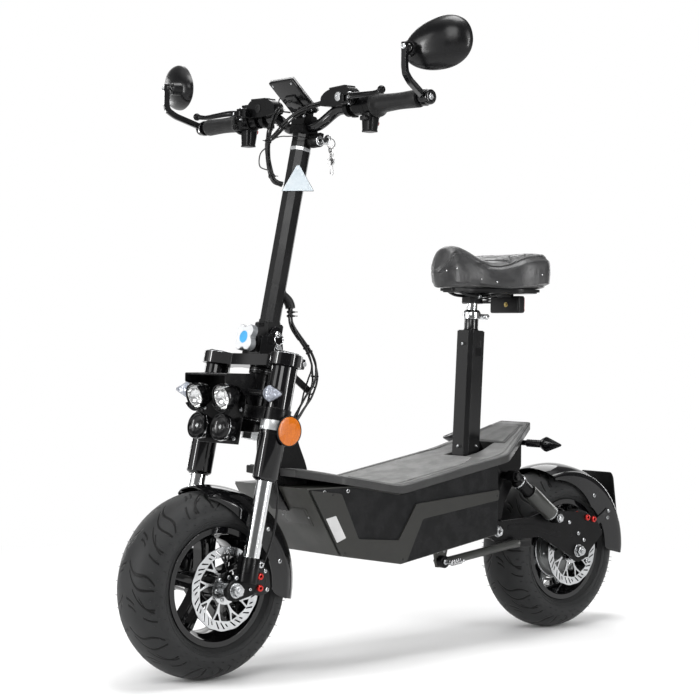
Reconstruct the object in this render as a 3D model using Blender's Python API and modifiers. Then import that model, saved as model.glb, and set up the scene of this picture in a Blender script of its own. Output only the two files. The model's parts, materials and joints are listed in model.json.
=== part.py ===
# Seated electric scooter with wide tyres, built as an assembly of its separate pieces.
# Metres, +Z up. The front wheel points to -Y, and the rider's left is +X.
import math

import bmesh
import bpy
from mathutils import Euler, Matrix, Vector

for old in list(bpy.data.objects):
    bpy.data.objects.remove(old, do_unlink=True)

# Driving dimensions
GAP = 0.0003                # what two touching pieces keep between them
RUNNING = 0.0008            # radial room of a shaft that turns or slides in its bore

WHEELBASE = 0.987
TYRE_RADIUS = 0.180
TYRE_WIDTH = 0.125
TYRE_WALL = 0.009
CROWN_WIDTH = 0.070         # the gently rounded middle of the tread
RIM_RADIUS = 0.1143
RIM_WIDTH = 0.1006
RIM_WALL = 0.004
DISC_RADIUS = 0.080
DISC_THICK = 0.0025
DISC_OFFSET = 0.0707        # brake disc plane, left of the middle
AXLE_RADIUS = 0.006
HUB_RADIUS = 0.026
MOTOR_RADIUS = 0.068
MOTOR_LUG_CIRCLE = 0.079

GUARD_WIDTH = 0.147
GUARD_WALL = 0.0025
FRONT_GUARD_ROOM = 0.0090   # tyre crown to the inside of the mudguard
REAR_GUARD_ROOM = 0.0105
PLATE_DISTANCE = 0.2047      # plate face to the rear axle, square to the plate
PLATE_LEAN = math.radians(15.7)
PLATE_TOP = 0.346
PLATE_BOTTOM = 0.168
PLATE_THICK = 0.003

RAKE = math.radians(12.2)
FORK_TRAIL = 0.022          # leg axis behind the wheel axle, at axle height
STEERING_SETBACK = 0.0277   # steering axis behind the leg axes
LEG_SPACING = 0.2092
LEG_RADIUS = 0.0155
FORK_TUBE_RADIUS = 0.025
FORK_TUBE_FOOT = 0.2076     # heights along the legs, from axle height
LOWER_CROWN = 0.296
CROWN_THICK = 0.0205
UPPER_CROWN = 0.4285
UPPER_CROWN_THICK = 0.0225
STEERER_RADIUS = 0.0145
HEAD_TUBE_RADIUS = 0.0235
FORK_TRAVEL = 0.030

STEM_WIDTH = 0.038
CHEEK_THICK = 0.006
FOLD_RISE = 0.0185          # fold pivot above the upper crown
FOLD_SETBACK = 0.010        # fold pivot behind the steering axis
BAR_HEIGHT = 0.922
STEM_TOP = BAR_HEIGHT - 0.017
BAR_RADIUS = 0.0111
BAR_RISE = 0.028
BAR_SWEEP = 0.007
BAR_HALF = 0.345
GRIP_INNER = 0.206
GRIP_OUTER = 0.3265
GRIP_RADIUS = 0.0170

TUB_HALF = 0.112
TUB_WALL = 0.003
TAIL_HALF = 0.078
COVER_THICK = 0.007
RECESS_DEPTH = 0.004
DECK_THICK = 0.016
DECK_HALF = 0.1225
DECK_VALLEY = 0.340         # underside of the board at its lowest bend
DECK_FRONT_RISE = math.radians(9.9)
DECK_REAR_RISE = math.radians(9.5)
TAIL_RISE = math.radians(22.7)
TAIL_END_HALF = 0.045
MAT_THICK = 0.0025

SEAT_LEAN = math.radians(2.9)
MAST_SIZE = 0.050
MAST_WALL = 0.0025
MAST_HEIGHT = 0.276         # above the board
POST_RADIUS = 0.0115
SADDLE_LENGTH = 0.268
SADDLE_HALF = 0.120
SADDLE_RISE = 0.104         # underside of the cushion above the mast

ARM_INNER = 0.082
ARM_THICK = 0.008
PIVOT_RADIUS = 0.008
SHOCK_PLANE = 0.1085
SHOCK_RADIUS = 0.017
SHOCK_STUD = 0.006
SHOCK_PLAY = 0.0012
STAND_RADIUS = 0.009

# Places that follow from the sizes above
FRONT_GUARD_RADIUS = TYRE_RADIUS + FRONT_GUARD_ROOM
REAR_GUARD_RADIUS = TYRE_RADIUS + REAR_GUARD_ROOM


def plate_reach(height):
    # How far behind the rear axle the plate's front face is at this height
    drop = height - TYRE_RADIUS
    return (PLATE_DISTANCE - drop * math.sin(PLATE_LEAN)) / math.cos(PLATE_LEAN)


REAR_REACH = plate_reach(PLATE_BOTTOM) + PLATE_THICK * math.cos(PLATE_LEAN)
FRONT_Y = TYRE_RADIUS - (TYRE_RADIUS + WHEELBASE + REAR_REACH) / 2
REAR_Y = FRONT_Y + WHEELBASE
LEG_X = LEG_SPACING / 2
VALLEY_Y = FRONT_Y + 0.409
TAIL_BEND_Y = REAR_Y - 0.265
TAIL_END_Y = REAR_Y - 0.112
MAST_Y = REAR_Y - 0.2734
LEFT = 1
RIGHT = -1


def deck_low(y):
    # Height of the board's underside
    if y < VALLEY_Y:
        return DECK_VALLEY + (VALLEY_Y - y) * math.tan(DECK_FRONT_RISE)
    bend = DECK_VALLEY + (TAIL_BEND_Y - VALLEY_Y) * math.tan(DECK_REAR_RISE)
    if y < TAIL_BEND_Y:
        return DECK_VALLEY + (y - VALLEY_Y) * math.tan(DECK_REAR_RISE)
    return bend + (y - TAIL_BEND_Y) * math.tan(TAIL_RISE)


WORLD = Matrix.Identity(4)
FORK = Matrix.Translation((0, FRONT_Y + FORK_TRAIL, TYRE_RADIUS)) @ Matrix.Rotation(-RAKE, 4, "X")
MAST_BASE = deck_low(MAST_Y) + 0.007
SEAT = Matrix.Translation((0, MAST_Y, MAST_BASE)) @ Matrix.Rotation(-SEAT_LEAN, 4, "X")
SADDLE_BASE = MAST_BASE + MAST_HEIGHT + SADDLE_RISE


def fork_point(x, y, along):
    return FORK @ Vector((x, y, along))


parts = bpy.data.collections.new("electric_scooter")
guides = bpy.data.collections.new("guides")
bpy.context.scene.collection.children.link(parts)
bpy.context.scene.collection.children.link(guides)

members = {}                # body name to its objects


def place(obj, frame=WORLD, at=(0, 0, 0), turn=(0, 0, 0)):
    obj.matrix_world = frame @ Matrix.Translation(at) @ Euler(turn).to_matrix().to_4x4()
    return obj


def new_object(name, data):
    obj = bpy.data.objects.new(name, data)
    parts.objects.link(obj)
    return obj


def from_bmesh(name, bm, smooth=True):
    mesh = bpy.data.meshes.new(name)
    bm.to_mesh(mesh)
    bm.free()
    if smooth:
        mesh.shade_smooth()
        mesh.set_sharp_from_angle(angle=math.radians(35))
    return new_object(name, mesh)


def block(name, size, at=(0, 0, 0), frame=WORLD, turn=(0, 0, 0), edge=0.0):
    bm = bmesh.new()
    bmesh.ops.create_cube(bm, size=1.0)
    bmesh.ops.scale(bm, vec=size, verts=bm.verts)
    if edge:
        bmesh.ops.bevel(bm, geom=bm.edges[:], offset=edge, segments=1, affect="EDGES", profile=0.5)
    return place(from_bmesh(name, bm, smooth=False), frame, at, turn)


AXIS_TURN = {"X": (0, math.pi / 2, 0), "Y": (-math.pi / 2, 0, 0), "Z": (0, 0, 0)}


def rod(name, radius, start, end, at=(0, 0, 0), along="X", frame=WORLD, sides=16, tip=None):
    # A round bar from start to end along one axis through the point at
    bm = bmesh.new()
    far = radius if tip is None else tip
    bmesh.ops.create_cone(bm, cap_ends=True, segments=sides, radius1=radius, radius2=far, depth=end - start)
    bmesh.ops.translate(bm, vec=(0, 0, (start + end) / 2), verts=bm.verts)
    turn = Euler(AXIS_TURN[along]).to_matrix()
    bmesh.ops.rotate(bm, cent=(0, 0, 0), matrix=turn, verts=bm.verts)
    return place(from_bmesh(name, bm), frame, at)


def ball(name, radius, at, frame=WORLD, scale=(1, 1, 1), turn=(0, 0, 0), rings=8, sides=12):
    bm = bmesh.new()
    bmesh.ops.create_uvsphere(bm, u_segments=sides, v_segments=rings, radius=radius)
    bmesh.ops.scale(bm, vec=scale, verts=bm.verts)
    return place(from_bmesh(name, bm), frame, at, turn)


def as_mesh(obj):
    # A curve made a closed mesh in the same place
    graph = bpy.context.evaluated_depsgraph_get()
    mesh = bpy.data.meshes.new_from_object(obj.evaluated_get(graph))
    bm = bmesh.new()
    bm.from_mesh(mesh)
    bmesh.ops.remove_doubles(bm, verts=bm.verts, dist=0.00001)
    bm.to_mesh(mesh)
    bm.free()
    solid = new_object(obj.name + "_mesh", mesh)
    solid.matrix_world = obj.matrix_world.copy()
    name = obj.name
    bpy.data.objects.remove(obj, do_unlink=True)
    solid.name = name
    return solid


PLANES = {
    "side": Matrix(((0, 0, 1, 0), (1, 0, 0, 0), (0, 1, 0, 0), (0, 0, 0, 1))),
    "front": Matrix(((1, 0, 0, 0), (0, 0, -1, 0), (0, 1, 0, 0), (0, 0, 0, 1))),
    "top": Matrix.Identity(4),
}


def plate(name, outline, thick, middle=0.0, plane="side", frame=WORLD, holes=()):
    # A flat outline given thickness: side is (y, z), front is (x, z) and top is (x, y)
    curve = bpy.data.curves.new(name, "CURVE")
    curve.dimensions = "2D"
    curve.fill_mode = "BOTH"
    curve.extrude = thick / 2
    for loop in (outline, *holes):
        spline = curve.splines.new("POLY")
        spline.points.add(len(loop) - 1)
        for point, (a, b) in zip(spline.points, loop):
            point.co = (a, b, 0, 1)
        spline.use_cyclic_u = True
    obj = as_mesh(new_object(name, curve))
    shift = middle if plane != "front" else -middle
    obj.data.transform(PLANES[plane] @ Matrix.Translation((0, 0, shift)))
    obj.data.shade_smooth()
    obj.data.set_sharp_from_angle(angle=math.radians(30))
    return place(obj, frame)


def turned(name, profile, at=(0, 0, 0), along="Z", frame=WORLD, steps=24, closed=False, turn=(0, 0, 0)):
    # A profile of (radius, height) points turned about its axis
    mesh = bpy.data.meshes.new(name)
    last = len(profile) if closed else len(profile) - 1
    edges = [(i, (i + 1) % len(profile)) for i in range(last)]
    mesh.from_pydata([(r, 0, h) for r, h in profile], edges, [])
    obj = new_object(name, mesh)
    screw = obj.modifiers.new("turn", "SCREW")
    screw.angle = 2 * math.pi
    screw.steps = steps
    screw.render_steps = steps
    screw.use_merge_vertices = True
    screw.merge_threshold = 0.00002
    screw.use_smooth_shade = True
    spin = Euler(turn).to_matrix().to_4x4() @ Euler(AXIS_TURN[along]).to_matrix().to_4x4()
    obj.matrix_world = frame @ Matrix.Translation(at) @ spin
    return obj


def tube(name, points, radius, sides=2, frame=WORLD, solid=True):
    # A round bar along a route; sides is the bevel resolution, 2 for eight sides
    curve = bpy.data.curves.new(name, "CURVE")
    curve.dimensions = "3D"
    curve.bevel_depth = radius
    curve.bevel_resolution = sides
    curve.use_fill_caps = True
    spline = curve.splines.new("POLY")
    spline.points.add(len(points) - 1)
    for point, place_at in zip(spline.points, points):
        point.co = (*place_at, 1)
    obj = place(new_object(name, curve), frame)
    return as_mesh(obj) if solid else obj


def smooth_route(knots, pieces=3):
    # Points on a smooth curve through the knots
    ends = [knots[0]] + list(knots) + [knots[-1]]
    route = []
    for a, b, c, d in zip(ends, ends[1:], ends[2:], ends[3:]):
        for step in range(pieces):
            t = step / pieces
            route.append(tuple(
                0.5 * (2 * q + (r - p) * t + (2 * p - 5 * q + 4 * r - s) * t**2 + (3 * q - p - 3 * r + s) * t**3)
                for p, q, r, s in zip(a, b, c, d)))
    route.append(tuple(knots[-1]))
    return route


def guide(obj):
    parts.objects.unlink(obj)
    guides.objects.link(obj)
    obj.hide_render = True
    obj.display_type = "WIRE"
    return obj


def combine(target, others, operation):
    for other in others:
        boolean = target.modifiers.new(operation.lower(), "BOOLEAN")
        boolean.operation = operation
        boolean.solver = "EXACT"
        boolean.object = guide(other)
    return target


def fuse(target, *others):
    return combine(target, others, "UNION")


def cut(target, *others):
    return combine(target, others, "DIFFERENCE")


def arc(cx, cy, radius, start, end, steps):
    # Points of an arc, angles in degrees
    turn = [math.radians(start + (end - start) * i / steps) for i in range(steps + 1)]
    return [(cx + radius * math.cos(a), cy + radius * math.sin(a)) for a in turn]


def inset(outline, distance):
    # The outline moved inwards by a wall; the outline runs anticlockwise
    moved = []
    count = len(outline)
    for i in range(count):
        before, here, after = (Vector(outline[(i + k) % count]) for k in (-1, 0, 1))
        first = (here - before).normalized()
        second = (after - here).normalized()
        left = Vector((-first.y, first.x)) + Vector((-second.y, second.x))
        left /= left.length_squared / 2
        moved.append(tuple(here + left * distance))
    return moved


def strip(route, half):
    # The outline of a flat bar of one width along a bent line
    sides = ([], [])
    for i, here in enumerate(route):
        here = Vector(here)
        first = (here - Vector(route[max(i - 1, 0)]))
        second = (Vector(route[min(i + 1, len(route) - 1)]) - here)
        first = first.normalized() if first.length else second.normalized()
        second = second.normalized() if second.length else first
        across = Vector((-first.y, first.x)) + Vector((-second.y, second.x))
        across /= across.length_squared / 2
        sides[0].append(tuple(here + across * half))
        sides[1].append(tuple(here - across * half))
    return sides[0] + sides[1][::-1]


def octagon(size, chamfer, middle=(0, 0)):
    half = size / 2
    low = half - chamfer
    corners = [(half, low), (low, half), (-low, half), (-half, low), (-half, -low), (-low, -half), (low, -half),
               (half, -low)]
    return [(x + middle[0], y + middle[1]) for x, y in corners]


def finish(obj, body, color, rough=0.45, metal=0.0):
    mat = bpy.data.materials.new(obj.name)
    mat.use_nodes = True
    shader = mat.node_tree.nodes["Principled BSDF"]
    shader.inputs["Base Color"].default_value = (*color, 1)
    shader.inputs["Roughness"].default_value = rough
    shader.inputs["Metallic"].default_value = metal
    obj.data.materials.clear()
    obj.data.materials.append(mat)
    members.setdefault(body, []).append(obj)
    return obj


BLACK = (0.012, 0.012, 0.013)
SATIN = (0.035, 0.038, 0.035)
PLASTIC = (0.02, 0.02, 0.02)
GREY = (0.10, 0.10, 0.10)
RUBBER = (0.018, 0.018, 0.019)
CHROME = (0.75, 0.76, 0.78)
STEEL = (0.50, 0.51, 0.52)


WHEEL_STEPS = 28


# Wheels
def tyre(name, axle_y, body):
    # A hollow carcass, open between its beads
    half = TYRE_WIDTH / 2
    crown = CROWN_WIDTH / 2
    seat = RIM_RADIUS - 0.0093 + GAP
    bead = RIM_WIDTH / 2 - RIM_WALL - GAP
    outer = [(seat, bead - 0.011), (seat, bead), (RIM_RADIUS + 0.002, bead), (TYRE_RADIUS - 0.042, half),
             (TYRE_RADIUS - 0.020, half - 0.0105), (TYRE_RADIUS - 0.0060, crown), (TYRE_RADIUS, crown - 0.021)]
    inner = [(TYRE_RADIUS - 0.041, half - TYRE_WALL), (TYRE_RADIUS - 0.017, crown - 0.004)]
    down = [(r, -h) for r, h in reversed(outer)]
    back = [(r, -h) for r, h in inner]
    profile = outer + down + back + inner[::-1]
    solid = turned(name, profile, (0, axle_y, TYRE_RADIUS), "X", steps=WHEEL_STEPS, closed=True)
    finish(solid, body, RUBBER, 0.8)


def rim_barrel(name, axle_y):
    # The dropped barrel with its two flanges
    half = RIM_WIDTH / 2
    seat = RIM_RADIUS - 0.0093
    well = RIM_RADIUS - 0.021
    outer = [(RIM_RADIUS, half), (RIM_RADIUS, half - RIM_WALL), (seat, half - RIM_WALL), (well, half - 0.028)]
    inner = [(well - RIM_WALL, half - 0.030), (RIM_RADIUS - 0.012, half)]
    profile = outer + [(r, -h) for r, h in reversed(outer)] + [(r, -h) for r, h in reversed(inner)] + inner
    return turned(name, profile, (0, axle_y, TYRE_RADIUS), "X", steps=WHEEL_STEPS, closed=True)


def front_rim():
    rim = rim_barrel("front_rim", FRONT_Y)
    centre = (0, FRONT_Y, TYRE_RADIUS)
    reach = RIM_RADIUS - 0.021 - RIM_WALL / 2
    spokes = []
    for count in range(5):
        turn = math.radians(90 + 72 * count)
        for shift in (-0.0115, 0.0115):
            frame = Matrix.Translation(centre) @ Matrix.Rotation(turn, 4, "X")
            length = reach - HUB_RADIUS + 0.006
            middle = (0.006, (reach + HUB_RADIUS - 0.006) / 2, shift)
            spokes.append(block("spoke", (0.030, length, 0.012), middle, frame))
    hub = rod("hub", HUB_RADIUS + 0.004, -0.026, 0.030, centre, sides=12)
    flange = rod("flange", HUB_RADIUS, 0.028, DISC_OFFSET - DISC_THICK / 2 - GAP, centre, sides=12)
    far_end = rod("far_end", 0.019, -0.078, -0.024, centre, sides=10)
    fuse(rim, hub, flange, far_end, *spokes)
    cut(rim, rod("bore", AXLE_RADIUS + RUNNING, -0.12, 0.12, centre, sides=12))
    finish(rim, "front_wheel", BLACK, 0.2)


def rear_rim():
    rim = rim_barrel("rear_rim", REAR_Y)
    centre = (0, REAR_Y, TYRE_RADIUS)
    reach = RIM_RADIUS - 0.021 - RIM_WALL / 2
    # The web's inner edge keeps clear of the motor, and its windows lie between the motor's lugs
    windows = []
    for count in range(9):
        mid = 20 + 40 * count
        windows.append(arc(0, 0, MOTOR_LUG_CIRCLE + 0.007, mid - 10, mid + 10, 1)
                       + arc(0, 0, MOTOR_LUG_CIRCLE - 0.003, mid + 10, mid - 10, 1))
    ring = arc(0, 0, reach, 0, 340, 17)
    bore = arc(0, 0, MOTOR_RADIUS + 0.002, 0, 340, 17)
    web = plate("web", ring, 0.008, 0.0095, frame=Matrix.Translation(centre), holes=[bore, *windows])
    fuse(rim, web)
    finish(rim, "rear_wheel", BLACK, 0.2)


def hub_motor():
    # Drum with its lugs, which lie on the rim's web
    centre = (0, REAR_Y, TYRE_RADIUS)
    motor = turned("hub_motor", [(0, 0.022), (MOTOR_RADIUS - 0.006, 0.022), (MOTOR_RADIUS, 0.018),
                                 (MOTOR_RADIUS, -0.036), (MOTOR_RADIUS - 0.006, -0.040), (0, -0.040)],
                   centre, "X", steps=18)
    boss = rod("boss", HUB_RADIUS, 0.020, DISC_OFFSET - DISC_THICK / 2 - GAP, centre, sides=12)
    far_boss = rod("far_boss", 0.019, -ARM_INNER + GAP, -0.038, centre, sides=10)
    face = 0.0135 + GAP
    lugs = []
    for count in range(9):
        frame = Matrix.Translation(centre) @ Matrix.Rotation(math.radians(40 * count), 4, "X")
        outline = [(MOTOR_RADIUS - 0.004, -0.012), (MOTOR_LUG_CIRCLE + 0.006, -0.005),
                   (MOTOR_LUG_CIRCLE + 0.006, 0.005), (MOTOR_RADIUS - 0.004, 0.012)]
        lugs.append(plate("lug", outline, 0.005, face + 0.0025, frame=frame))
    fuse(motor, boss, far_boss, *lugs)
    cut(motor, rod("bore", AXLE_RADIUS + RUNNING, -0.12, 0.12, centre, sides=12))
    finish(motor, "rear_wheel", STEEL, 0.35, 1.0)


def brake_disc(name, axle_y, body):
    # Waved edge, nine leaning arms and a slotted braking ring
    outer = [((DISC_RADIUS - 0.0012 * (i % 2)) * math.cos(math.pi * i / 15),
              (DISC_RADIUS - 0.0012 * (i % 2)) * math.sin(math.pi * i / 15)) for i in range(30)]
    holes = [arc(0, 0, AXLE_RADIUS + 0.0055 + RUNNING, 0, 330, 11)]
    lean = 14
    for count in range(9):
        mid = 40 * count
        wide = 14
        holes.append(arc(0, 0, DISC_RADIUS - 0.018, mid - wide + lean, mid + wide + lean, 1)
                     + arc(0, 0, 0.029, mid + wide - 2, mid - wide + 2, 1))
    for count in range(9):
        mid = 40 * count
        holes.append([(r * math.cos(math.radians(mid + a)), r * math.sin(math.radians(mid + a)))
                      for r, a in ((DISC_RADIUS - 0.014, 0), (DISC_RADIUS - 0.005, 6), (DISC_RADIUS - 0.005, 9),
                                   (DISC_RADIUS - 0.014, 3))])
    disc = plate(name, outer, DISC_THICK, DISC_OFFSET, frame=Matrix.Translation((0, axle_y, TYRE_RADIUS)),
                 holes=holes)
    finish(disc, body, STEEL, 0.25, 1.0)


def axle(name, axle_y, inner, outer, body):
    # The fixed axle, with the spacer inside the left plate and a nut outside each plate
    centre = (0, axle_y, TYRE_RADIUS)
    nut = outer + 0.013
    bar = rod(name, AXLE_RADIUS, -nut - 0.006, nut + 0.006, centre, sides=10)
    pieces = [rod("spacer", AXLE_RADIUS + 0.0055, DISC_OFFSET - DISC_THICK / 2 + GAP, inner - GAP, centre, sides=10)]
    for side in (LEFT, RIGHT):
        first, last = sorted((side * (outer + GAP), side * nut))
        pieces.append(rod("nut", 0.012, first, last, centre, sides=6))
        first, last = sorted((side * (outer + GAP), side * (outer + 0.003)))
        pieces.append(rod("washer", 0.0145, first, last, centre, sides=10))
    fuse(bar, *pieces)
    finish(bar, body, STEEL, 0.3, 1.0)


tyre("front_tyre", FRONT_Y, "front_wheel")
tyre("rear_tyre", REAR_Y, "rear_wheel")
front_rim()
rear_rim()
hub_motor()
brake_disc("front_disc", FRONT_Y, "front_wheel")
brake_disc("rear_disc", REAR_Y, "rear_wheel")


# Mudguards
def mudguard(name, axle_y, radius, angles, stays, carrier, tip=0.0):
    # An arched sheet with side skirts that deepen to the rear, and its stays to the plates that carry it
    full = GUARD_WIDTH / 2 - GUARD_WALL
    start, end = angles
    count = 10
    rows = []
    bm = bmesh.new()
    for i in range(count):
        share = i / (count - 1)
        turn = math.radians(start + (end - start) * share)
        deep = min(1.0, 2.2 * share)
        half = full - tip * max(0.0, 1 - share / 0.3) ** 2
        drop = (half / full) ** 2.2
        skirt = radius - (0.044 + 0.032 * deep) * drop
        section = [(half, skirt), (half, radius - 0.037 * drop), (half - 0.009, radius - 0.021 * drop),
                   (half - 0.028, radius - 0.0065 * drop), (0, radius)]
        section += [(-x, r) for x, r in reversed(section[:-1])]
        rows.append([bm.verts.new((x, r * math.cos(turn), r * math.sin(turn))) for x, r in section])
    for one, two in zip(rows, rows[1:]):
        for a, b, c, d in zip(one, one[1:], two[1:], two):
            bm.faces.new((a, b, c, d))
    bmesh.ops.recalc_face_normals(bm, faces=bm.faces)
    guard = place(from_bmesh(name, bm), at=(0, axle_y, TYRE_RADIUS))
    top = guard.data.polygons[len(guard.data.polygons) // 2]
    outward = top.normal.dot(top.center) > 0
    shell = guard.modifiers.new("wall", "SOLIDIFY")
    shell.thickness = GUARD_WALL
    shell.offset = 1 if outward else -1
    for side in (LEFT, RIGHT):
        plane = side * (GUARD_WIDTH / 2 + 0.0012)
        bar = plate("stay", strip(stays, 0.008), 0.0034, plane, frame=Matrix.Translation((0, axle_y, TYRE_RADIUS)))
        first, last = sorted((plane, side * (carrier - GAP)))
        foot = rod("stay_foot", 0.0065, first, last, (0, axle_y + stays[-1][0], TYRE_RADIUS + stays[-1][1]), sides=10)
        fuse(guard, bar, foot)
    return guard


def polar(radius, angle):
    return (radius * math.cos(math.radians(angle)), radius * math.sin(math.radians(angle)))


DROPOUT_INNER = 0.0915
LUG_RADIUS = 0.0185
front_guard = mudguard("front_mudguard", FRONT_Y, FRONT_GUARD_RADIUS, (98, -12),
                       [polar(0.146, 47.7), polar(0.126, 47.7), (0.0315, 0.0440)], LEG_X - 0.0005 - LUG_RADIUS, 0.026)
finish(front_guard, "fork_lower", BLACK, 0.3)
rear_guard = mudguard("rear_mudguard", REAR_Y, REAR_GUARD_RADIUS, (115, -6),
                      [polar(0.148, 34), polar(0.128, 34), (0.066, 0.050)], ARM_INNER)


def plate_holder():
    # The flat plate moulded on the back of the rear mudguard
    height = (PLATE_TOP - PLATE_BOTTOM) / math.cos(PLATE_LEAN)
    outline = [(-0.032, 0), (0.032, 0), (0.049, height - 0.012), (0.045, height), (-0.045, height),
               (-0.049, height - 0.012)]
    at = (0, REAR_Y + plate_reach(PLATE_BOTTOM), PLATE_BOTTOM)
    frame = Matrix.Translation(at) @ Matrix.Rotation(PLATE_LEAN, 4, "X")
    holder = plate("plate_holder", outline, PLATE_THICK, PLATE_THICK / 2, "front", frame)
    for side in (LEFT, RIGHT):
        fuse(holder, plate("rib", [(0.0010, 0.02), (0.0065, 0.03), (0.0065, height - 0.03), (0.0010, height - 0.02)],
                           0.003, side * 0.028, "side", frame))
    # A raised pad carries the plate on the guard's back
    level = plate_reach(PLATE_BOTTOM) * math.sin(PLATE_LEAN) + (TYRE_RADIUS - PLATE_BOTTOM) * math.cos(PLATE_LEAN)
    pad = REAR_GUARD_RADIUS + GUARD_WALL / 2 - 0.0006 - PLATE_DISTANCE
    fuse(holder, block("pad", (0.046, 0.0008 - pad, 0.030), (0, (0.0008 + pad) / 2, level), frame))
    return holder


finish(fuse(rear_guard, plate_holder()), "swingarm", BLACK, 0.3)


# Fork, all in the fork's own frame: z runs up along the legs and y points backwards
def crown_outline(leg_round, middle_round, waist):
    # A waisted plate round both legs and the steerer
    edge = arc(LEG_X, 0, leg_round, -125, 120, 6)
    rear = arc(0, STEERING_SETBACK, middle_round, 55, 125, 3)
    left = [(-x, y) for x, y in reversed(edge)]
    front = [(-0.052, waist), (0.052, waist)]
    return edge + [(0.058, STEERING_SETBACK - 0.004)] + rear + [(-0.058, STEERING_SETBACK - 0.004)] + left + front


REFLECTOR_RADIUS = 0.0295
REFLECTOR_AT = (0, 0.0110, 0.3060)


def fork_crown():
    top = LOWER_CROWN + CROWN_THICK
    crown = plate("fork_crown", crown_outline(0.0268, 0.029, -0.012), CROWN_THICK, LOWER_CROWN + CROWN_THICK / 2,
                  "top", FORK)
    axis = (0, STEERING_SETBACK, 0)
    steerer_end = UPPER_CROWN + UPPER_CROWN_THICK - 0.003
    pieces = [rod("steerer", STEERER_RADIUS, top - 0.004, steerer_end, axis, "Z", FORK, 16),
              rod("lower_nut", 0.015, LOWER_CROWN - 0.009, LOWER_CROWN + 0.002, axis, "Z", FORK, 6)]
    bores = []
    cap = UPPER_CROWN + UPPER_CROWN_THICK
    for side in (LEFT, RIGHT):
        at = (side * LEG_X, 0, 0)
        pieces.append(turned("fork_tube", [(0, cap + 0.006), (FORK_TUBE_RADIUS - 0.006, cap + 0.006),
                                           (FORK_TUBE_RADIUS, cap + 0.001), (FORK_TUBE_RADIUS, FORK_TUBE_FOOT + 0.004),
                                           (FORK_TUBE_RADIUS - 0.003, FORK_TUBE_FOOT), (0, FORK_TUBE_FOOT)],
                                 at, "Z", FORK, 16))
        # A round side reflector on its strap, just behind the tube
        pieces.append(rod("reflector", REFLECTOR_RADIUS, *sorted((side * 0.1335, side * 0.1405)), REFLECTOR_AT, "X", FORK,
                          14))
        pieces.append(block("strap", (0.024, 0.012, 0.018), (side * 0.124, 0.014, REFLECTOR_AT[2]), FORK))
        bores.append(rod("bore", LEG_RADIUS + RUNNING, FORK_TUBE_FOOT - 0.01, UPPER_CROWN, at, "Z", FORK, 12))
    fuse(crown, *pieces)
    cut(crown, *bores)
    finish(crown, "steering", BLACK, 0.2)


FOLD_Y = STEERING_SETBACK + FOLD_SETBACK
FOLD_Z = UPPER_CROWN + UPPER_CROWN_THICK + FOLD_RISE
CHEEK_INNER = STEM_WIDTH / 2 + 0.0023
KNOB_Z = FOLD_Z + 0.010
PIN_Z = FOLD_Z + 0.027
WEB_Y = -0.0035
STUD_RADIUS = 0.004


def upper_crown():
    # The upper clamp with the two cheeks of the folding joint, its pivot bolt and the knob's web
    top = UPPER_CROWN + UPPER_CROWN_THICK
    crown = plate("upper_crown", crown_outline(0.0315, 0.030, -0.008), UPPER_CROWN_THICK, top - UPPER_CROWN_THICK / 2,
                  "top", FORK)
    bores = []
    for side in (LEFT, RIGHT):
        bores.append(rod("bore", FORK_TUBE_RADIUS + GAP, UPPER_CROWN - 0.01, top + 0.01, (side * LEG_X, 0, 0), "Z",
                         FORK, 16))
    bores.append(rod("bore", STEERER_RADIUS + GAP, UPPER_CROWN - 0.01, top - 0.0025, (0, STEERING_SETBACK, 0), "Z",
                     FORK, 16))
    cut(crown, *bores)
    front = WEB_Y - 0.0025
    outline = [(front, top - 0.003), (STEERING_SETBACK + 0.024, top - 0.003), (STEERING_SETBACK + 0.024, FOLD_Z)]
    outline += arc(STEERING_SETBACK, PIN_Z, 0.015, 0, 180, 3) + [(front, KNOB_Z + 0.006)]
    for side in (LEFT, RIGHT):
        fuse(crown, plate("cheek", outline, CHEEK_THICK, side * (CHEEK_INNER + CHEEK_THICK / 2), "side", FORK))
    outer = CHEEK_INNER + CHEEK_THICK
    web = block("web", (2 * outer - 0.001, 0.005, KNOB_Z + 0.008 - top + 0.003),
                (0, WEB_Y, (KNOB_Z + 0.008 + top - 0.003) / 2), FORK)
    pivot = (0, FOLD_Y, FOLD_Z)
    bolt = rod("pivot_bolt", 0.004, -outer - 0.002, outer + 0.002, pivot, "X", FORK, 12)
    heads = [rod("bolt_head", 0.0075, *sorted((side * (outer - 0.0005), side * (outer + 0.005))), pivot, "X", FORK, 6)
             for side in (LEFT, RIGHT)]
    fuse(crown, web, bolt, *heads)
    stud = rod("stud_hole", STUD_RADIUS + GAP, -0.02, 0.004, (0, 0, KNOB_Z), "Y", FORK, 12)
    pin = rod("pin_hole", 0.0035 + GAP, CHEEK_INNER - 0.004, outer + 0.004, (0, STEERING_SETBACK, PIN_Z), "X", FORK,
              10)
    cut(crown, stud, pin)
    finish(crown, "steering", BLACK, 0.25)


def star_knob():
    # Four round lobes, a shaft and a threaded stud that bears on the stem
    lobes = []
    for i in range(24):
        turn = 2 * math.pi * i / 24
        reach = 0.0265 + 0.0050 * math.cos(4 * turn)
        lobes.append((reach * math.cos(turn + math.pi / 4), KNOB_Z + reach * math.sin(turn + math.pi / 4)))
    knob = plate("star_knob", lobes, 0.013, -0.0235, "front", FORK)
    tip = STEERING_SETBACK - STEM_WIDTH / 2 - GAP
    collar = rod("collar", 0.011, -0.0175, WEB_Y - 0.0025 - GAP, (0, 0, KNOB_Z), "Y", FORK, 14)
    stud = rod("stud", STUD_RADIUS, -0.018, tip, (0, 0, KNOB_Z), "Y", FORK, 12)
    fuse(knob, collar, stud)
    finish(knob, "star_knob", (0.85, 0.86, 0.87), 0.4)


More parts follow.
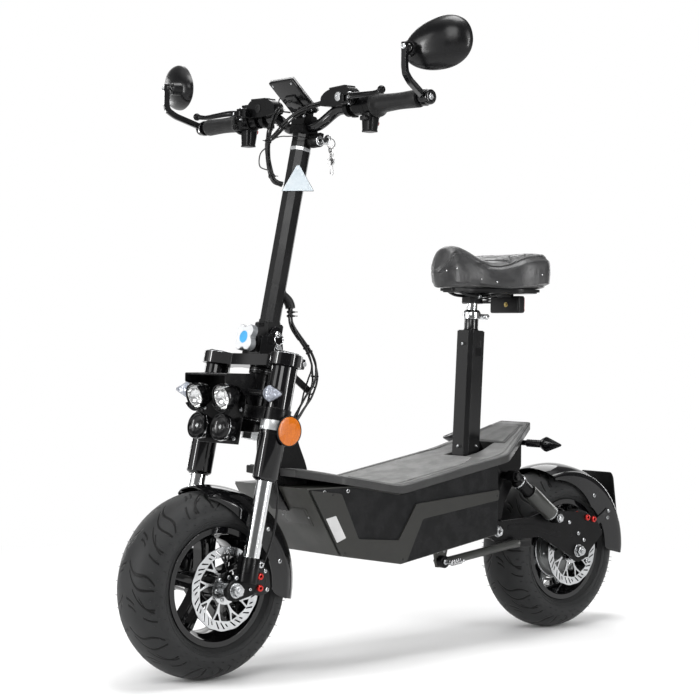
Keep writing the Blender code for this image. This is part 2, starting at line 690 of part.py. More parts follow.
def pull_pin():
    # Spring pin in the left cheek, with its pull ring
    outer = CHEEK_INNER + CHEEK_THICK
    at = (0, STEERING_SETBACK, PIN_Z)
    pin = rod("pull_pin", 0.0035, CHEEK_INNER + GAP, outer + 0.012, at, "X", FORK, 10)
    collar = rod("collar", 0.0065, outer + GAP, outer + 0.006, at, "X", FORK, 12)
    wire = [(0.0105 + 0.0014 * math.cos(math.pi * i / 3), 0.0014 * math.sin(-math.pi * i / 3)) for i in range(6)]
    ring = turned("ring", wire, (outer + 0.0110, STEERING_SETBACK, PIN_Z - 0.0100), "X", FORK, 12, closed=True)
    fuse(pin, collar, ring)
    finish(pin, "pull_pin", CHROME, 0.15, 1.0)


def fork_legs():
    # Chrome inner legs, each with its lug and a dropout plate round the axle
    axle_at = Vector((0, FRONT_Y, TYRE_RADIUS))
    dropout = 0.0105
    for name, side in (("fork_leg_left", LEFT), ("fork_leg_right", RIGHT)):
        leg = rod(name, LEG_RADIUS, 0.040, UPPER_CROWN - FORK_TRAVEL - 0.035, (side * LEG_X, 0, 0), "Z", FORK, 12)
        lug = rod("lug", LUG_RADIUS, 0.012, 0.060, (side * (LEG_X - 0.0005), 0, 0), "Z", FORK, 12)
        foot_y = FORK_TRAIL + 0.0145
        outline = arc(0, 0, 0.021, 175, 290, 6)
        outline += [(0.044, -0.012), (0.0485, 0.008), (foot_y + 0.010, 0.060)]
        outline += [(foot_y - 0.022, 0.064), (foot_y - 0.028, 0.030)]
        frame = Matrix.Translation(axle_at)
        middle = side * (DROPOUT_INNER + dropout / 2)
        drop = plate("dropout", outline, dropout, middle, "side", frame)
        fuse(leg, lug, drop)
        hole = rod("axle_hole", AXLE_RADIUS + GAP, *sorted((side * 0.07, side * 0.13)), axle_at, sides=12)
        cut(leg, hole)
        finish(leg, "fork_lower", CHROME, 0.12, 1.0)
    axle("front_axle", FRONT_Y, DROPOUT_INNER, DROPOUT_INNER + dropout, "fork_lower")


def caliper(name, axle_y, turn, outer, body, mount):
    # A two-piece body over the disc's edge; the frame's y axis runs outwards along a radius of the disc
    frame = Matrix.Translation((0, axle_y, TYRE_RADIUS)) @ Matrix.Rotation(math.radians(turn), 4, "X")
    inner = 0.0560
    outline = [(0.058, -0.026), (0.083, -0.026), (0.092, -0.015), (0.092, 0.015), (0.083, 0.026), (0.058, 0.026),
               (0.053, 0.014), (0.053, -0.014)]
    shell = plate(name, outline, outer - GAP - inner, (outer - GAP + inner) / 2, "side", frame)
    slot = block("slot", (DISC_THICK + 2 * 0.0012, 0.06, 0.08), (DISC_OFFSET, DISC_RADIUS + 0.003 - 0.03, 0), frame)
    if mount:
        # The adapter behind the leg, with its three bolts
        level = Matrix.Translation((0, axle_y, TYRE_RADIUS))
        fuse(shell, plate("adapter", strip([(0.0605, -0.011), (0.0620, 0.052)], 0.0095), 0.007, outer + 0.0025, "side",
                          level),
             block("adapter_foot", (0.005, 0.022, 0.018), (outer - GAP - 0.0025, 0.0485, -0.001), level))
        for y, z in ((0.0600, -0.001), (0.0605, 0.021), (0.0615, 0.043)):
            fuse(shell, rod("bolt", 0.0068, outer + 0.004, outer + 0.012, (0, y, z), "X", level, 8))
    cut(shell, slot)
    finish(shell, body, PLASTIC, 0.35, 0.6)


fork_crown()
upper_crown()
star_knob()
pull_pin()
fork_legs()
caliper("front_caliper", FRONT_Y, 8, DROPOUT_INNER, "fork_lower", True)
caliper("rear_caliper", REAR_Y, 74, ARM_INNER, "swingarm", False)
axle("rear_axle", REAR_Y, ARM_INNER, ARM_INNER + ARM_THICK, "swingarm")


# Lamps, horns and indicators on the fork
LENS_Y = -0.0909            # middle of the lamps' lenses
LENS_Z = 0.3466
LAMP_DIP = RAKE + math.radians(14)
LAMP_RADIUS = 0.0262
LAMP_DEPTH = 0.040
PANEL_Y = -0.046
BRACKET_WIDE = 0.129
BRACKET_TOP = 0.402
BAND_Z = 0.333
SHEET = 0.003


def indicator(base, length, frame=WORLD, side=LEFT):
    # A pointed, flattened head on the end of its stalk
    profile = [(0, length), (0.003, length), (0.0165, 0.008), (0.0100, 0), (0, 0)]
    head = turned("indicator", profile, (0, 0, 0), "X", steps=8, turn=(0, 0, 0 if side == LEFT else math.pi))
    spin = head.matrix_world.copy()
    head.matrix_world = frame @ Matrix.Translation(base) @ Matrix.Diagonal((1, 0.62, 1, 1)) @ spin
    return head


def lamp_bracket():
    # Folded sheet with a slotted roof and two cheeks, held to the fork tubes by bands
    between = BRACKET_WIDE - SHEET
    panel = block("lamp_bracket", (between, SHEET, 0.136), (0, PANEL_Y, BRACKET_TOP - 0.068), FORK)
    # The roof lies level while the panel leans with the fork
    level = FORK @ Matrix.Translation((0, PANEL_Y, BRACKET_TOP)) @ Matrix.Rotation(RAKE, 4, "X")
    pieces = [block("roof", (between, 0.062, SHEET), (0, -0.029, 0), level)]
    for side in (LEFT, RIGHT):
        outline = [(-0.061, 0.002), (-0.061, -0.016), (-0.030, -0.022), (-0.012, -0.042), (0.000, -0.070),
                   (0.018, -0.074), (0.010, 0.002)]
        pieces.append(plate("cheek", outline, SHEET, side * (BRACKET_WIDE / 2 - SHEET / 2), "side", level))
        inner = BRACKET_WIDE / 2 - 0.002
        pieces.append(block("arm", (LEG_X - inner, 0.005, 0.024),
                            (side * (LEG_X + inner) / 2, -FORK_TUBE_RADIUS - 0.0030, BAND_Z), FORK))
        pieces.append(block("arm_root", (0.006, 0.024, 0.024), (side * (inner + 0.002), -0.037, BAND_Z), FORK))
        pieces.append(rod("band", FORK_TUBE_RADIUS + 0.0025, BAND_Z - 0.012, BAND_Z + 0.012, (side * LEG_X, 0, 0), "Z",
                          FORK, 14))
        stalk = (side * (BRACKET_WIDE / 2 - 0.002), -0.006, -0.034)
        pieces.append(rod("stalk", 0.0065, *sorted((0, side * 0.056)), stalk, "X", level, 8))
        pieces.append(indicator((stalk[0] + side * 0.052, *stalk[1:]), 0.054, level, side))
        profile = [(0, 0.031), (0.0200, 0.026), (0.0250, 0.033), (0.0262, 0.020), (0.0200, -0.001), (0, -0.001)]
        pieces.append(turned("horn", profile, (side * 0.0365, PANEL_Y - 0.001, 0.2938), "Z", FORK, 10,
                             turn=(math.pi / 2, 0, 0)))
    fuse(panel, *pieces)
    slots = [block("slot", (0.028, 0.009, 0.02), (x, -0.030, 0), level) for x in (-0.040, 0, 0.040)]
    slots += [rod("tube_room", FORK_TUBE_RADIUS + GAP, BAND_Z - 0.05, BAND_Z + 0.05, (side * LEG_X, 0, 0), "Z", FORK,
                  16) for side in (LEFT, RIGHT)]
    cut(panel, *slots)
    finish(panel, "steering", PLASTIC, 0.45)


def headlamps():
    # Two ribbed lamps that dip to the road, on one bar that is bolted to the panel
    face = PANEL_Y - SHEET / 2 - GAP
    rise = LAMP_DEPTH * math.sin(LAMP_DIP)
    bar = block("headlamps", (0.100, 0.010, 0.016), (0, face - 0.005, LENS_Z + rise - 0.004), FORK)
    deep = LAMP_DEPTH
    profile = [(0, -0.008), (0.0240, 0), (LAMP_RADIUS, -0.003), (LAMP_RADIUS, -0.014), (0.0225, -0.016),
               (0.0225, -0.023), (0.0140, -deep), (0, -deep)]
    for side in (LEFT, RIGHT):
        fuse(bar, turned("lamp", profile, (side * 0.0425, LENS_Y, LENS_Z), "Z", FORK, 12,
                         turn=(math.pi / 2 + LAMP_DIP, 0, 0)))
    finish(bar, "steering", (0.5, 0.5, 0.52), 0.2, 0.8)


lamp_bracket()
headlamps()

# Stem, handlebar and controls
CLAMP_HALF = 0.024
bar_middle = fork_point(0, STEERING_SETBACK, BAR_HEIGHT)
BAR_Y = bar_middle.y
BAR_Z = bar_middle.z
GRIP_Y = BAR_Y + BAR_SWEEP
GRIP_Z = BAR_Z + BAR_RISE
HOLE_IN_STEM = STEM_TOP - 0.105
LOOM_EXIT = FOLD_Z + 0.1155


def stem():
    middle = (0, STEERING_SETBACK)
    chamfer = STEM_WIDTH * 0.27
    foot_top = FOLD_Z + 0.050
    post = plate("stem", octagon(STEM_WIDTH, chamfer, middle), STEM_TOP - foot_top + 0.012,
                 (STEM_TOP + foot_top - 0.012) / 2, "top", FORK)
    front = STEERING_SETBACK - STEM_WIDTH / 2
    rear = STEERING_SETBACK + STEM_WIDTH / 2
    room = FOLD_RISE - 0.002
    outline = [(front, foot_top), (front, FOLD_Z)] + arc(FOLD_Y, FOLD_Z, room, 235, 303, 4)
    outline += [(rear, FOLD_Z - 0.008), (rear, foot_top)]
    foot = plate("foot", outline, 2 * (CHEEK_INNER - GAP), 0, "side", FORK)
    fuse(post, foot)
    hollow = plate("hollow", octagon(STEM_WIDTH - 0.005, chamfer - 0.0015, middle), STEM_TOP - foot_top,
                   (STEM_TOP + foot_top) / 2 + 0.010, "top", FORK)
    bolt = rod("bolt_hole", 0.004 + GAP, -0.04, 0.04, (0, FOLD_Y, FOLD_Z), "X", FORK, 12)
    entry = rod("cable_entry", 0.0095, 0.0, 0.03, (0, 0, 0), "X", FORK @ Matrix.Translation(
        (0, STEERING_SETBACK, HOLE_IN_STEM)) @ Matrix.Rotation(math.radians(-135), 4, "Z"), 12)
    leave = rod("cable_exit", 0.0090, 0.0, 0.03, (0, STEERING_SETBACK, LOOM_EXIT), "Y", FORK, 12)
    cut(post, hollow, bolt, entry, leave)
    # A bare three-cornered plate fixed on the front left corner
    tag = [(-0.0285, -0.0165), (0.0285, -0.0165), (0.0030, 0.0300), (-0.0030, 0.0300)]
    corner = FORK @ Matrix.Translation((0, STEERING_SETBACK, STEM_TOP - 0.094)) @ Matrix.Rotation(math.radians(45), 4, "Z")
    fuse(post, plate("tag", tag, 0.0016, -0.0200, "front", corner))
    finish(post, "stem", BLACK, 0.3)


def bar_clamp():
    # The block that holds the bar on the stem, with the ignition lock on its left
    low = STEM_TOP + GAP
    high = BAR_HEIGHT + 0.023
    outline = [(STEERING_SETBACK - CLAMP_HALF, low), (STEERING_SETBACK + CLAMP_HALF, low),
               (STEERING_SETBACK + CLAMP_HALF, high - 0.010), (STEERING_SETBACK + CLAMP_HALF - 0.010, high),
               (STEERING_SETBACK - CLAMP_HALF + 0.010, high), (STEERING_SETBACK - CLAMP_HALF, high - 0.010)]
    clamp = plate("bar_clamp", outline, 2 * CLAMP_HALF, 0, "side", FORK)
    tongue = block("tongue", (0.027, 0.010, 0.0175), (0.0340, STEERING_SETBACK + 0.010, low - 0.0042), FORK)
    barrel = rod("lock_barrel", 0.0125, STEM_WIDTH / 2 + 0.003, LOCK_FACE, (0, *LOCK_AT), "X", FORK, 14)
    fuse(clamp, tongue, barrel)
    cut(clamp, rod("bore", BAR_RADIUS + GAP, -0.05, 0.05, (0, STEERING_SETBACK, BAR_HEIGHT), "X", FORK, 20))
    finish(clamp, "stem", BLACK, 0.35)


LOCK_FACE = 0.050
LOCK_AT = (STEERING_SETBACK + 0.006, STEM_TOP + GAP - 0.013)


def ignition_key():
    # The key's shank in front of the lock, and its round bow with a hole
    key = rod("ignition_key", 0.0035, LOCK_FACE + GAP, LOCK_FACE + 0.012, (0, *LOCK_AT), "X", FORK, 10)
    bow = plate("bow", arc(LOCK_FACE + 0.020, 0, 0.0105, 0, 330, 11), 0.0026, 0, "front",
                FORK @ Matrix.Translation((0, *LOCK_AT)), [arc(LOCK_FACE + 0.024, 0, 0.003, 0, 300, 5)])
    fuse(key, bow)
    finish(key, "ignition_key", CHROME, 0.25, 1.0)


MIRROR_RING = 0.3395        # the arm's ring on the bar, from the middle
ARM_SPLAY = math.radians(20)
ARM_REACH = 0.087
ARM_HEIGHT = 0.081
BALL_RADIUS = 0.0095
BALL_SETBACK = 0.0165
MIRROR_TURN = math.radians(17.5)
MIRROR_TILT = math.radians(11.5)


def arm_frame(side):
    return Matrix.Translation((side * MIRROR_RING, GRIP_Y, GRIP_Z)) @ Matrix.Rotation(side * ARM_SPLAY, 4, "Z")


def mirror_ball(side):
    return arm_frame(side) @ Vector((0, BALL_SETBACK - ARM_REACH, ARM_HEIGHT))


def handlebar():
    # The bent bar, with the two splayed mirror arms clamped on its ends
    half = []
    bend_start = 0.034
    bend_end = 0.104
    for i in range(4):
        share = i / 3
        ease = (1 - math.cos(math.pi * share)) / 2
        half.append((bend_start + (bend_end - bend_start) * share, BAR_Y + BAR_SWEEP * ease, BAR_Z + BAR_RISE * ease))
    half.append((BAR_HALF, GRIP_Y, GRIP_Z))
    route = [(-x, y, z) for x, y, z in reversed(half)] + half
    bar = tube("handlebar", route, BAR_RADIUS, 4)
    for side in (LEFT, RIGHT):
        frame = arm_frame(side)
        bent = [(-0.004, 0), (-ARM_REACH * 0.80, 0.024), (-ARM_REACH, 0.040), (-ARM_REACH, ARM_HEIGHT + 0.009)]
        arm = plate("mirror_arm", strip(bent, 0.0062), 0.010, 0, "side", frame)
        eye = rod("arm_eye", 0.0160, -0.0055, 0.0055, (0, 0, 0), "X", frame, 12)
        cap = rod("end_cap", 0.0145, *sorted((side * (MIRROR_RING + 0.002), side * (BAR_HALF + 0.012))),
                  (0, GRIP_Y, GRIP_Z), sides=12)
        stub = rod("stub", 0.0055, -ARM_REACH, BALL_SETBACK - ARM_REACH, (0, 0, ARM_HEIGHT), "Y", frame, 6)
        knuckle = ball("knuckle", BALL_RADIUS, (0, BALL_SETBACK - ARM_REACH, ARM_HEIGHT), frame, rings=6, sides=10)
        fuse(bar, arm, eye, cap, stub, knuckle)
    finish(bar, "stem", BLACK, 0.3)


def mirror_head(name, side):
    # An egg-shaped shell with a sunk glass and a cup that covers the rear of the ball
    frame = (Matrix.Translation(mirror_ball(side)) @ Matrix.Rotation(side * MIRROR_TURN, 4, "Z")
             @ Matrix.Rotation(-side * MIRROR_TILT, 4, "Y"))
    half_long = 0.073
    half_high = 0.0485
    centre = Vector((side * 0.0445, 0.0363, 0))
    bm = bmesh.new()
    bmesh.ops.create_uvsphere(bm, u_segments=16, v_segments=8, radius=1)
    bmesh.ops.rotate(bm, cent=(0, 0, 0), matrix=Matrix.Rotation(math.pi / 2, 3, "X"), verts=bm.verts)
    bmesh.ops.scale(bm, vec=(half_long, 0.036, half_high), verts=bm.verts)
    cut_face = bmesh.ops.bisect_plane(bm, geom=bm.verts[:] + bm.edges[:] + bm.faces[:], plane_co=(0, 0, 0),
                                      plane_no=(0, 1, 0), clear_outer=True)
    edges = [e for e in cut_face["geom_cut"] if isinstance(e, bmesh.types.BMEdge)]
    bmesh.ops.contextual_create(bm, geom=edges)
    for vert in bm.verts:
        # The inner end is the narrow one
        vert.co.z *= 1 + 0.17 * side * vert.co.x / half_long
    bmesh.ops.translate(bm, vec=centre, verts=bm.verts)
    bmesh.ops.recalc_face_normals(bm, faces=bm.faces)
    head = place(from_bmesh(name, bm), frame)
    cup = rod("cup", 0.0135, 0.001, 0.022, (0, 0, 0), "Y", frame, 10, tip=0.017)
    glass = ball("glass", 1.0, centre + Vector((side * 0.001, 0.0008, 0)), frame,
                 (half_long - 0.008, 0.003, half_high - 0.007), rings=5, sides=14)
    fuse(head, cup)
    cut(head, ball("socket", BALL_RADIUS + 0.0008, (0, 0, 0), frame, rings=8, sides=12), glass)
    finish(head, name, BLACK, 0.35)


def grip(name, side, body):
    # A rubber grip with a flared inner collar and a shallow waist
    lie = GRIP_OUTER - GRIP_INNER
    bore = BAR_RADIUS + (GAP if side == LEFT else RUNNING)
    outer = [(GRIP_RADIUS + 0.0005, lie), (GRIP_RADIUS - 0.0015, lie * 0.60), (GRIP_RADIUS + 0.0010, 0.012),
             (0.0250, 0.007), (0.0250, 0.001), (0.0225, 0)]
    profile = outer + [(bore, 0), (bore, lie)]
    x = side * GRIP_INNER
    sleeve = turned(name, profile, (x, GRIP_Y, GRIP_Z), "X", steps=16, closed=True,
                    turn=(0, 0, 0) if side == LEFT else (0, math.pi, 0))
    finish(sleeve, body, RUBBER, 0.7)


LEVER_PIVOT = Vector((0.168, GRIP_Y - 0.036, GRIP_Z + 0.012))


def perch(name, side):
    # Master cylinder with its bar clamp and lever ears, and the switch housing that hangs from the bar
    def x(value):
        return side * value

    outline = [(x(0.072), GRIP_Z + 0.006), (x(0.072), GRIP_Z + 0.024), (x(0.096), GRIP_Z + 0.037),
               (x(0.148), GRIP_Z + 0.040), (x(0.166), GRIP_Z + 0.022), (x(0.166), GRIP_Z + 0.004),
               (x(0.112), GRIP_Z + 0.002)]
    body = plate(name, outline, 0.026, GRIP_Y - 0.015, "front")
    clamp = rod("clamp", 0.0175, *sorted((x(0.124), x(0.172))), (0, GRIP_Y, GRIP_Z), sides=10)
    ears = [block("ear", (0.022, 0.016, 0.004), (x(LEVER_PIVOT.x - 0.003), LEVER_PIVOT.y, LEVER_PIVOT.z + rise))
            for rise in (-0.0080, 0.0080)]
    neck = block("ear_neck", (0.012, 0.022, 0.020), (x(LEVER_PIVOT.x - 0.016), LEVER_PIVOT.y + 0.004, LEVER_PIVOT.z))
    bolt = rod("lever_bolt", 0.003, -0.009, 0.009, (x(LEVER_PIVOT.x), LEVER_PIVOT.y, LEVER_PIVOT.z), "Z", sides=8)
    pod_ring = rod("pod_ring", 0.0205, *sorted((x(0.170), x(GRIP_INNER - 0.0025))), (0, GRIP_Y, GRIP_Z), sides=12)
    pod = plate("pod", octagon(0.030, 0.005, (x(0.188), GRIP_Y + 0.002)), 0.040, GRIP_Z - 0.030, "top")
    room = rod("eye_room", 0.0095, -0.0060, 0.0060, (x(LEVER_PIVOT.x), LEVER_PIVOT.y, LEVER_PIVOT.z), "Z", sides=10)
    fuse(body, clamp, *ears, neck, pod_ring, pod)
    cut(body, room)
    fuse(body, bolt)
    cut(body, rod("bore", BAR_RADIUS + 2 * GAP, *sorted((x(0.05), x(0.22))), (0, GRIP_Y, GRIP_Z), sides=12))
    if side == LEFT:
        cut(body, rod("button_hole", 0.0055 + GAP, GRIP_Y + 0.008, GRIP_Y + 0.03,
                      (BUTTON_X, 0, BUTTON_Z), "Y", sides=14))
    finish(body, "stem", PLASTIC, 0.45)


BUTTON_X = 0.188
BUTTON_Z = GRIP_Z - 0.034
BUTTON_TRAVEL = 0.002


def horn_button():
    face = GRIP_Y + 0.017
    button = rod("horn_button", 0.0055, GRIP_Y + 0.008 + BUTTON_TRAVEL + 2 * GAP, face + 0.003,
                 (BUTTON_X, 0, BUTTON_Z), "Y", sides=14)
    finish(button, "horn_button", (0.5, 0.04, 0.03), 0.4)


def brake_lever(name, side):
    # A slim blade that ends in a ball, on an eye between the perch's ears
    knots = [LEVER_PIVOT, LEVER_PIVOT + Vector((0.022, -0.014, 0.001)), LEVER_PIVOT + Vector((0.060, -0.022, -0.001)),
             LEVER_PIVOT + Vector((0.095, -0.021, -0.001)), LEVER_PIVOT + Vector((0.118, -0.026, 0.002))]
    route = [(side * p[0], p[1], p[2]) for p in smooth_route([tuple(k) for k in knots], 1)]
    blade = tube(name, route, 0.0048, 2)
    spot = (side * LEVER_PIVOT.x, LEVER_PIVOT.y, LEVER_PIVOT.z)
    eye = rod("eye", 0.0075, -0.0060 + GAP, 0.0060 - GAP, spot, "Z", sides=12)
    fuse(blade, eye, ball("tip", 0.0080, route[-1], rings=6, sides=8))
    cut(blade, rod("pin_hole", 0.003 + RUNNING, -0.02, 0.02, spot, "Z", sides=10))
    finish(blade, name, BLACK, 0.3)


def display():
    # A slim panel that leans towards the rider on a short stalk
    foot_z = BAR_HEIGHT + 0.023 + GAP
    foot = block("display", (0.026, 0.022, 0.014), (0, STEERING_SETBACK - 0.003, foot_z + 0.007), FORK)
    lean = math.radians(-41)
    centre = fork_point(0, STEERING_SETBACK - 0.003, foot_z + 0.012) + Vector((0, -0.033, 0.024))
    frame = Matrix.Translation(centre) @ Matrix.Rotation(lean, 4, "X")
    panel = block("panel", (0.072, 0.090, 0.011), (0, 0, 0), frame, edge=0.003)
    fuse(foot, panel)
    finish(foot, "stem", PLASTIC, 0.25)


stem()
bar_clamp()
ignition_key()
handlebar()
mirror_head("mirror_left", LEFT)
mirror_head("mirror_right", RIGHT)
grip("grip_left", LEFT, "stem")
grip("throttle_grip", RIGHT, "throttle_grip")
perch("perch_left", LEFT)
perch("perch_right", RIGHT)
horn_button()
brake_lever("brake_lever_left", LEFT)
brake_lever("brake_lever_right", RIGHT)
display()

# Frame
NOSE_TOP = (FRONT_Y + 0.1634, 0.362)
NOSE_LOW = (FRONT_Y + 0.248, 0.226)
BELLY = (FRONT_Y + 0.415, 0.197)
TUB_REAR = REAR_Y - 0.288
TUB_REAR_LOW = 0.238
LEDGE_Y = FRONT_Y + 0.283   # behind this the tub is open under the board
PIVOT_Y = REAR_Y - 0.2654
PIVOT_Z = 0.241
SHOCK_TOP = (REAR_Y - 0.2364, 0.360)
SHOCK_LOW = (REAR_Y - 0.0974, 0.2615)


def tub_outline():
    # Side view of the main box, anticlockwise from the nose's top
    under = [(y, deck_low(y) - GAP) for y in (TUB_REAR, VALLEY_Y, LEDGE_Y)]
    return [NOSE_TOP, NOSE_LOW, BELLY, (TUB_REAR, TUB_REAR_LOW)] + under


def floor_height(y):
    # Top of the tub's floor
    low = BELLY if y > BELLY[0] else NOSE_LOW
    high = (TUB_REAR, TUB_REAR_LOW) if y > BELLY[0] else BELLY
    share = (y - low[0]) / (high[0] - low[0])
    return low[1] + (high[1] - low[1]) * share + TUB_WALL * 1.02


TAIL_BACK = REAR_Y - 0.178


def frame_tub():
    # Sheet steel box, open under the board, with the narrower tail that carries the swing arm
    main = tub_outline()
    tub = plate("frame_tub", main, 2 * TUB_HALF)
    under = GAP + 0.0008
    tail_top = [(TAIL_BACK, deck_low(TAIL_BACK) - under), (TAIL_BEND_Y, deck_low(TAIL_BEND_Y) - under)]
    tail = [(TUB_REAR - 0.02, TUB_REAR_LOW - 0.001), (PIVOT_Y - 0.004, PIVOT_Z - 0.018), (PIVOT_Y + 0.016, PIVOT_Z - 0.014),
            (REAR_Y - 0.231, 0.300), (TAIL_BACK, 0.378)] + tail_top + [(TUB_REAR - 0.02, deck_low(TUB_REAR - 0.02) - under)]
    fuse(tub, plate("tail", tail, 2 * TAIL_HALF))
    room = inset(main, TUB_WALL)
    high = 0.05
    room[4] = (room[4][0], room[4][1] + high)
    room[5] = (room[5][0], room[5][1] + high)
    ledge = LEDGE_Y + 0.004
    room[6] = (ledge, deck_low(ledge) + high)
    room.append((ledge, NOSE_TOP[1] - TUB_WALL))
    tail_room = inset(tail, TUB_WALL)
    for i in (5, 6, 7):
        tail_room[i] = (tail_room[i][0], tail_room[i][1] + high)
    tail_room[0] = (tail_room[0][0] - 0.02, tail_room[0][1] + 0.004)
    tail_room[7] = (tail_room[7][0] - 0.02, tail_room[7][1])
    cut(tub, plate("room", room, 2 * (TUB_HALF - TUB_WALL)),
        plate("tail_room", tail_room, 2 * (TAIL_HALF - TUB_WALL)))
    shelf_z = MAST_FOOT_Z - GAP - 0.003
    shelf = block("mast_shelf", (2 * TAIL_HALF - TUB_WALL, 0.090, 0.006), (0, MAST_Y - 0.004, shelf_z))
    stand_y = REAR_Y - 0.436
    stand = plate("stand_bracket", [(stand_y - 0.018, floor_height(stand_y - 0.018) - 0.001),
                                    (stand_y - 0.010, 0.178), (stand_y + 0.010, 0.176),
                                    (stand_y + 0.024, floor_height(stand_y + 0.024) - 0.001)], 0.006, 0.0865)
    studs = []
    for side in (LEFT, RIGHT):
        at = (0, *SHOCK_TOP)
        studs.append(rod("stud", SHOCK_STUD, *sorted((side * (TAIL_HALF - 0.002), side * (SHOCK_PLANE + 0.014))), at,
                         sides=12))
        studs.append(rod("collar", 0.0085, *sorted((side * (TAIL_HALF - 0.001), side * (SHOCK_PLANE - 0.012 - GAP))),
                         at, sides=12))
        studs.append(rod("head", 0.0095, *sorted((side * (SHOCK_PLANE + 0.012 + GAP), side * (SHOCK_PLANE + 0.018))),
                         at, sides=6))
    fuse(tub, shelf, stand, *studs)
    pivot = (0, PIVOT_Y, PIVOT_Z)
    cut(tub, rod("pivot_hole", PIVOT_RADIUS + GAP, -0.1, 0.1, pivot, sides=16),
        rod("stand_hole", 0.0045 + GAP, 0.07, 0.1, (0, stand_y, 0.190), sides=12))
    finish(tub, "frame", SATIN, 0.5, 0.3)


def side_cover(name, side):
    # Trim panel with three sunk fields; the raised band runs between them
    face = TUB_HALF + GAP
    cover = plate(name, inset(tub_outline(), 0.0022), COVER_THICK, side * (face + COVER_THICK / 2))
    front = [(FRONT_Y + 0.248, 0.346), (FRONT_Y + 0.294, 0.257), (FRONT_Y + 0.403, 0.247), (FRONT_Y + 0.452, 0.318)]
    rear = [(FRONT_Y + 0.471, 0.286), (FRONT_Y + 0.425, 0.205), (REAR_Y - 0.300, 0.2425), (REAR_Y - 0.292, 0.312)]
    strip_y = FRONT_Y + 0.462
    upper = [(strip_y, 0.3215), (REAR_Y - 0.285, 0.334), (REAR_Y - 0.285, 0.45), (strip_y, deck_low(strip_y) + 0.03)]
    plane = side * (face + COVER_THICK - RECESS_DEPTH / 2 + 0.001)
    for outline in (front, rear, upper):
        cut(cover, plate("field", outline, RECESS_DEPTH + 0.002, plane))
    finish(cover, "frame", SATIN, 0.5)


def neck():
    # Head tube, the boxed beam down to the tub, and the small arm that guides the cable loom
    axis = (0, STEERING_SETBACK, 0)
    low = LOWER_CROWN + CROWN_THICK + GAP
    high = UPPER_CROWN - GAP
    tube_part = turned("neck", [(0, high), (HEAD_TUBE_RADIUS, high), (HEAD_TUBE_RADIUS, high - 0.012),
                                (HEAD_TUBE_RADIUS - 0.0025, high - 0.014), (HEAD_TUBE_RADIUS - 0.0025, low + 0.014),
                                (HEAD_TUBE_RADIUS, low + 0.012), (HEAD_TUBE_RADIUS, low), (0, low)],
                       axis, "Z", FORK, 14)

    def at(y, z):
        p = fork_point(0, y, z)
        return (p.y, p.z)

    slope = (NOSE_LOW[0] - NOSE_TOP[0]) / (NOSE_TOP[1] - NOSE_LOW[1])
    drop = 0.050
    face = NOSE_TOP[0] - 2 * GAP
    rear_y = FRONT_Y + 0.2374
    outline = [at(STEERING_SETBACK, high - 0.012), at(STEERING_SETBACK, low + 0.008),
               at(STEERING_SETBACK + 0.034, low + 0.003), (FRONT_Y + 0.149, 0.400), (face - 0.0075, NOSE_TOP[1]),
               (face + drop * slope - 0.004, NOSE_TOP[1] - drop), (face + drop * slope, NOSE_TOP[1] - drop),
               (face, NOSE_TOP[1] + GAP), (rear_y, NOSE_TOP[1] + GAP), (rear_y, 0.3933), (rear_y - 0.020, 0.439),
               (FRONT_Y + 0.1734, 0.560)]
    beam = plate("beam", outline, 0.052)
    route = [(FRONT_Y + 0.158, 0.545), (FRONT_Y + 0.208, 0.574), (FRONT_Y + 0.247, 0.546)]
    tab = plate("loom_arm", strip(route, 0.007), 0.004, 0.020)
    fuse(tube_part, beam, tab)
    cut(tube_part, rod("steerer_bore", STEERER_RADIUS + RUNNING, low - 0.02, high + 0.02, axis, "Z", FORK, 16))
    finish(tube_part, "frame", SATIN, 0.45, 0.3)


def deck_strip(name, y1, y2, low, high, wide=0.3):
    # A layer that follows the bent board between two heights above its underside
    stops = [y1] + [y for y in (VALLEY_Y, TAIL_BEND_Y) if y1 < y < y2] + [y2]
    under = [(y, deck_low(y) + low) for y in stops]
    over = [(y, deck_low(y) + high) for y in reversed(stops)]
    return plate(name, under + over, wide)


def on_deck(name, outline, low, high):
    # An outline seen from above, laid on the bent board
    ys = [y for _, y in outline]
    layer = deck_strip(name, min(ys) - 0.01, max(ys) + 0.01, low, high)
    return combine(layer, [plate("outline", outline, 0.6, 0.4, "top")], "INTERSECT")


def mirrored(half):
    return half + [(-x, y) for x, y in reversed(half)]


NECK_ROOM = 0.0275
HOLE_FRONT = MAST_Y - MAST_SIZE / 2 - 0.008
HOLE_REAR = MAST_Y + MAST_SIZE / 2 + 0.032


def footboard():
    # Moulded board, bent up at both ends, with edge ribs, a raised tail pad, a notch for the neck and the mast opening
    nose = NOSE_TOP[0]
    half = [(NECK_ROOM, FRONT_Y + 0.2405), (NECK_ROOM, nose), (0.078, nose), (0.114, FRONT_Y + 0.232),
            (DECK_HALF, FRONT_Y + 0.250), (DECK_HALF, TAIL_BEND_Y), (TAIL_END_HALF, TAIL_END_Y)]
    board = on_deck("footboard", mirrored(half), 0, DECK_THICK)
    ribs = []
    for side in (LEFT, RIGHT):
        line = [(side * 0.106, FRONT_Y + 0.270), (side * 0.106, TAIL_BEND_Y - 0.006), (side * 0.046, TAIL_END_Y - 0.030)]
        ribs.append(on_deck("rib", strip(line, 0.004), DECK_THICK - 0.002, DECK_THICK + 0.003))
    pad = [(0.052, TAIL_BEND_Y + 0.060), (0.036, TAIL_END_Y - 0.020)]
    ribs.append(on_deck("tail_pad", mirrored(pad), DECK_THICK - 0.002, DECK_THICK + 0.002))
    fuse(board, *ribs)
    hole = block("mast_opening", (MAST_SIZE + 0.012, HOLE_REAR - HOLE_FRONT, 0.2),
                 (0, (HOLE_REAR + HOLE_FRONT) / 2, deck_low(MAST_Y)))
    cut(board, hole)
    finish(board, "frame", GREY, 0.7)


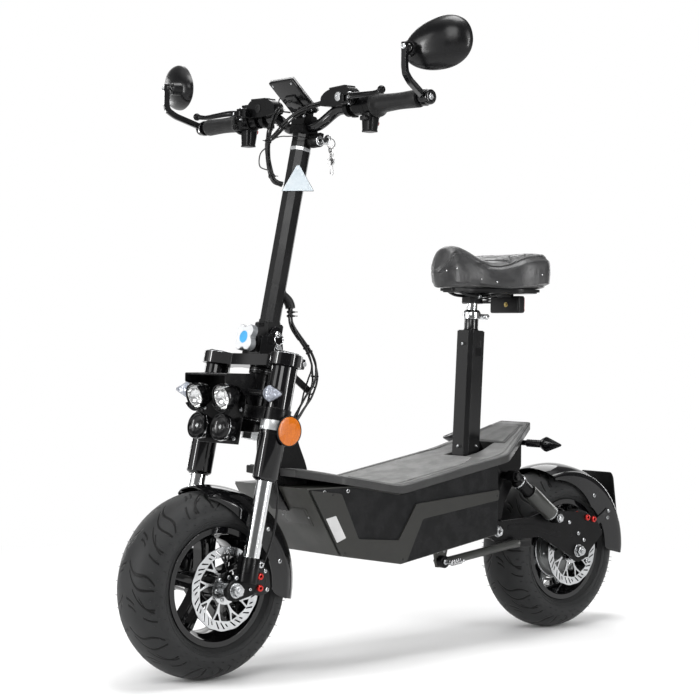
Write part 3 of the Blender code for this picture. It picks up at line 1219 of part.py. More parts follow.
def grip_mat():
    # Rough rubber mat on the board, in front of the mast
    front = FRONT_Y + 0.262
    half = [(0.050, front), (0.094, front + 0.060), (0.094, HOLE_FRONT - 0.070), (0.062, HOLE_FRONT - 0.010)]
    mat = on_deck("grip_mat", mirrored(half), DECK_THICK + GAP, DECK_THICK + GAP + MAT_THICK)
    finish(mat, "frame", (0.14, 0.14, 0.14), 0.9)


CONTROLLER_LONG = 0.090
CONTROLLER_BACK = TUB_REAR - 0.049
BATTERY_BACK = CONTROLLER_BACK - CONTROLLER_LONG - 0.035


def battery_pack():
    front = FRONT_Y + 0.300
    back = BATTERY_BACK
    low = max(floor_height(front), floor_height(back)) + GAP
    outline = [(front, low), (back, low), (back, low + 0.085), (front + 0.02, low + 0.085), (front, low + 0.065)]
    pack = plate("battery_pack", outline, 2 * TUB_HALF - 0.040)
    finish(pack, "frame", (0.03, 0.10, 0.30), 0.5)


def motor_controller():
    # Finned aluminium case on the floor behind the battery
    front = CONTROLLER_BACK - CONTROLLER_LONG
    back = CONTROLLER_BACK
    low = floor_height(back) + GAP
    fins = [(-0.058, low), (0.058, low), (0.058, low + 0.030)]
    for count in range(6):
        x = 0.050 - 0.020 * count
        fins += [(x, low + 0.030), (x, low + 0.040), (x - 0.006, low + 0.040), (x - 0.006, low + 0.030)]
    fins.append((-0.058, low + 0.030))
    case = plate("motor_controller", fins, back - front, (front + back) / 2, "front")
    finish(case, "frame", STEEL, 0.4, 0.9)


MAST_FOOT_Z = deck_low(MAST_Y) - 0.084


def seat_mast():
    # Chamfered square tube with a round upper tube, slots and a rear gusset
    chamfer = 0.008
    foot = (MAST_FOOT_Z - MAST_BASE) / math.cos(SEAT_LEAN) + 0.0015
    mast = plate("seat_mast", octagon(MAST_SIZE, chamfer), MAST_HEIGHT - foot, (MAST_HEIGHT + foot) / 2, "top", SEAT)
    neck_tube = rod("upper_tube", POST_RADIUS + 0.004, MAST_HEIGHT - 0.003, MAST_HEIGHT + 0.033, (0, 0, 0), "Z", SEAT, 16)
    half = MAST_SIZE / 2
    gusset = plate("gusset", [(half - 0.003, -0.020), (half + 0.026, -0.012), (half + 0.026, 0.020),
                              (half - 0.003, 0.060)], 0.006, 0, "side", SEAT)
    fuse(mast, neck_tube, gusset)
    hollow = plate("hollow", octagon(MAST_SIZE - 2 * MAST_WALL, chamfer - 0.001), MAST_HEIGHT - foot,
                   (MAST_HEIGHT + foot) / 2 - 0.008, "top", SEAT)
    bore = rod("post_bore", POST_RADIUS + RUNNING, 0.1, MAST_HEIGHT + 0.05, (0, 0, 0), "Z", SEAT, 16)
    cut(mast, hollow, bore)
    for height in (0.022, MAST_HEIGHT - 0.030):
        slot = block("slot", (0.02, 0.006, 0.014), (half, 0.006, height), SEAT)
        cut(mast, slot)
    finish(mast, "frame", BLACK, 0.3)


CLAMP_Z = MAST_HEIGHT + 0.033


def seat_clamp():
    # Chrome collar on the round tube, with its two ears and their bolt at the back
    outer = POST_RADIUS + 0.008
    collar = turned("seat_clamp", [(POST_RADIUS + RUNNING, CLAMP_Z + 0.012), (outer - 0.004, CLAMP_Z + 0.012),
                                   (outer, CLAMP_Z + 0.006), (outer, CLAMP_Z - 0.008),
                                   (POST_RADIUS + 0.004 + GAP, CLAMP_Z - 0.008), (POST_RADIUS + 0.004 + GAP, CLAMP_Z + GAP),
                                   (POST_RADIUS + RUNNING, CLAMP_Z + GAP)], (0, 0, 0), "Z", SEAT, 16, closed=True)
    ears = block("ears", (0.016, 0.024, 0.012), (0, outer + 0.008, CLAMP_Z - 0.001), SEAT)
    bolt = rod("bolt", 0.003, -0.014, 0.014, (0, outer + 0.014, CLAMP_Z - 0.001), "X", SEAT, 8)
    fuse(collar, ears, bolt)
    slit = block("slit", (0.0025, 0.022, 0.03), (0, outer + 0.0005, CLAMP_Z), SEAT)
    cut(collar, slit)
    finish(collar, "frame", CHROME, 0.15, 1.0)


SADDLE_FRONT = MAST_Y - 0.100
SADDLE_BACK = SADDLE_FRONT + SADDLE_LENGTH
POST_TOP = (SADDLE_BASE - 0.018 - MAST_BASE) / math.cos(SEAT_LEAN)


def seat_post():
    post = rod("seat_post", POST_RADIUS, MAST_HEIGHT - 0.106, POST_TOP, (0, 0, 0), "Z", SEAT, 16)
    finish(post, "seat_post", CHROME, 0.1, 1.0)


def saddle_base():
    # Pan under the cushion, the clamp on the post, two rails and the lamp box at the rear
    wide = SADDLE_HALF - 0.024
    half = [(0.022, SADDLE_FRONT + 0.036), (0.030, SADDLE_FRONT + 0.085), (wide, SADDLE_BACK - 0.095),
            (wide, SADDLE_BACK - 0.030), (wide - 0.030, SADDLE_BACK - 0.012)]
    pan_low = SADDLE_BASE - 0.013 - GAP
    pan = plate("saddle_base", mirrored(half)[::-1], 0.006, pan_low - 0.003, "top")
    head = SEAT @ Vector((0, 0, POST_TOP))
    clamp = plate("clamp", octagon(0.040, 0.008), 0.030, POST_TOP - 0.012, "top", SEAT)
    rails = [tube("rail", smooth_route([(side * 0.016, SADDLE_FRONT + 0.055, pan_low - 0.004),
                                        (side * 0.020, head.y - 0.030, pan_low - 0.014),
                                        (side * 0.020, head.y + 0.035, pan_low - 0.014),
                                        (side * 0.038, SADDLE_BACK - 0.075, pan_low - 0.004)], 2), 0.0035, 1)
             for side in (LEFT, RIGHT)]
    lamp_y = SADDLE_BACK - 0.037
    hanger = block("hanger", (0.040, 0.012, 0.016), (0, lamp_y - 0.008, pan_low - 0.008))
    lamp = block("lamp", (0.098, 0.025, 0.038), (0, lamp_y, pan_low - 0.032), edge=0.003)
    fuse(pan, clamp, *rails, hanger, lamp)
    cut(pan, rod("post_bore", POST_RADIUS + GAP, 0.2, POST_TOP + GAP, (0, 0, 0), "Z", SEAT, 16))
    finish(pan, "seat_post", PLASTIC, 0.5)


def saddle_width(share):
    # Half width along the cushion, from the narrow nose to the broad rear
    nose = 0.040 * math.sqrt(max(0.0, 1 - (1 - min(share / 0.16, 1.0)) ** 2))
    swell = 1 / (1 + math.exp(-(share - 0.50) * 13))
    back = math.sqrt(max(0.0, 1 - max(0.0, (share - 0.86) / 0.14) ** 2))
    return (nose + (SADDLE_HALF - 0.040) * swell) * (0.40 + 0.60 * back)


def saddle_top(share):
    # Height of the crown: high nose, a dip in front of the middle, and a raised rear
    nose = 0.056 * math.exp(-((share - 0.20) / 0.21) ** 2)
    rear = 0.047 / (1 + math.exp(-(share - 0.60) * 14))
    ends = math.sqrt(max(0.0, 1 - max(0.0, (share - 0.92) / 0.08) ** 2)) * math.sqrt(min(1.0, share / 0.12))
    return (0.022 + nose + rear) * (0.45 + 0.55 * ends)


def saddle():
    # Cushion with a crowned nose, a dished and tufted rear panel, side seams and drawn-in lower sides
    rows = []
    rings = 18
    round_count = 24
    bm = bmesh.new()
    for i in range(rings + 1):
        share = min(max(i / rings, 0.004), 0.996)
        half = saddle_width(share)
        top = saddle_top(share)
        broad = min(1.0, max(0.0, (share - 0.35) / 0.3))
        ring = []
        for j in range(round_count):
            turn = 2 * math.pi * j / round_count
            c, s = math.cos(turn), math.sin(turn)
            if s >= 0:
                x = half * math.copysign(abs(c) ** (0.80 - 0.28 * broad), c)
                z = top * s ** (0.75 - 0.30 * broad)
                across = abs(x) / half
                z -= 0.009 * broad * (1 - across * across) * (across < 0.95)
                x *= 1 - 0.030 * math.exp(-((s - 0.55) / 0.12) ** 2)
                if share > 0.58 and s > 0.75:
                    tuft = abs(math.cos(math.pi * x / 0.030) * math.cos(math.pi * (share - 0.58) / 0.095))
                    z -= 0.0024 * (1 - tuft)
            else:
                x = half * 0.88 * c
                z = -0.013 * abs(s) ** 0.35
            # The nose overhangs forwards and the rear backwards
            lean = 0.26 * max(0.0, 1 - share / 0.35) - 0.07 * max(0.0, (share - 0.7) / 0.3)
            y = SADDLE_FRONT + SADDLE_LENGTH * share + lean * (0.030 - z)
            ring.append(bm.verts.new((x, y, SADDLE_BASE + z)))
        rows.append(ring)
    for one, two in zip(rows, rows[1:]):
        for j in range(round_count):
            k = (j + 1) % round_count
            bm.faces.new((one[j], one[k], two[k], two[j]))
    bm.faces.new(rows[0][::-1])
    bm.faces.new(rows[-1])
    bmesh.ops.recalc_face_normals(bm, faces=bm.faces)
    finish(from_bmesh("saddle", bm), "seat_post", (0.03, 0.03, 0.03), 0.45)


def rear_indicators():
    # One bar under the tail with an indicator at each end
    y = REAR_Y - 0.163
    z = deck_low(y) - 0.0072
    bar = rod("rear_indicators", 0.0065, -0.124, 0.124, (0, y, z), sides=10)
    for side in (LEFT, RIGHT):
        fuse(bar, indicator((side * 0.122, y, z), 0.058, WORLD, side))
    finish(bar, "frame", PLASTIC, 0.4)


def pivot_axle():
    # The bolt that the swing arm turns on
    outer = ARM_INNER + ARM_THICK
    at = (0, PIVOT_Y, PIVOT_Z)
    bolt = rod("pivot_axle", PIVOT_RADIUS, -outer - 0.004, outer + 0.004, at, sides=16)
    for side in (LEFT, RIGHT):
        fuse(bolt, rod("head", 0.0125, *sorted((side * (outer + GAP), side * (outer + 0.009))), at, sides=6))
    finish(bolt, "frame", CHROME, 0.2, 1.0)


def swingarm():
    # Two plates, the pivot tube's bosses, one cross tube in front of the tyre and the lower shock studs
    axle_at = Matrix.Translation((0, REAR_Y, TYRE_RADIUS))
    pivot = (PIVOT_Y - REAR_Y, PIVOT_Z - TYRE_RADIUS)
    low_y = SHOCK_LOW[0] - REAR_Y
    low_z = SHOCK_LOW[1] - TYRE_RADIUS
    boss = 0.0215
    outline = arc(*pivot, boss, 80, 275, 7)
    outline += [(-0.125, 0.040), (-0.018, -0.014), (0.000, -0.026), (0.024, -0.020), (0.052, 0.006), (0.086, 0.034),
                (0.064, 0.066), (0.030, 0.084), (low_y + 0.030, low_z + 0.013), (low_y - 0.004, low_z + 0.016),
                (low_y - 0.060, low_z + 0.003)]
    arms = []
    for side in (LEFT, RIGHT):
        middle = side * (ARM_INNER + ARM_THICK / 2)
        arms.append(plate("swingarm", outline, ARM_THICK, middle, frame=axle_at))
    arm, other = arms
    cross = rod("cross_tube", 0.014, -ARM_INNER - 0.003, ARM_INNER + 0.003, (0, REAR_Y - 0.214, 0.240), sides=12)
    pieces = [other, cross]
    for side in (LEFT, RIGHT):
        at = (0, *SHOCK_LOW)
        outer = ARM_INNER + ARM_THICK
        pieces.append(rod("stud", SHOCK_STUD, *sorted((side * (outer - 0.002), side * (SHOCK_PLANE + 0.014))), at,
                          sides=10))
        pieces.append(rod("collar", 0.0085, *sorted((side * (outer - 0.001), side * (SHOCK_PLANE - 0.012 - GAP))), at,
                          sides=10))
        pieces.append(rod("head", 0.0095, *sorted((side * (SHOCK_PLANE + 0.012 + GAP), side * (SHOCK_PLANE + 0.018))),
                          at, sides=6))
    fuse(arm, *pieces)
    cut(arm, rod("pivot_hole", PIVOT_RADIUS + RUNNING, -0.1, 0.1, (0, PIVOT_Y, PIVOT_Z), sides=16),
        rod("axle_hole", AXLE_RADIUS + GAP, -0.1, 0.1, (0, REAR_Y, TYRE_RADIUS), sides=12))
    arm.name = "swingarm"
    finish(arm, "swingarm", BLACK, 0.3)


SHOCK_VECTOR = Vector((0, SHOCK_LOW[0] - SHOCK_TOP[0], SHOCK_LOW[1] - SHOCK_TOP[1]))
SHOCK_LENGTH = SHOCK_VECTOR.length
SLEEVE_TOP = 0.062          # distances along the shock from its upper eye
SLEEVE_END = 0.146


def shock(side, upper_name, lower_name):
    # Upper half with its piston tube, and the lower sleeve that slides over it
    lean = math.atan2(SHOCK_VECTOR.y, -SHOCK_VECTOR.z)
    frame = (Matrix.Translation((side * SHOCK_PLANE, SHOCK_TOP[0], SHOCK_TOP[1])) @ Matrix.Rotation(lean, 4, "X")
             @ Matrix.Rotation(math.pi, 4, "X"))
    eye = 0.012
    piston = SHOCK_RADIUS - 0.0035
    hole = SHOCK_STUD + SHOCK_PLAY
    upper = turned(upper_name, [(0, SLEEVE_END - 0.030), (piston, SLEEVE_END - 0.030), (piston, 0.030),
                                (SHOCK_RADIUS - 0.001, 0.028), (SHOCK_RADIUS - 0.001, 0.017),
                                (SHOCK_RADIUS - 0.005, 0.0105), (0, 0.0105)], (0, 0, 0), "Z", frame, 12)
    fuse(upper, rod("eye", eye, -eye, eye, (0, 0, 0), "X", frame, 12))
    cut(upper, rod("eye_hole", hole, -0.03, 0.03, (0, 0, 0), "X", frame, 12))
    finish(upper, "shock_uppers", BLACK, 0.3)
    sleeve = SHOCK_RADIUS + 0.0005
    bore = piston + 0.0016
    lower = turned(lower_name, [(0, SHOCK_LENGTH - 0.0105), (SHOCK_RADIUS - 0.005, SHOCK_LENGTH - 0.0105),
                                (sleeve, SLEEVE_END + 0.006), (sleeve, SLEEVE_TOP), (bore, SLEEVE_TOP),
                                (bore, SLEEVE_END), (0, SLEEVE_END)], (0, 0, 0), "Z", frame, 12)
    foot = (0, 0, SHOCK_LENGTH)
    fuse(lower, rod("eye", eye, -eye, eye, foot, "X", frame, 12))
    cut(lower, rod("eye_hole", hole, -0.03, 0.03, foot, "X", frame, 12))
    finish(lower, "shock_lowers", GREY, 0.35, 0.5)


STAND_Y = REAR_Y - 0.436
STAND_Z = 0.190
STAND_X = 0.100


def kickstand():
    # Folded leg with its eye, bolt and turned-out foot
    at = (0, STAND_Y, STAND_Z)
    outer = 0.0895 + GAP
    route = smooth_route([(STAND_X, STAND_Y + 0.004, STAND_Z), (STAND_X, STAND_Y + 0.060, STAND_Z + 0.006),
                          (STAND_X, STAND_Y + 0.180, STAND_Z + 0.019), (STAND_X + 0.004, STAND_Y + 0.222, STAND_Z + 0.023),
                          (STAND_X + 0.020, STAND_Y + 0.244, STAND_Z + 0.025)], 2)
    leg = tube("kickstand", route, STAND_RADIUS, 2)
    eye = rod("eye", 0.013, outer, outer + 0.014, at, sides=16)
    bolt = rod("bolt", 0.0045, 0.076, outer + 0.002, at, sides=12)
    nut = rod("nut", 0.0085, 0.076, 0.0835 - GAP, at, sides=6)
    # Two short posts hold the return spring between them
    seat = SPRING_WIRE + GAP + 0.002
    near = rod("spring_post", 0.002, outer + 0.013, SPRING_X + 0.007, (0, SPRING_Y - seat, STAND_Z - 0.001), sides=8)
    far = rod("spring_post", 0.002, STAND_X + 0.004, SPRING_X + 0.007, (0, SPRING_Y + 0.030 + seat, STAND_Z + 0.002),
              sides=8)
    fuse(leg, eye, bolt, nut, near, far)
    finish(leg, "kickstand", BLACK, 0.35)


SPRING_WIRE = 0.0011
SPRING_X = STAND_X + 0.0175
SPRING_Y = STAND_Y + 0.002


def stand_spring():
    # Return spring beside the leg, between its two posts
    turns = 5
    each = 6
    radius = 0.0060
    wire = SPRING_WIRE
    start = Vector((SPRING_X, SPRING_Y, STAND_Z - 0.001))
    run = Vector((0, 0.030, 0.0030))
    points = []
    for i in range(turns * each + 1):
        turn = 2 * math.pi * i / each
        spot = start + run * (i / (turns * each))
        points.append((spot.x + radius * math.cos(turn), spot.y, spot.z + radius * math.sin(turn)))
    pitch = run.length / turns
    print("stand spring: least gap between turns", round((pitch - 2 * wire) * 1000, 2), "mm")
    coil = tube("stand_spring", points, wire, 1, solid=False)
    finish(coil, "kickstand", CHROME, 0.2, 1.0)


frame_tub()
side_cover("side_cover_left", LEFT)
side_cover("side_cover_right", RIGHT)
neck()
footboard()
grip_mat()
battery_pack()
motor_controller()
seat_mast()
seat_clamp()
seat_post()
saddle_base()
saddle()
rear_indicators()
pivot_axle()
swingarm()
shock(LEFT, "shock_upper_left", "shock_lower_left")
shock(RIGHT, "shock_upper_right", "shock_lower_right")
kickstand()
stand_spring()


# Cables
def bar_loom():
    # Two bundles from the levers and switches that join and enter the stem
    def on_stem(x, y, along):
        return tuple(fork_point(x, y, along))

    joint = on_stem(-0.066, -0.006, STEM_TOP - 0.019)
    end = on_stem(-0.0165, STEERING_SETBACK - 0.0165, HOLE_IN_STEM)
    left = [(0.0650, GRIP_Y - 0.016, GRIP_Z + 0.0145), (0.062, GRIP_Y - 0.0165, GRIP_Z + 0.014),
            (0.036, GRIP_Y - 0.040, GRIP_Z + 0.002), (0.000, GRIP_Y - 0.052, GRIP_Z - 0.020),
            (-0.040, GRIP_Y - 0.050, GRIP_Z - 0.044), joint,
            on_stem(-0.052, -0.004, STEM_TOP - 0.065), on_stem(-0.030, STEERING_SETBACK - 0.030, STEM_TOP - 0.099), end]
    right = [(-0.0680, GRIP_Y - 0.016, GRIP_Z + 0.0145), (-0.064, GRIP_Y - 0.0165, GRIP_Z + 0.014),
             (-0.054, GRIP_Y - 0.036, GRIP_Z + 0.004), (-0.060, GRIP_Y - 0.046, GRIP_Z - 0.026), joint]
    loom = tube("bar_loom", smooth_route(left, 2), 0.0065, 2)
    fuse(loom, tube("right_branch", smooth_route(right, 2), 0.0062, 2))
    finish(loom, "stem", PLASTIC, 0.55)


def neck_loom():
    # From the back of the stem, over the guide arm and down to the neck
    def on_stem(x, y, along):
        return tuple(fork_point(x, y, along))

    knots = [on_stem(0, STEERING_SETBACK + STEM_WIDTH / 2 + GAP, LOOM_EXIT),
             on_stem(0.004, STEERING_SETBACK + STEM_WIDTH / 2 + 0.020, LOOM_EXIT - 0.019),
             (0.012, FRONT_Y + 0.206, 0.679), (0.026, FRONT_Y + 0.240, 0.625), (0.0285, FRONT_Y + 0.252, 0.585),
             (0.0285, FRONT_Y + 0.240, 0.545), (0.032, FRONT_Y + 0.215, 0.510), (0.033, FRONT_Y + 0.190, 0.480)]
    loom = tube("neck_loom", smooth_route(knots, 3), 0.0055, 2, solid=False)
    finish(loom, "frame", PLASTIC, 0.55)


def brake_hose():
    # Front hose: from its guide on the left fork tube, in a slack bow behind the leg, to the caliper
    start = fork_point(LEG_X, FORK_TUBE_RADIUS + 0.0025, LOWER_CROWN - 0.020)
    knots = [tuple(start), (0.103, FRONT_Y + 0.107, TYRE_RADIUS + 0.220), (0.104, FRONT_Y + 0.118, TYRE_RADIUS + 0.170),
             (0.104, FRONT_Y + 0.106, TYRE_RADIUS + 0.120), (0.098, FRONT_Y + 0.092, TYRE_RADIUS + 0.082),
             (0.084, FRONT_Y + 0.084, TYRE_RADIUS + 0.048),
             (0.080, FRONT_Y + 0.080, TYRE_RADIUS + 0.0395)]
    hose = tube("front_brake_hose", smooth_route(knots, 3), 0.0022, 2, solid=False)
    finish(hose, "fork_lower", PLASTIC, 0.5)


bar_loom()
neck_loom()
brake_hose()

# Moving bodies: each has an empty on its joint's axis, and the body's objects are its children
lever_spot = {side: Vector((side * LEVER_PIVOT.x, LEVER_PIVOT.y, LEVER_PIVOT.z)) for side in (LEFT, RIGHT)}
bodies = {
    "steering": ("frame", fork_point(0, STEERING_SETBACK, LOWER_CROWN)),
    "fork_lower": ("steering", fork_point(0, 0, 0)),
    "front_wheel": ("fork_lower", Vector((0, FRONT_Y, TYRE_RADIUS))),
    "stem": ("steering", fork_point(0, FOLD_Y, FOLD_Z)),
    "star_knob": ("steering", fork_point(0, 0, KNOB_Z)),
    "pull_pin": ("steering", fork_point(CHEEK_INNER, STEERING_SETBACK, PIN_Z)),
    "throttle_grip": ("stem", Vector((-GRIP_INNER, GRIP_Y, GRIP_Z))),
    "brake_lever_left": ("stem", lever_spot[LEFT]),
    "brake_lever_right": ("stem", lever_spot[RIGHT]),
    "mirror_left": ("stem", mirror_ball(LEFT)),
    "mirror_right": ("stem", mirror_ball(RIGHT)),
    "ignition_key": ("stem", fork_point(LOCK_FACE, *LOCK_AT)),
    "horn_button": ("stem", Vector((BUTTON_X, GRIP_Y, BUTTON_Z))),
    "swingarm": ("frame", Vector((0, PIVOT_Y, PIVOT_Z))),
    "rear_wheel": ("swingarm", Vector((0, REAR_Y, TYRE_RADIUS))),
    "shock_uppers": ("frame", Vector((0, *SHOCK_TOP))),
    "shock_lowers": ("swingarm", Vector((0, *SHOCK_LOW))),
    "seat_post": ("frame", SEAT @ Vector((0, 0, CLAMP_Z))),
    "kickstand": ("frame", Vector((STAND_X, STAND_Y, STAND_Z))),
}
axes = {}
for body, (parent, at) in bodies.items():
    pivot = bpy.data.objects.new(body + "_axis", None)
    pivot.empty_display_size = 0.03
    pivot.location = at
    parts.objects.link(pivot)
    axes[body] = pivot
bpy.context.view_layer.update()
for body, (parent, at) in bodies.items():
    children = list(members[body])
    for child in children:
        child.parent = axes[body]
        child.matrix_parent_inverse = Matrix.Translation(-at)
    if parent in axes:
        axes[body].parent = axes[parent]
        axes[body].matrix_parent_inverse = Matrix.Translation(-bodies[parent][1])
print("nodes:", sum(len(v) for v in members.values()))
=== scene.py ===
import json
import math

import bmesh
import bpy
from mathutils import Matrix, Vector, noise


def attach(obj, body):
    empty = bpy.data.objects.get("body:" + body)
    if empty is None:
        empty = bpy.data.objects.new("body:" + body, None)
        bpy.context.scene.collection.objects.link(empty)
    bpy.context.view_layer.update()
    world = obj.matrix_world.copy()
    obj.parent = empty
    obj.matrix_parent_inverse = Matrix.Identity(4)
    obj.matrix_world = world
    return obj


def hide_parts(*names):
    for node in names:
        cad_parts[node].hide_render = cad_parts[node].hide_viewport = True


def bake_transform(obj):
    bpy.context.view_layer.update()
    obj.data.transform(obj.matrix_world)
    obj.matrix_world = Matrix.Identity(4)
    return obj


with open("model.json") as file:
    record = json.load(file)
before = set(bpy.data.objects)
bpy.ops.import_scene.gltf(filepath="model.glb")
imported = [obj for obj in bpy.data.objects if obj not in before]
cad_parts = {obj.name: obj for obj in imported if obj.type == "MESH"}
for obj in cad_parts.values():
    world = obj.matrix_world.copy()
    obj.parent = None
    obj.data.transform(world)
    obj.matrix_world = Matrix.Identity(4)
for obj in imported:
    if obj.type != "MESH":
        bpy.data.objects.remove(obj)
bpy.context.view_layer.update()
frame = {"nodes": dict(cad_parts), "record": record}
left, right = 1, -1
radians = math.radians

# Shared sizes, in metres and degrees, as the solids have them
scooter = {
    "wheelbase": 0.987, "tyreRadius": 0.18, "discRadius": 0.08, "discOffset": 0.0707,
    "rake": 12.2, "forkTrail": 0.022, "setback": 0.0277, "legX": 0.1046,
    "lowerCrown": 0.296, "upperCrown": 0.4285, "stemTop": 0.905, "barHeight": 0.922,
    "seatLean": 2.9, "saddleBase": 0.778, "saddleLength": 0.268, "saddleHalf": 0.12,
}
tyreRadius = scooter["tyreRadius"]
plateLean = radians(15.7)


def plateReach(height):
    return (0.2047 - (height - tyreRadius) * math.sin(plateLean)) / math.cos(plateLean)


frontY = tyreRadius - (tyreRadius + scooter["wheelbase"] + plateReach(0.168)
    + 0.003 * math.cos(plateLean)) / 2
rearY = frontY + scooter["wheelbase"]
valleyY = frontY + 0.409
tailBendY = rearY - 0.265
tailEndY = rearY - 0.112
mastY = rearY - 0.2734
setback = scooter["setback"]
legX = scooter["legX"]


def deckLow(y):
    # Height of the board's underside
    slopes = [math.tan(radians(a)) for a in (9.9, 9.5, 22.7)]
    if y < valleyY:
        return 0.34 + (valleyY - y) * slopes[0]
    if y < tailBendY:
        return 0.34 + (y - valleyY) * slopes[1]
    return 0.34 + (tailBendY - valleyY) * slopes[1] + (y - tailBendY) * slopes[2]


def at(x, y, z):
    return Matrix.Translation((x, y, z))


def turnX(degrees):
    return Matrix.Rotation(radians(degrees), 4, "X")


def turnY(degrees):
    return Matrix.Rotation(radians(degrees), 4, "Y")


def turnZ(degrees):
    return Matrix.Rotation(radians(degrees), 4, "Z")


world = Matrix.Identity(4)
forkFrame = at(0, frontY + scooter["forkTrail"], tyreRadius) @ turnX(-scooter["rake"])
mastBase = deckLow(mastY) + 0.007
seatFrame = at(0, mastY, mastBase) @ turnX(-scooter["seatLean"])
frontHub = at(0, frontY, tyreRadius)
rearHub = at(0, rearY, tyreRadius)
axisTurn = {"Z": world, "X": turnY(90), "Y": turnX(-90)}
planes = {
    "side": Matrix(((0, 0, 1, 0), (1, 0, 0, 0), (0, 1, 0, 0), (0, 0, 0, 1))),
    "front": Matrix(((1, 0, 0, 0), (0, 0, -1, 0), (0, 1, 0, 0), (0, 0, 0, 1))),
    "top": world,
}


def forkAt(x, y, z):
    # A place in the leaning fork's own axes
    return forkFrame @ at(x, y, z)


def forkPoint(x, y, z):
    return forkFrame @ Vector((x, y, z))


def outward(side):
    # Turns a shape's z to point out of the scooter's side
    return axisTurn["X"] if side == left else axisTurn["X"] @ turnX(180)


def sideSpan(side, one, two):
    return sorted((side * one, side * two))


# Shader node groups: each gives only masks, heights and tones that change over the surface
def newGroup(name, inputs, outputs):
    tree = bpy.data.node_groups.new(name, "ShaderNodeTree")
    for label, value in inputs:
        tree.interface.new_socket(name=label, in_out="INPUT",
            socket_type="NodeSocketFloat").default_value = value
    for label in outputs:
        tree.interface.new_socket(name=label, in_out="OUTPUT", socket_type="NodeSocketFloat")
    return tree, tree.nodes.new("NodeGroupInput"), tree.nodes.new("NodeGroupOutput")


def addNode(tree, kind, links=(), **settings):
    made = tree.nodes.new("ShaderNode" + kind)
    for key, value in settings.items():
        setattr(made, key, value)
    for socket, value in dict(links).items():
        if isinstance(value, bpy.types.NodeSocket):
            tree.links.new(value, made.inputs[socket])
        else:
            made.inputs[socket].default_value = value
    return made


def maths(tree, operation, *values):
    made = tree.nodes.new("ShaderNodeMath")
    made.operation = operation
    for socket, value in zip(made.inputs, values):
        if isinstance(value, bpy.types.NodeSocket):
            tree.links.new(value, socket)
        else:
            socket.default_value = value
    return made.outputs[0]


def ranged(tree, value, low, high, newLow=0.0, newHigh=1.0):
    made = addNode(tree, "MapRange", {"Value": value, "From Min": low, "From Max": high, "To Min": newLow,
        "To Max": newHigh}, interpolation_type="SMOOTHSTEP")
    return made.outputs["Result"]


def objectPlace(tree):
    return addNode(tree, "TexCoord").outputs["Object"]


def noisy(tree, scale, detail=3.0, roughness=0.5, stretch=None):
    vector = objectPlace(tree)
    if stretch:
        vector = addNode(tree, "Mapping", {"Vector": vector, "Scale": stretch}).outputs[0]
    return addNode(tree, "TexNoise", {"Vector": vector, "Scale": scale, "Detail": detail,
        "Roughness": roughness}).outputs["Fac"]


def makeEdgeWear():
    # Rubbed edges: convex spots of the mesh, broken up by noise
    tree, given, out = newGroup("edgeWear", [("Amount", 0.5), ("Scale", 60.0)], ["Mask"])
    edge = ranged(tree, addNode(tree, "NewGeometry").outputs["Pointiness"], 0.52, 0.62)
    patches = ranged(tree, noisy(tree, given.outputs["Scale"], 4.0, 0.6), 0.42, 0.72)
    tree.links.new(maths(tree, "MULTIPLY", maths(tree, "MULTIPLY", edge, patches), given.outputs["Amount"]),
        out.inputs["Mask"])
    return tree


def makeDust():
    # Fine dust that settles on faces that look up, and in broad uneven patches
    tree, given, out = newGroup("dust", [("Amount", 0.3)], ["Mask"])
    facing = addNode(tree, "SeparateXYZ", {0: addNode(tree, "TexCoord").outputs["Normal"]}).outputs["Z"]
    up = ranged(tree, facing, 0.2, 1.0, 0.25, 1.0)
    broad = ranged(tree, noisy(tree, 9.0, 4.0, 0.6), 0.35, 0.75)
    fine = ranged(tree, noisy(tree, 900.0, 2.0, 0.7), 0.4, 0.7)
    mask = maths(tree, "MULTIPLY", maths(tree, "MULTIPLY", up, broad),
        maths(tree, "ADD", maths(tree, "MULTIPLY", fine, 0.6), 0.4))
    tree.links.new(maths(tree, "MULTIPLY", mask, given.outputs["Amount"]), out.inputs["Mask"])
    return tree


def makePaintSkin():
    # The slight waviness of sprayed paint, with faint broad tone changes
    tree, given, out = newGroup("paintSkin", [("Scale", 260.0)], ["Height", "Tone"])
    wave = noisy(tree, given.outputs["Scale"], 1.0, 0.4)
    broad = noisy(tree, 14.0, 3.0, 0.5)
    tree.links.new(wave, out.inputs["Height"])
    tree.links.new(ranged(tree, broad, 0.3, 0.7), out.inputs["Tone"])
    return tree


def makeMouldedGrain():
    # Pebbled grain of moulded plastic and rubber
    tree, given, out = newGroup("mouldedGrain", [("Scale", 900.0)], ["Height", "Tone"])
    cells = addNode(tree, "TexVoronoi", {"Vector": objectPlace(tree), "Scale": given.outputs["Scale"]},
        feature="SMOOTH_F1").outputs["Distance"]
    fine = noisy(tree, maths(tree, "MULTIPLY", given.outputs["Scale"], 2.3), 3.0, 0.6)
    height = maths(tree, "ADD", maths(tree, "MULTIPLY", cells, 0.7), maths(tree, "MULTIPLY", fine, 0.5))
    tree.links.new(height, out.inputs["Height"])
    tree.links.new(ranged(tree, noisy(tree, 22.0, 5.0, 0.6), 0.3, 0.7), out.inputs["Tone"])
    return tree


def makeCastSkin():
    # Uneven skin of cast and bead-blasted metal
    tree, given, out = newGroup("castSkin", [("Scale", 420.0)], ["Height", "Tone"])
    lumps = noisy(tree, given.outputs["Scale"], 4.0, 0.65)
    pits = addNode(tree, "TexVoronoi",
        {"Vector": objectPlace(tree), "Scale": maths(tree, "MULTIPLY", given.outputs["Scale"], 1.7)}).outputs[
        0]
    tree.links.new(maths(tree, "ADD", lumps, maths(tree, "MULTIPLY", pits, 0.4)), out.inputs["Height"])
    tree.links.new(ranged(tree, noisy(tree, 30.0, 5.0, 0.65), 0.3, 0.7), out.inputs["Tone"])
    return tree


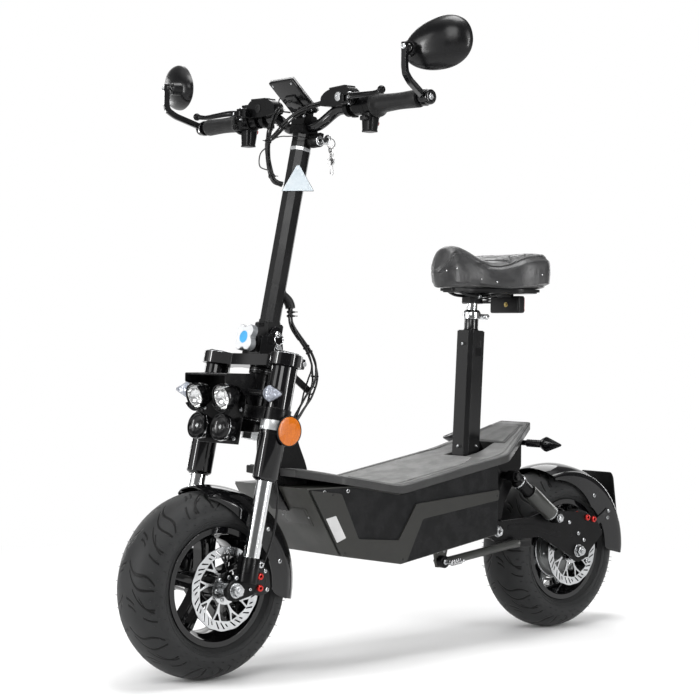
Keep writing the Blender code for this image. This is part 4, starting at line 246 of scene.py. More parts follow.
def makeMachinedSkin():
    # Fine turning or grinding lines and small smears on bare metal
    tree, given, out = newGroup("machinedSkin", [("Scale", 500.0)], ["Height", "Tone"])
    lines = noisy(tree, given.outputs["Scale"], 2.0, 0.7, stretch=(6.0, 0.35, 0.35))
    smear = noisy(tree, 45.0, 4.0, 0.6)
    tree.links.new(lines, out.inputs["Height"])
    tree.links.new(ranged(tree, smear, 0.3, 0.7), out.inputs["Tone"])
    return tree


def makeHide():
    # Leather grain: small cells with soft valleys, and long faint creases
    tree, given, out = newGroup("hide", [("Scale", 520.0)], ["Height", "Tone"])
    place = objectPlace(tree)
    bent = addNode(tree, "MixRGB",
        {0: 0.004, 1: place,
        2: addNode(tree, "TexNoise", {"Vector": place, "Scale": 90.0}).outputs["Color"]}).outputs[0]
    cells = addNode(tree, "TexVoronoi", {"Vector": bent, "Scale": given.outputs["Scale"]},
        feature="DISTANCE_TO_EDGE").outputs["Distance"]
    valley = ranged(tree, cells, 0.0, 0.22)
    crease = ranged(tree, noisy(tree, 26.0, 6.0, 0.55), 0.4, 0.6)
    tree.links.new(maths(tree, "ADD", maths(tree, "MULTIPLY", valley, 0.7),
        maths(tree, "MULTIPLY", crease, 0.35)), out.inputs["Height"])
    tree.links.new(crease, out.inputs["Tone"])
    return tree


def makeScuffs():
    # Short thin scratches in two directions
    tree, given, out = newGroup("scuffs", [("Amount", 0.3)], ["Mask"])
    one = ranged(tree, noisy(tree, 60.0, 2.0, 0.5, stretch=(1.0, 9.0, 1.3)), 0.66, 0.72)
    two = ranged(tree, noisy(tree, 70.0, 2.0, 0.5, stretch=(1.2, 1.0, 10.0)), 0.67, 0.73)
    tree.links.new(maths(tree, "MULTIPLY", maths(tree, "MAXIMUM", one, two), given.outputs["Amount"]),
        out.inputs["Mask"])
    return tree


groups = {"wear": makeEdgeWear(), "dust": makeDust(), "paint": makePaintSkin(), "moulded": makeMouldedGrain(),
    "cast": makeCastSkin(), "machined": makeMachinedSkin(), "hide": makeHide(), "scuffs": makeScuffs()}
print("surface groups built")


def mixed(tree, share, one, two):
    return addNode(tree, "MixRGB", {0: share, 1: one, 2: two}).outputs[0]


def makeFinish(name, colour, tone=None, metallic=0.0, rough=0.4, spread=0.06, skin="paint", scale=260.0,
        bump=0.05, depth=0.0004, wear=0.0, wearColour=(0.5, 0.5, 0.5), dust=0.1, scuffs=0.0, sheen=0.0,
        shine=0.5):
    # One painted, moulded or metal finish from its own values
    mat = bpy.data.materials.new(name)
    mat.use_nodes = True
    tree = mat.node_tree
    shader = tree.nodes["Principled BSDF"]
    surface = addNode(tree, "Group", node_tree=groups[skin])
    surface.inputs["Scale"].default_value = scale
    tone = tone or tuple(0.8 * c + 0.004 for c in colour)
    base = mixed(tree, surface.outputs["Tone"], (*colour, 1), (*tone, 1))
    roughness = ranged(tree, surface.outputs["Tone"], 0.0, 1.0, rough - spread, rough + spread)
    if scuffs:
        mask = addNode(tree, "Group", {"Amount": scuffs}, node_tree=groups["scuffs"]).outputs[0]
        base = mixed(tree, mask, base, (*[min(1.0, 1.6 * c + 0.03) for c in colour], 1))
        roughness = maths(tree, "ADD", roughness, maths(tree, "MULTIPLY", mask, 0.25))
    if wear:
        mask = addNode(tree, "Group", {"Amount": wear}, node_tree=groups["wear"]).outputs[0]
        base = mixed(tree, mask, base, (*wearColour, 1))
    if dust:
        mask = addNode(tree, "Group", {"Amount": dust}, node_tree=groups["dust"]).outputs[0]
        base = mixed(tree, mask, base, (0.3, 0.29, 0.27, 1))
        roughness = maths(tree, "ADD", roughness, maths(tree, "MULTIPLY", mask, 0.5))
    normal = addNode(tree, "Bump", {"Height": surface.outputs["Height"], "Strength": bump, "Distance": depth})
    tree.links.new(base, shader.inputs["Base Color"])
    tree.links.new(maths(tree, "MINIMUM", roughness, 1.0), shader.inputs["Roughness"])
    tree.links.new(normal.outputs[0], shader.inputs["Normal"])
    shader.inputs["Metallic"].default_value = metallic
    shader.inputs["Sheen Weight"].default_value = sheen
    shader.inputs["Specular IOR Level"].default_value = shine
    finishes[name] = mat
    return mat


finishes = {}
makeFinish("satinFrame", (0.047, 0.047, 0.042), tone=(0.038, 0.038, 0.034), rough=0.36, scale=700, bump=0.12,
    depth=0.0003, wear=0.08, dust=0.03, shine=0.42)
makeFinish("glossBlack", (0.003, 0.003, 0.0035), tone=(0.0022, 0.0022, 0.0027), rough=0.075, spread=0.02,
    scale=200, bump=0.02, dust=0.015, wear=0.04, shine=0.42)
makeFinish("satinBlack", (0.0026, 0.0026, 0.003), tone=(0.002, 0.002, 0.0023), rough=0.3, scale=500,
    bump=0.06, wear=0.06, dust=0.03, shine=0.14)
makeFinish("coverBlack", (0.0075, 0.0078, 0.0078), tone=(0.0055, 0.0058, 0.0058), rough=0.42, skin="moulded",
    scale=1500, bump=0.2, depth=0.0003, dust=0.03, shine=0.18)
# Painted top light: the deck's top layers, the board's own dark plastic painted lighter than its body
makeFinish("deckTopPaintedLight", (0.13, 0.131, 0.129), tone=(0.105, 0.106, 0.105), rough=0.55, skin="moulded",
    scale=900, bump=0.4, depth=0.0005, dust=0.12, scuffs=0.25, shine=0.4)
makeFinish("deckBorder", (0.03, 0.03, 0.03), tone=(0.023, 0.023, 0.023), rough=0.5, skin="moulded", scale=900,
    bump=0.3, depth=0.0004, dust=0.06, scuffs=0.15, shine=0.35)
# Painted sheen: a dark rubber mat painted pale grey for the sheen of the top light
makeFinish("deckMatPaintedSheen", (0.225, 0.226, 0.223), tone=(0.16, 0.161, 0.16), rough=0.85, skin="moulded", scale=520,
    bump=0.8, depth=0.0008, dust=0.15, scuffs=0.25, shine=0.3)
makeFinish("chrome", (0.8, 0.81, 0.82), metallic=1.0, rough=0.08, spread=0.03, skin="machined", scale=300,
    bump=0.01, dust=0.02)
makeFinish("steel", (0.52, 0.53, 0.54), metallic=1.0, rough=0.26, skin="machined", scale=700, bump=0.1,
    depth=0.0002, dust=0.05, wear=0.2, wearColour=(0.75, 0.75, 0.76))
makeFinish("discSteel", (0.56, 0.57, 0.58), metallic=1.0, rough=0.2, skin="machined", scale=900, bump=0.14,
    depth=0.0002, dust=0.02)
makeFinish("motorAlloy", (0.2, 0.205, 0.205), tone=(0.16, 0.165, 0.165), metallic=1.0, rough=0.36,
    skin="cast", scale=600, bump=0.18, depth=0.0003, dust=0.06)
makeFinish("gripRubber", (0.0075, 0.0075, 0.0078), tone=(0.0055, 0.0055, 0.0058), rough=0.52, skin="moulded",
    scale=1300, bump=0.25, dust=0.04, sheen=0.05, shine=0.22)
makeFinish("blackPlastic", (0.007, 0.007, 0.0075), tone=(0.005, 0.005, 0.0055), rough=0.36, skin="moulded",
    scale=1500, bump=0.14, dust=0.03, shine=0.22)
makeFinish("glossPlastic", (0.004, 0.004, 0.0045), tone=(0.003, 0.003, 0.0035), rough=0.15, spread=0.03,
    scale=300, bump=0.02, dust=0.02, shine=0.3)
makeFinish("mirrorShell", (0.0055, 0.0055, 0.006), tone=(0.0042, 0.0042, 0.0047), rough=0.26, scale=400,
    bump=0.05, dust=0.02, shine=0.26)
makeFinish("mirrorGlass", (0.8, 0.82, 0.84), metallic=1.0, rough=0.03, spread=0.01, scale=120, bump=0.003,
    dust=0.02)
makeFinish("knobWhite", (0.7, 0.71, 0.72), rough=0.42, skin="moulded", scale=1200, bump=0.08, dust=0.04)
makeFinish("redPlastic", (0.45, 0.025, 0.02), rough=0.35, skin="moulded", scale=1200, bump=0.08, dust=0.04)
makeFinish("redAlloy", (0.55, 0.03, 0.025), metallic=0.7, rough=0.26, skin="machined", scale=600, bump=0.06,
    dust=0.03)
makeFinish("hide", (0.013, 0.013, 0.0138), tone=(0.019, 0.019, 0.0198), rough=0.36, spread=0.07, skin="hide",
    scale=520, bump=0.35, depth=0.0004, dust=0.04, sheen=0.1, shine=0.55)
makeFinish("stitchThread", (0.06, 0.06, 0.06), rough=0.7, skin="moulded", scale=2200, bump=0.3, dust=0.03)
makeFinish("cableJacket", (0.008, 0.008, 0.0085), tone=(0.006, 0.006, 0.0065), rough=0.42, skin="moulded",
    scale=1400, bump=0.12, dust=0.04, shine=0.35)
makeFinish("greyJacket", (0.1, 0.1, 0.105), rough=0.42, skin="moulded", scale=1400, bump=0.12, dust=0.04,
    shine=0.35)
makeFinish("batteryWrap", (0.03, 0.08, 0.24), rough=0.35, scale=300, bump=0.15, dust=0.05)
makeFinish("springSteel", (0.62, 0.62, 0.63), metallic=1.0, rough=0.22, skin="machined", scale=600, bump=0.05)
makeFinish("caliperBlack", (0.009, 0.009, 0.0095), tone=(0.0065, 0.0065, 0.007), metallic=0.2, rough=0.34,
    skin="cast", scale=900, bump=0.18, wear=0.25, dust=0.03, shine=0.25)
makeFinish("silverPaint", (0.55, 0.56, 0.57), metallic=0.8, rough=0.3, scale=500, bump=0.05, dust=0.04)
makeFinish("paleFilm", (0.5, 0.5, 0.5), tone=(0.42, 0.42, 0.42), rough=0.42, scale=500, bump=0.05, dust=0.05,
    scuffs=0.2)
makeFinish("blueDisc", (0.06, 0.4, 0.78), rough=0.3, scale=300, bump=0.03, dust=0.03)
makeFinish("tyreRubber", (0.0155, 0.016, 0.0165), tone=(0.0215, 0.022, 0.0225), rough=0.55, skin="moulded",
    scale=1100, bump=0.18, dust=0.05, sheen=0.05, shine=0.16)
print("finishes built:", len(finishes))


# Shape helpers: each gives a closed bmesh shape, and add() places it in a piece
def add(bm, shape, place=world, finish=0, keep=False):
    bmesh.ops.remove_doubles(shape, verts=shape.verts, dist=1e-6)
    if not keep:
        bmesh.ops.recalc_face_normals(shape, faces=shape.faces)
    shape.transform(place)
    if place.determinant() < 0:
        bmesh.ops.reverse_faces(shape, faces=shape.faces)
    for face in shape.faces:
        face.material_index = finish
        face.smooth = True
    mesh = bpy.data.meshes.new("shape")
    shape.to_mesh(mesh)
    shape.free()
    bm.from_mesh(mesh)
    bpy.data.meshes.remove(mesh)


def rod(radius, start, end, sides=32, tip=None, along="Z"):
    shape = bmesh.new()
    bmesh.ops.create_cone(shape, cap_ends=True, segments=sides, radius1=radius, radius2=radius if tip is None
        else tip, depth=abs(end - start))
    bmesh.ops.translate(shape, vec=(0, 0, (start + end) / 2), verts=shape.verts)
    shape.transform(axisTurn[along])
    return shape


def spin(profile, steps=64, closed=False, along="Z"):
    # A profile of (radius, height) points spun about its axis
    shape = bmesh.new()
    points = [shape.verts.new((r, 0, h)) for r, h in profile]
    pairs = list(zip(points, points[1:])) + ([(points[-1], points[0])] if closed else [])
    edges = [shape.edges.new(pair) for pair in pairs]
    bmesh.ops.spin(shape, geom=points + edges, cent=(0, 0, 0), axis=(0, 0, 1), dvec=(0, 0, 0),
        angle=2 * math.pi, steps=steps, use_merge=True, use_duplicate=False)
    bmesh.ops.remove_doubles(shape, verts=shape.verts, dist=1e-6)
    shape.transform(axisTurn[along])
    return shape


def plate(outline, thick, middle=0.0, plane="side", holes=()):
    # A flat outline with holes, given thickness: side is (y, z), front is (x, z) and top is (x, y)
    shape = bmesh.new()
    edges = []
    for loop in (outline, *holes):
        points = [shape.verts.new((a, b, -thick / 2)) for a, b in loop]
        edges += [shape.edges.new(pair) for pair in zip(points, points[1:] + points[:1])]
    if holes:
        bmesh.ops.triangle_fill(shape, edges=edges, use_beauty=True, use_dissolve=False)
        bmesh.ops.dissolve_limit(shape, angle_limit=0.01, verts=shape.verts, edges=shape.edges)
    else:
        bmesh.ops.contextual_create(shape, geom=edges)
    made = bmesh.ops.extrude_face_region(shape, geom=shape.faces[:])
    bmesh.ops.translate(shape, vec=(0, 0, thick),
        verts=[v for v in made["geom"] if isinstance(v, bmesh.types.BMVert)])
    bmesh.ops.translate(shape, vec=(0, 0, middle if plane != "front" else -middle), verts=shape.verts)
    shape.transform(planes[plane])
    return shape


def box(size, middle=(0, 0, 0), edge=0.0, segments=3):
    shape = bmesh.new()
    bmesh.ops.create_cube(shape, size=1.0)
    bmesh.ops.scale(shape, vec=size, verts=shape.verts)
    if edge:
        bmesh.ops.bevel(shape, geom=shape.edges[:], offset=edge, segments=segments, affect="EDGES",
            profile=0.5, material=-1)
    bmesh.ops.translate(shape, vec=middle, verts=shape.verts)
    return shape


def ball(radius, middle=(0, 0, 0), scale=(1, 1, 1), rings=16, sides=24):
    shape = bmesh.new()
    bmesh.ops.create_uvsphere(shape, u_segments=sides, v_segments=rings, radius=radius)
    bmesh.ops.scale(shape, vec=scale, verts=shape.verts)
    bmesh.ops.translate(shape, vec=middle, verts=shape.verts)
    return shape


def grid(across, along, where, wrapAcross=False, capEnds=False):
    # A grid whose points are moved to where(u, v), both from 0 to 1
    shape = bmesh.new()
    bmesh.ops.create_grid(shape, x_segments=across, y_segments=along, size=0.5)
    for vert in shape.verts:
        vert.co = where(vert.co.x + 0.5, vert.co.y + 0.5)
    if wrapAcross:
        bmesh.ops.remove_doubles(shape, verts=shape.verts, dist=1e-7)
    if capEnds:
        bmesh.ops.holes_fill(shape, edges=[e for e in shape.edges if e.is_boundary], sides=0)
    return shape


def routePoints(knots, pieces=6):
    # Points on a smooth curve through the knots
    knots = [Vector(k) for k in knots]
    ends = [knots[0]] + knots + [knots[-1]]
    route = []
    for p, q, r, s in zip(ends, ends[1:], ends[2:], ends[3:]):
        for step in range(pieces):
            t = step / pieces
            route.append(0.5 * (2 * q + (r - p) * t + (2 * p - 5 * q + 4 * r - s) * t**2
                + (3 * q - p - 3 * r + s) * t**3))
    route.append(knots[-1].copy())
    return route


def joinRows(shape, rows):
    # Four-cornered faces between closed rows of points
    count = len(rows[0])
    for one, two in zip(rows, rows[1:]):
        for j in range(count):
            k = (j + 1) % count
            shape.faces.new((one[j], one[k], two[k], two[j]))


def wire(points, radius, sides=12, closed=False):
    # A round gauge along points; radius may be a function of the share of the way
    points = [Vector(p) for p in points]
    count = len(points)
    shape = bmesh.new()
    size = radius if callable(radius) else (lambda share: radius)
    loops, turnFrame = [], None
    for i, point in enumerate(points):
        ahead = points[(i + 1) % count] if (closed or i + 1 < count) else point
        behind = points[i - 1] if (closed or i > 0) else point
        way = (ahead - behind).normalized()
        if turnFrame is None:
            side = way.orthogonal().normalized()
        else:
            side = (turnFrame - way * turnFrame.dot(way)).normalized()
        turnFrame = side
        up = way.cross(side)
        place = Matrix((side, up, way)).transposed().to_4x4()
        place.translation = point
        ring = bmesh.ops.create_circle(shape, cap_ends=False, segments=sides,
            radius=size(i / max(count - 1, 1)), matrix=place)["verts"]
        loops.append(ring)
    joinRows(shape, loops + loops[:1] if closed else loops)
    if not closed:
        shape.faces.new(loops[0][::-1])
        shape.faces.new(loops[-1])
    return shape


def screw(bm, place, radius, high, finish=0):
    # A round head with a hexagon socket, standing on the face at the place's origin along its z
    profile = [(0, 0), (radius, 0), (radius, high * 0.55), (radius * 0.86, high * 0.9), (radius * 0.7, high),
        (radius * 0.5, high), (radius * 0.5, high * 0.25), (0, high * 0.25)]
    add(bm, spin(profile, 24), place, finish)


def pointing(point, way):
    # A place whose z looks along the way
    return at(*point) @ Vector(way).to_track_quat("Z", "Y").to_matrix().to_4x4()


def hoop(x, y, z, radius, steps):
    # Points round an axis along x
    turns = [2 * math.pi * k / steps for k in range(steps)]
    return [Vector((x, y + radius * math.cos(a), z + radius * math.sin(a))) for a in turns]


def rect(low, high, bottom, top):
    return [(low, bottom), (high, bottom), (high, top), (low, top)]


def arc(cx, cy, radius, start, end, steps):
    turn = [radians(start + (end - start) * i / steps) for i in range(steps + 1)]
    return [(cx + radius * math.cos(a), cy + radius * math.sin(a)) for a in turn]


def rounded(outline, radius, steps=4):
    # The outline with its corners rounded
    points = [Vector(p) for p in outline]
    made = []
    for i, here in enumerate(points):
        before, after = points[i - 1], points[(i + 1) % len(points)]
        one, two = before - here, after - here
        reach = min(radius, 0.45 * one.length, 0.45 * two.length)
        start, end = here + one.normalized() * reach, here + two.normalized() * reach
        for step in range(steps + 1):
            t = step / steps
            made.append(tuple((1 - t) ** 2 * start + 2 * t * (1 - t) * here + t**2 * end))
    return made


def strip(route, half):
    # The outline of a flat bar of one width along a bent line
    sides = ([], [])
    for i, here in enumerate(route):
        here = Vector(here)
        first = here - Vector(route[max(i - 1, 0)])
        second = Vector(route[min(i + 1, len(route) - 1)]) - here
        first = first.normalized() if first.length else second.normalized()
        second = second.normalized() if second.length else first
        across = Vector((-first.y, first.x)) + Vector((-second.y, second.x))
        across /= across.length_squared / 2
        sides[0].append(tuple(here + across * half))
        sides[1].append(tuple(here - across * half))
    return sides[0] + sides[1][::-1]


def octagon(size, chamfer, middle=(0, 0)):
    half = size / 2
    low = half - chamfer
    corners = [(half, low), (low, half), (-low, half), (-half, low), (-half, -low), (-low, -half),
        (low, -half), (half, -low)]
    return [(x + middle[0], y + middle[1]) for x, y in corners]


def inset(outline, distance):
    # The outline moved inwards; it runs anticlockwise
    moved = []
    count = len(outline)
    for i in range(count):
        before, here, after = (Vector(outline[(i + k) % count]) for k in (-1, 0, 1))
        first = (here - before).normalized()
        second = (after - here).normalized()
        across = Vector((-first.y, first.x)) + Vector((-second.y, second.x))
        across /= across.length_squared / 2
        moved.append(tuple(here + across * distance))
    return moved


def bothHalves(half):
    # The right-hand half of an outline, or a section, with its mirror image
    return half + [(-x, y) for x, y in reversed(half)]


def piece(name, bm, body, finishNames, replaces=(), bevel=0.0006, segments=2, limit=32):
    mesh = bpy.data.meshes.new(name)
    bm.to_mesh(mesh)
    bm.free()
    for key in finishNames:
        mesh.materials.append(finishes[key])
    mesh.shade_smooth()
    mesh.set_sharp_from_angle(angle=radians(38))
    obj = bpy.data.objects.new(name, mesh)
    bpy.context.scene.collection.objects.link(obj)
    if bevel:
        edges = obj.modifiers.new("edges", "BEVEL")
        edges.width = bevel
        edges.segments = segments
        edges.limit_method = "ANGLE"
        edges.angle_limit = radians(limit)
        edges.profile = 0.5
        edges.material = -1
        edges.harden_normals = True
    if body:
        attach(obj, body)
    if replaces:
        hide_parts(*replaces)
    return obj


nodeBody = {}
for bodyName, bodyFacts in frame["record"]["behaviour"]["bodies"].items():
    for nodeName in (bodyFacts["nodes"] if isinstance(bodyFacts, dict) else bodyFacts):
        nodeBody[nodeName] = bodyName


def dressed(node, finishName, bevel, segments=2, more=()):
    # A merged, bevelled copy of a CAD node that stands for it
    bm = bmesh.new()
    bm.from_mesh(frame["nodes"][node].data)
    bmesh.ops.remove_doubles(bm, verts=bm.verts, dist=1e-5)
    bmesh.ops.dissolve_limit(bm, angle_limit=radians(1.0), verts=bm.verts, edges=bm.edges)
    for face in bm.faces:
        face.material_index = 0
    obj = piece(node + "_shell", bm, nodeBody[node], [finishName, *more], (node,), bevel, segments, 28)
    if "custom_normal" in obj.data.attributes:
        obj.data.attributes.remove(obj.data.attributes["custom_normal"])
    return obj


# Tyres: a rounded carcass, its tread cut in the material from the mesh's own map with painted shade in the
# grooves, and moulding hairs
tyre = {"repeats": 9, "steps": 216, "hairs": 120, "hairLength": 0.0085, "grooveDepth": 0.003,
    "grooveWidth": 1.7, "section": [(0.1052, 0.0366), (0.1052, 0.045), (0.113, 0.046), (0.1155, 0.047),
    (0.12, 0.0543), (0.1262, 0.0596), (0.133, 0.0619), (0.1395, 0.062), (0.146, 0.0604), (0.153, 0.0568),
    (0.16, 0.0516), (0.166, 0.0452), (0.1706, 0.0386), (0.1741, 0.0318), (0.1768, 0.024), (0.1786, 0.016),
    (0.1796, 0.008), (0.1799, 0.0)]}


def makeTreadCut():
    # One groove per repeat: a curve across the tread, with a start, an end and a width
    tree, given, out = newGroup("treadCut", [("Around", 0.0), ("Across", 0.0), ("Shift", 0.0), ("Lean", 0.0),
        ("Bow", 0.0), ("Arch", 0.0), ("From", 0.1), ("To", 0.5), ("Width", 0.02)], ["Mask"])
    g = given.outputs
    span = maths(tree, "SUBTRACT", g["To"], g["From"])
    share = maths(tree, "DIVIDE", maths(tree, "SUBTRACT", g["Across"], g["From"]), span)
    swing = maths(tree, "MULTIPLY", g["Bow"],
        maths(tree, "SINE", maths(tree, "MULTIPLY", share, 2 * math.pi)))
    rise = maths(tree, "MULTIPLY", g["Arch"], maths(tree, "SINE", maths(tree, "MULTIPLY", share, math.pi)))
    swing = maths(tree, "ADD", swing, rise)
    line = maths(tree, "ADD", maths(tree, "ADD", g["Shift"], maths(tree, "MULTIPLY", share, g["Lean"])),
        swing)
    away = maths(tree, "SUBTRACT", g["Around"], line)
    away = maths(tree, "ABSOLUTE",
        maths(tree, "SUBTRACT", maths(tree, "FRACT", maths(tree, "ADD", away, 0.5)), 0.5))
    near = ranged(tree, away, maths(tree, "MULTIPLY", g["Width"], 0.55), g["Width"], 1.0, 0.0)
    inside = maths(tree, "MULTIPLY", ranged(tree, share, 0.0, 0.05), ranged(tree, share, 0.95, 1.0, 1.0, 0.0))
    tree.links.new(maths(tree, "MULTIPLY", near, inside), out.inputs["Mask"])
    return tree


groups["cut"] = makeTreadCut()


def makeTread():
    # Rubber with the tread's grooves: long S-lines, nested C-lines and pairs of dashes on each side, dented
    # by a bump and painted near black as painted shade
    mat = finishes["tyreRubber"].copy()
    mat.name = "tyreTread"
    tree = mat.node_tree
    shader = tree.nodes["Principled BSDF"]
    place = addNode(tree, "SeparateXYZ", {0: addNode(tree, "UVMap", uv_map="tread").outputs[0]}).outputs
    masks = []
    # (shift, lean, bow, arch, from, to, width) in repeats and in shares of the half width
    # The sides are staggered
    for side, stagger in ((1.0, 0.0), (-1.0, 0.5)):
        across = maths(tree, "MULTIPLY", place["Y"], side)
        for shift, lean, bow, arch, start, end, width in ((0.0, 0.42, 0.07, 0.0, 0.02, 0.98, 0.017),
                (0.14, 0.3, 0.03, 0.14, 0.1, 0.98, 0.015), (0.42, 0.34, 0.0, 0.11, 0.28, 0.96, 0.014),
                (0.53, 0.28, 0.0, 0.06, 0.48, 0.88, 0.013), (0.56, 0.1, 0.0, -0.02, 0.08, 0.36, 0.015),
                (0.67, 0.09, 0.0, -0.02, 0.14, 0.38, 0.014), (0.86, 0.12, 0.0, 0.02, 0.55, 0.95, 0.014)):
            cut = addNode(tree, "Group", {"Around": place["X"], "Across": across, "Shift": shift + stagger,
                "Lean": lean, "Bow": bow, "Arch": arch, "From": start, "To": end,
                "Width": width * tyre["grooveWidth"]}, node_tree=groups["cut"])
            masks.append(cut.outputs[0])
    mask = masks[0]
    for other in masks[1:]:
        mask = maths(tree, "MAXIMUM", mask, other)
    base = shader.inputs["Base Color"].links[0].from_socket
    # Painted shade: the groove mask turns the rubber near black inside the grooves
    tree.links.new(mixed(tree, mask, base, (0.0015, 0.0015, 0.0015, 1)), shader.inputs["Base Color"])
    grain = shader.inputs["Normal"].links[0].from_socket
    deep = addNode(tree, "Bump", {"Height": mask, "Strength": 0.9, "Distance": tyre["grooveDepth"],
        "Normal": grain}, invert=True)
    tree.links.new(deep.outputs[0], shader.inputs["Normal"])
    finishes["tyreTread"] = mat


makeTread()


def makeTyre(name, place, body, node, seed):
    section = tyre["section"]
    profile = section + [(r, -h) for r, h in reversed(section[:-1])]
    # The inside of the carcass closes the profile
    profile += [(0.139, -0.053), (0.163, -0.03), (0.171, 0.0), (0.163, 0.03), (0.139, 0.053)]
    shape = spin(profile, tyre["steps"], closed=True, along="X")
    bmesh.ops.remove_doubles(shape, verts=shape.verts, dist=1e-6)
    bmesh.ops.recalc_face_normals(shape, faces=shape.faces)
    # The map goes round in repeats and across in shares of the tread's half width
    layer = shape.loops.layers.uv.new("tread")
    lengths = [0.0]
    crown = section[::-1]
    for one, two in zip(crown, crown[1:]):
        lengths.append(lengths[-1] + math.dist(one, two))
    shoulder = lengths[9]
    for face in shape.faces:
        middle = face.calc_center_median()
        base = math.atan2(middle.z, middle.y)
        tread = face.normal.dot(
            Vector((0, middle.y, middle.z)).normalized()) > -0.2 and middle.yz.length > 0.12
        face.material_index = 1 if tread and abs(middle.x) < 0.0575 and middle.yz.length > 0.15 else 0
        for loop in face.loops:
            co = loop.vert.co
            turn = math.atan2(co.z, co.y)
            turn += 2 * math.pi * round((base - turn) / (2 * math.pi))
            reach = 0.0
            for i, (r, h) in enumerate(crown):
                if abs(math.hypot(co.y, co.z) - r) < 1e-4 and abs(abs(co.x) - h) < 1e-4:
                    reach = lengths[i]
            loop[layer].uv = (turn / (2 * math.pi) * tyre["repeats"], math.copysign(reach / shoulder, co.x))
    shape.transform(place)
    for face in shape.faces:
        face.smooth = True
    bm = shape
    # Raised rings on the sidewall, and short hairs left by the mould
    for side in (left, right):
        for ringRadius, x in ((0.1225, 0.0572), (0.13, 0.0611)):
            add(bm,
                spin([(ringRadius + 0.0008 * math.cos(a), side * x + 0.0008 * math.sin(a))
                for a in (radians(60 * k) for k in range(6))], 96, closed=True, along="X"), place)
        for k in range(tyre["hairs"]):
            spread = (math.sin(12.9898 * (k + seed) + 4.1 * side) * 43758.5453) % 1.0
            turn = 2 * math.pi * (k + 0.5 * spread) / tyre["hairs"]
            r, x = ((0.1395, 0.0616), (0.16, 0.0514), (0.15, 0.0584))[k % 3]
            out = Vector((side * 0.95, math.cos(turn) * 0.12, math.sin(turn) * 0.12)).normalized()
            root = Vector((side * (x - 0.0006), r * math.cos(turn), r * math.sin(turn)))
            reach = tyre["hairLength"] * (0.55 + 0.45 * spread)
            hair = rod(0.0007, 0, reach, 5, tip=0.0004)
            turnTo = out.to_track_quat("Z", "Y").to_matrix().to_4x4()
            add(bm, hair, place @ at(*root) @ turnTo)
    return piece(name, bm, body, ["tyreRubber", "tyreTread"], (node,), bevel=0)


makeTyre("tyreFront", frontHub, "front_wheel", "front_tyre", 1)
makeTyre("tyreRear", rearHub, "rear_wheel", "rear_tyre", 5)
print("tyres made")


# Rims: barrel with rolled lips, five double ribbed spokes in front, and the motor's web behind
def barrelShape():
    lip = 0.1143
    outer = [(lip - 0.0006, 0.0503), (lip, 0.0497), (lip, 0.047), (lip - 0.001, 0.0463), (0.1056, 0.0462),
        (0.1048, 0.0456), (0.104, 0.04), (0.096, 0.027), (0.0936, 0.0223), (0.0933, 0.0)]
    inner = [(0.0893, 0.0), (0.0895, 0.0203), (0.0915, 0.024), (0.0985, 0.0385), (0.1015, 0.045),
        (0.1023, 0.049), (0.103, 0.0501)]
    profile = outer + [(r, -h) for r, h in reversed(outer[:-1])] + [(r, -h) for r,
        h in reversed(inner)] + inner[1:]
    return spin(profile, 120, closed=True, along="X")


def valve(bm, place, finish):
    add(bm, rod(0.0028, 0.0, 0.026, 16, tip=0.0022), place, finish)
    add(bm, rod(0.0034, 0.019, 0.028, 16), place, finish)


def makeFrontRim():
    bm = bmesh.new()
    add(bm, barrelShape(), frontHub)
    for count in range(5):
        for shift in (-0.0115, 0.0115):
            turned = frontHub @ turnX(90 + 72 * count)
            side = 1 if shift > 0 else -1
            # A spoke that waists in its middle, with a raised rib along its outer face
            outline = [(0.022, shift - side * 0.006), (0.022, shift + side * 0.0065),
                (0.045, shift + side * 0.0046), (0.07, shift + side * 0.005), (0.0925, shift + side * 0.0085),
                (0.0925, shift - side * 0.007), (0.07, shift - side * 0.005), (0.045, shift - side * 0.005)]
            add(bm, plate(rounded(outline, 0.004), 0.026, 0.004), turned)
            rib = [(0.026, shift - 0.0022), (0.026, shift + 0.0022), (0.088, shift + 0.0026),
                (0.088, shift - 0.0026)]
            add(bm, plate(rib, 0.0025, 0.01825), turned)
            add(bm, plate(rib, 0.0025, -0.01025), turned)
        # The web that joins the pair near the rim
        turned = frontHub @ turnX(90 + 72 * count)
        web = [(0.08, -0.014), (0.0925, -0.02), (0.0925, 0.02), (0.08, 0.014)]
        add(bm, plate(rounded(web, 0.004), 0.016, 0.002), turned)
    add(bm, spin([(0.0068, -0.026), (0.027, -0.026), (0.03, -0.023), (0.03, 0.026), (0.0285, 0.03),
        (0.026, 0.0305), (0.026, 0.069), (0.0068, 0.069)], 64, closed=True, along="X"), frontHub)
    add(bm, spin([(0.0068, -0.078), (0.0175, -0.078), (0.019, -0.0765), (0.019, -0.024), (0.0068, -0.024)],
        48, closed=True, along="X"), frontHub)
    for k in range(6):
        spot = frontHub @ turnX(60 * k + 12) @ at(-0.0262, 0.0238, 0) @ outward(right)
        screw(bm, spot, 0.004, 0.003, 1)
    valve(bm, frontHub @ turnX(52) @ at(0.012, 0, -0.0925) @ turnY(28), 2)
    piece("rimFront", bm, "front_wheel", ["glossBlack", "steel", "steel"], ("front_rim",),
        bevel=0.0009, segments=3)


def makeRearRim():
    bm = bmesh.new()
    add(bm, barrelShape(), rearHub)
    windows = []
    for count in range(9):
        mid = 20 + 40 * count
        windows.append(rounded(arc(0, 0, 0.0865, mid - 10, mid + 10, 4) + arc(0, 0, 0.076, mid + 10, mid - 10,
            4), 0.002, 2))
    ring = arc(0, 0, 0.092, 0, 357, 119)
    bore = arc(0, 0, 0.07, 0, 357, 119)
    add(bm, plate(ring, 0.008, 0.0095, holes=[bore, *windows]), rearHub)
    valve(bm, rearHub @ turnX(20) @ at(0.012, 0, -0.0925) @ turnY(28), 1)
    piece("rimRear", bm, "rear_wheel", ["glossBlack", "steel"], ("rear_rim",), bevel=0.0006)


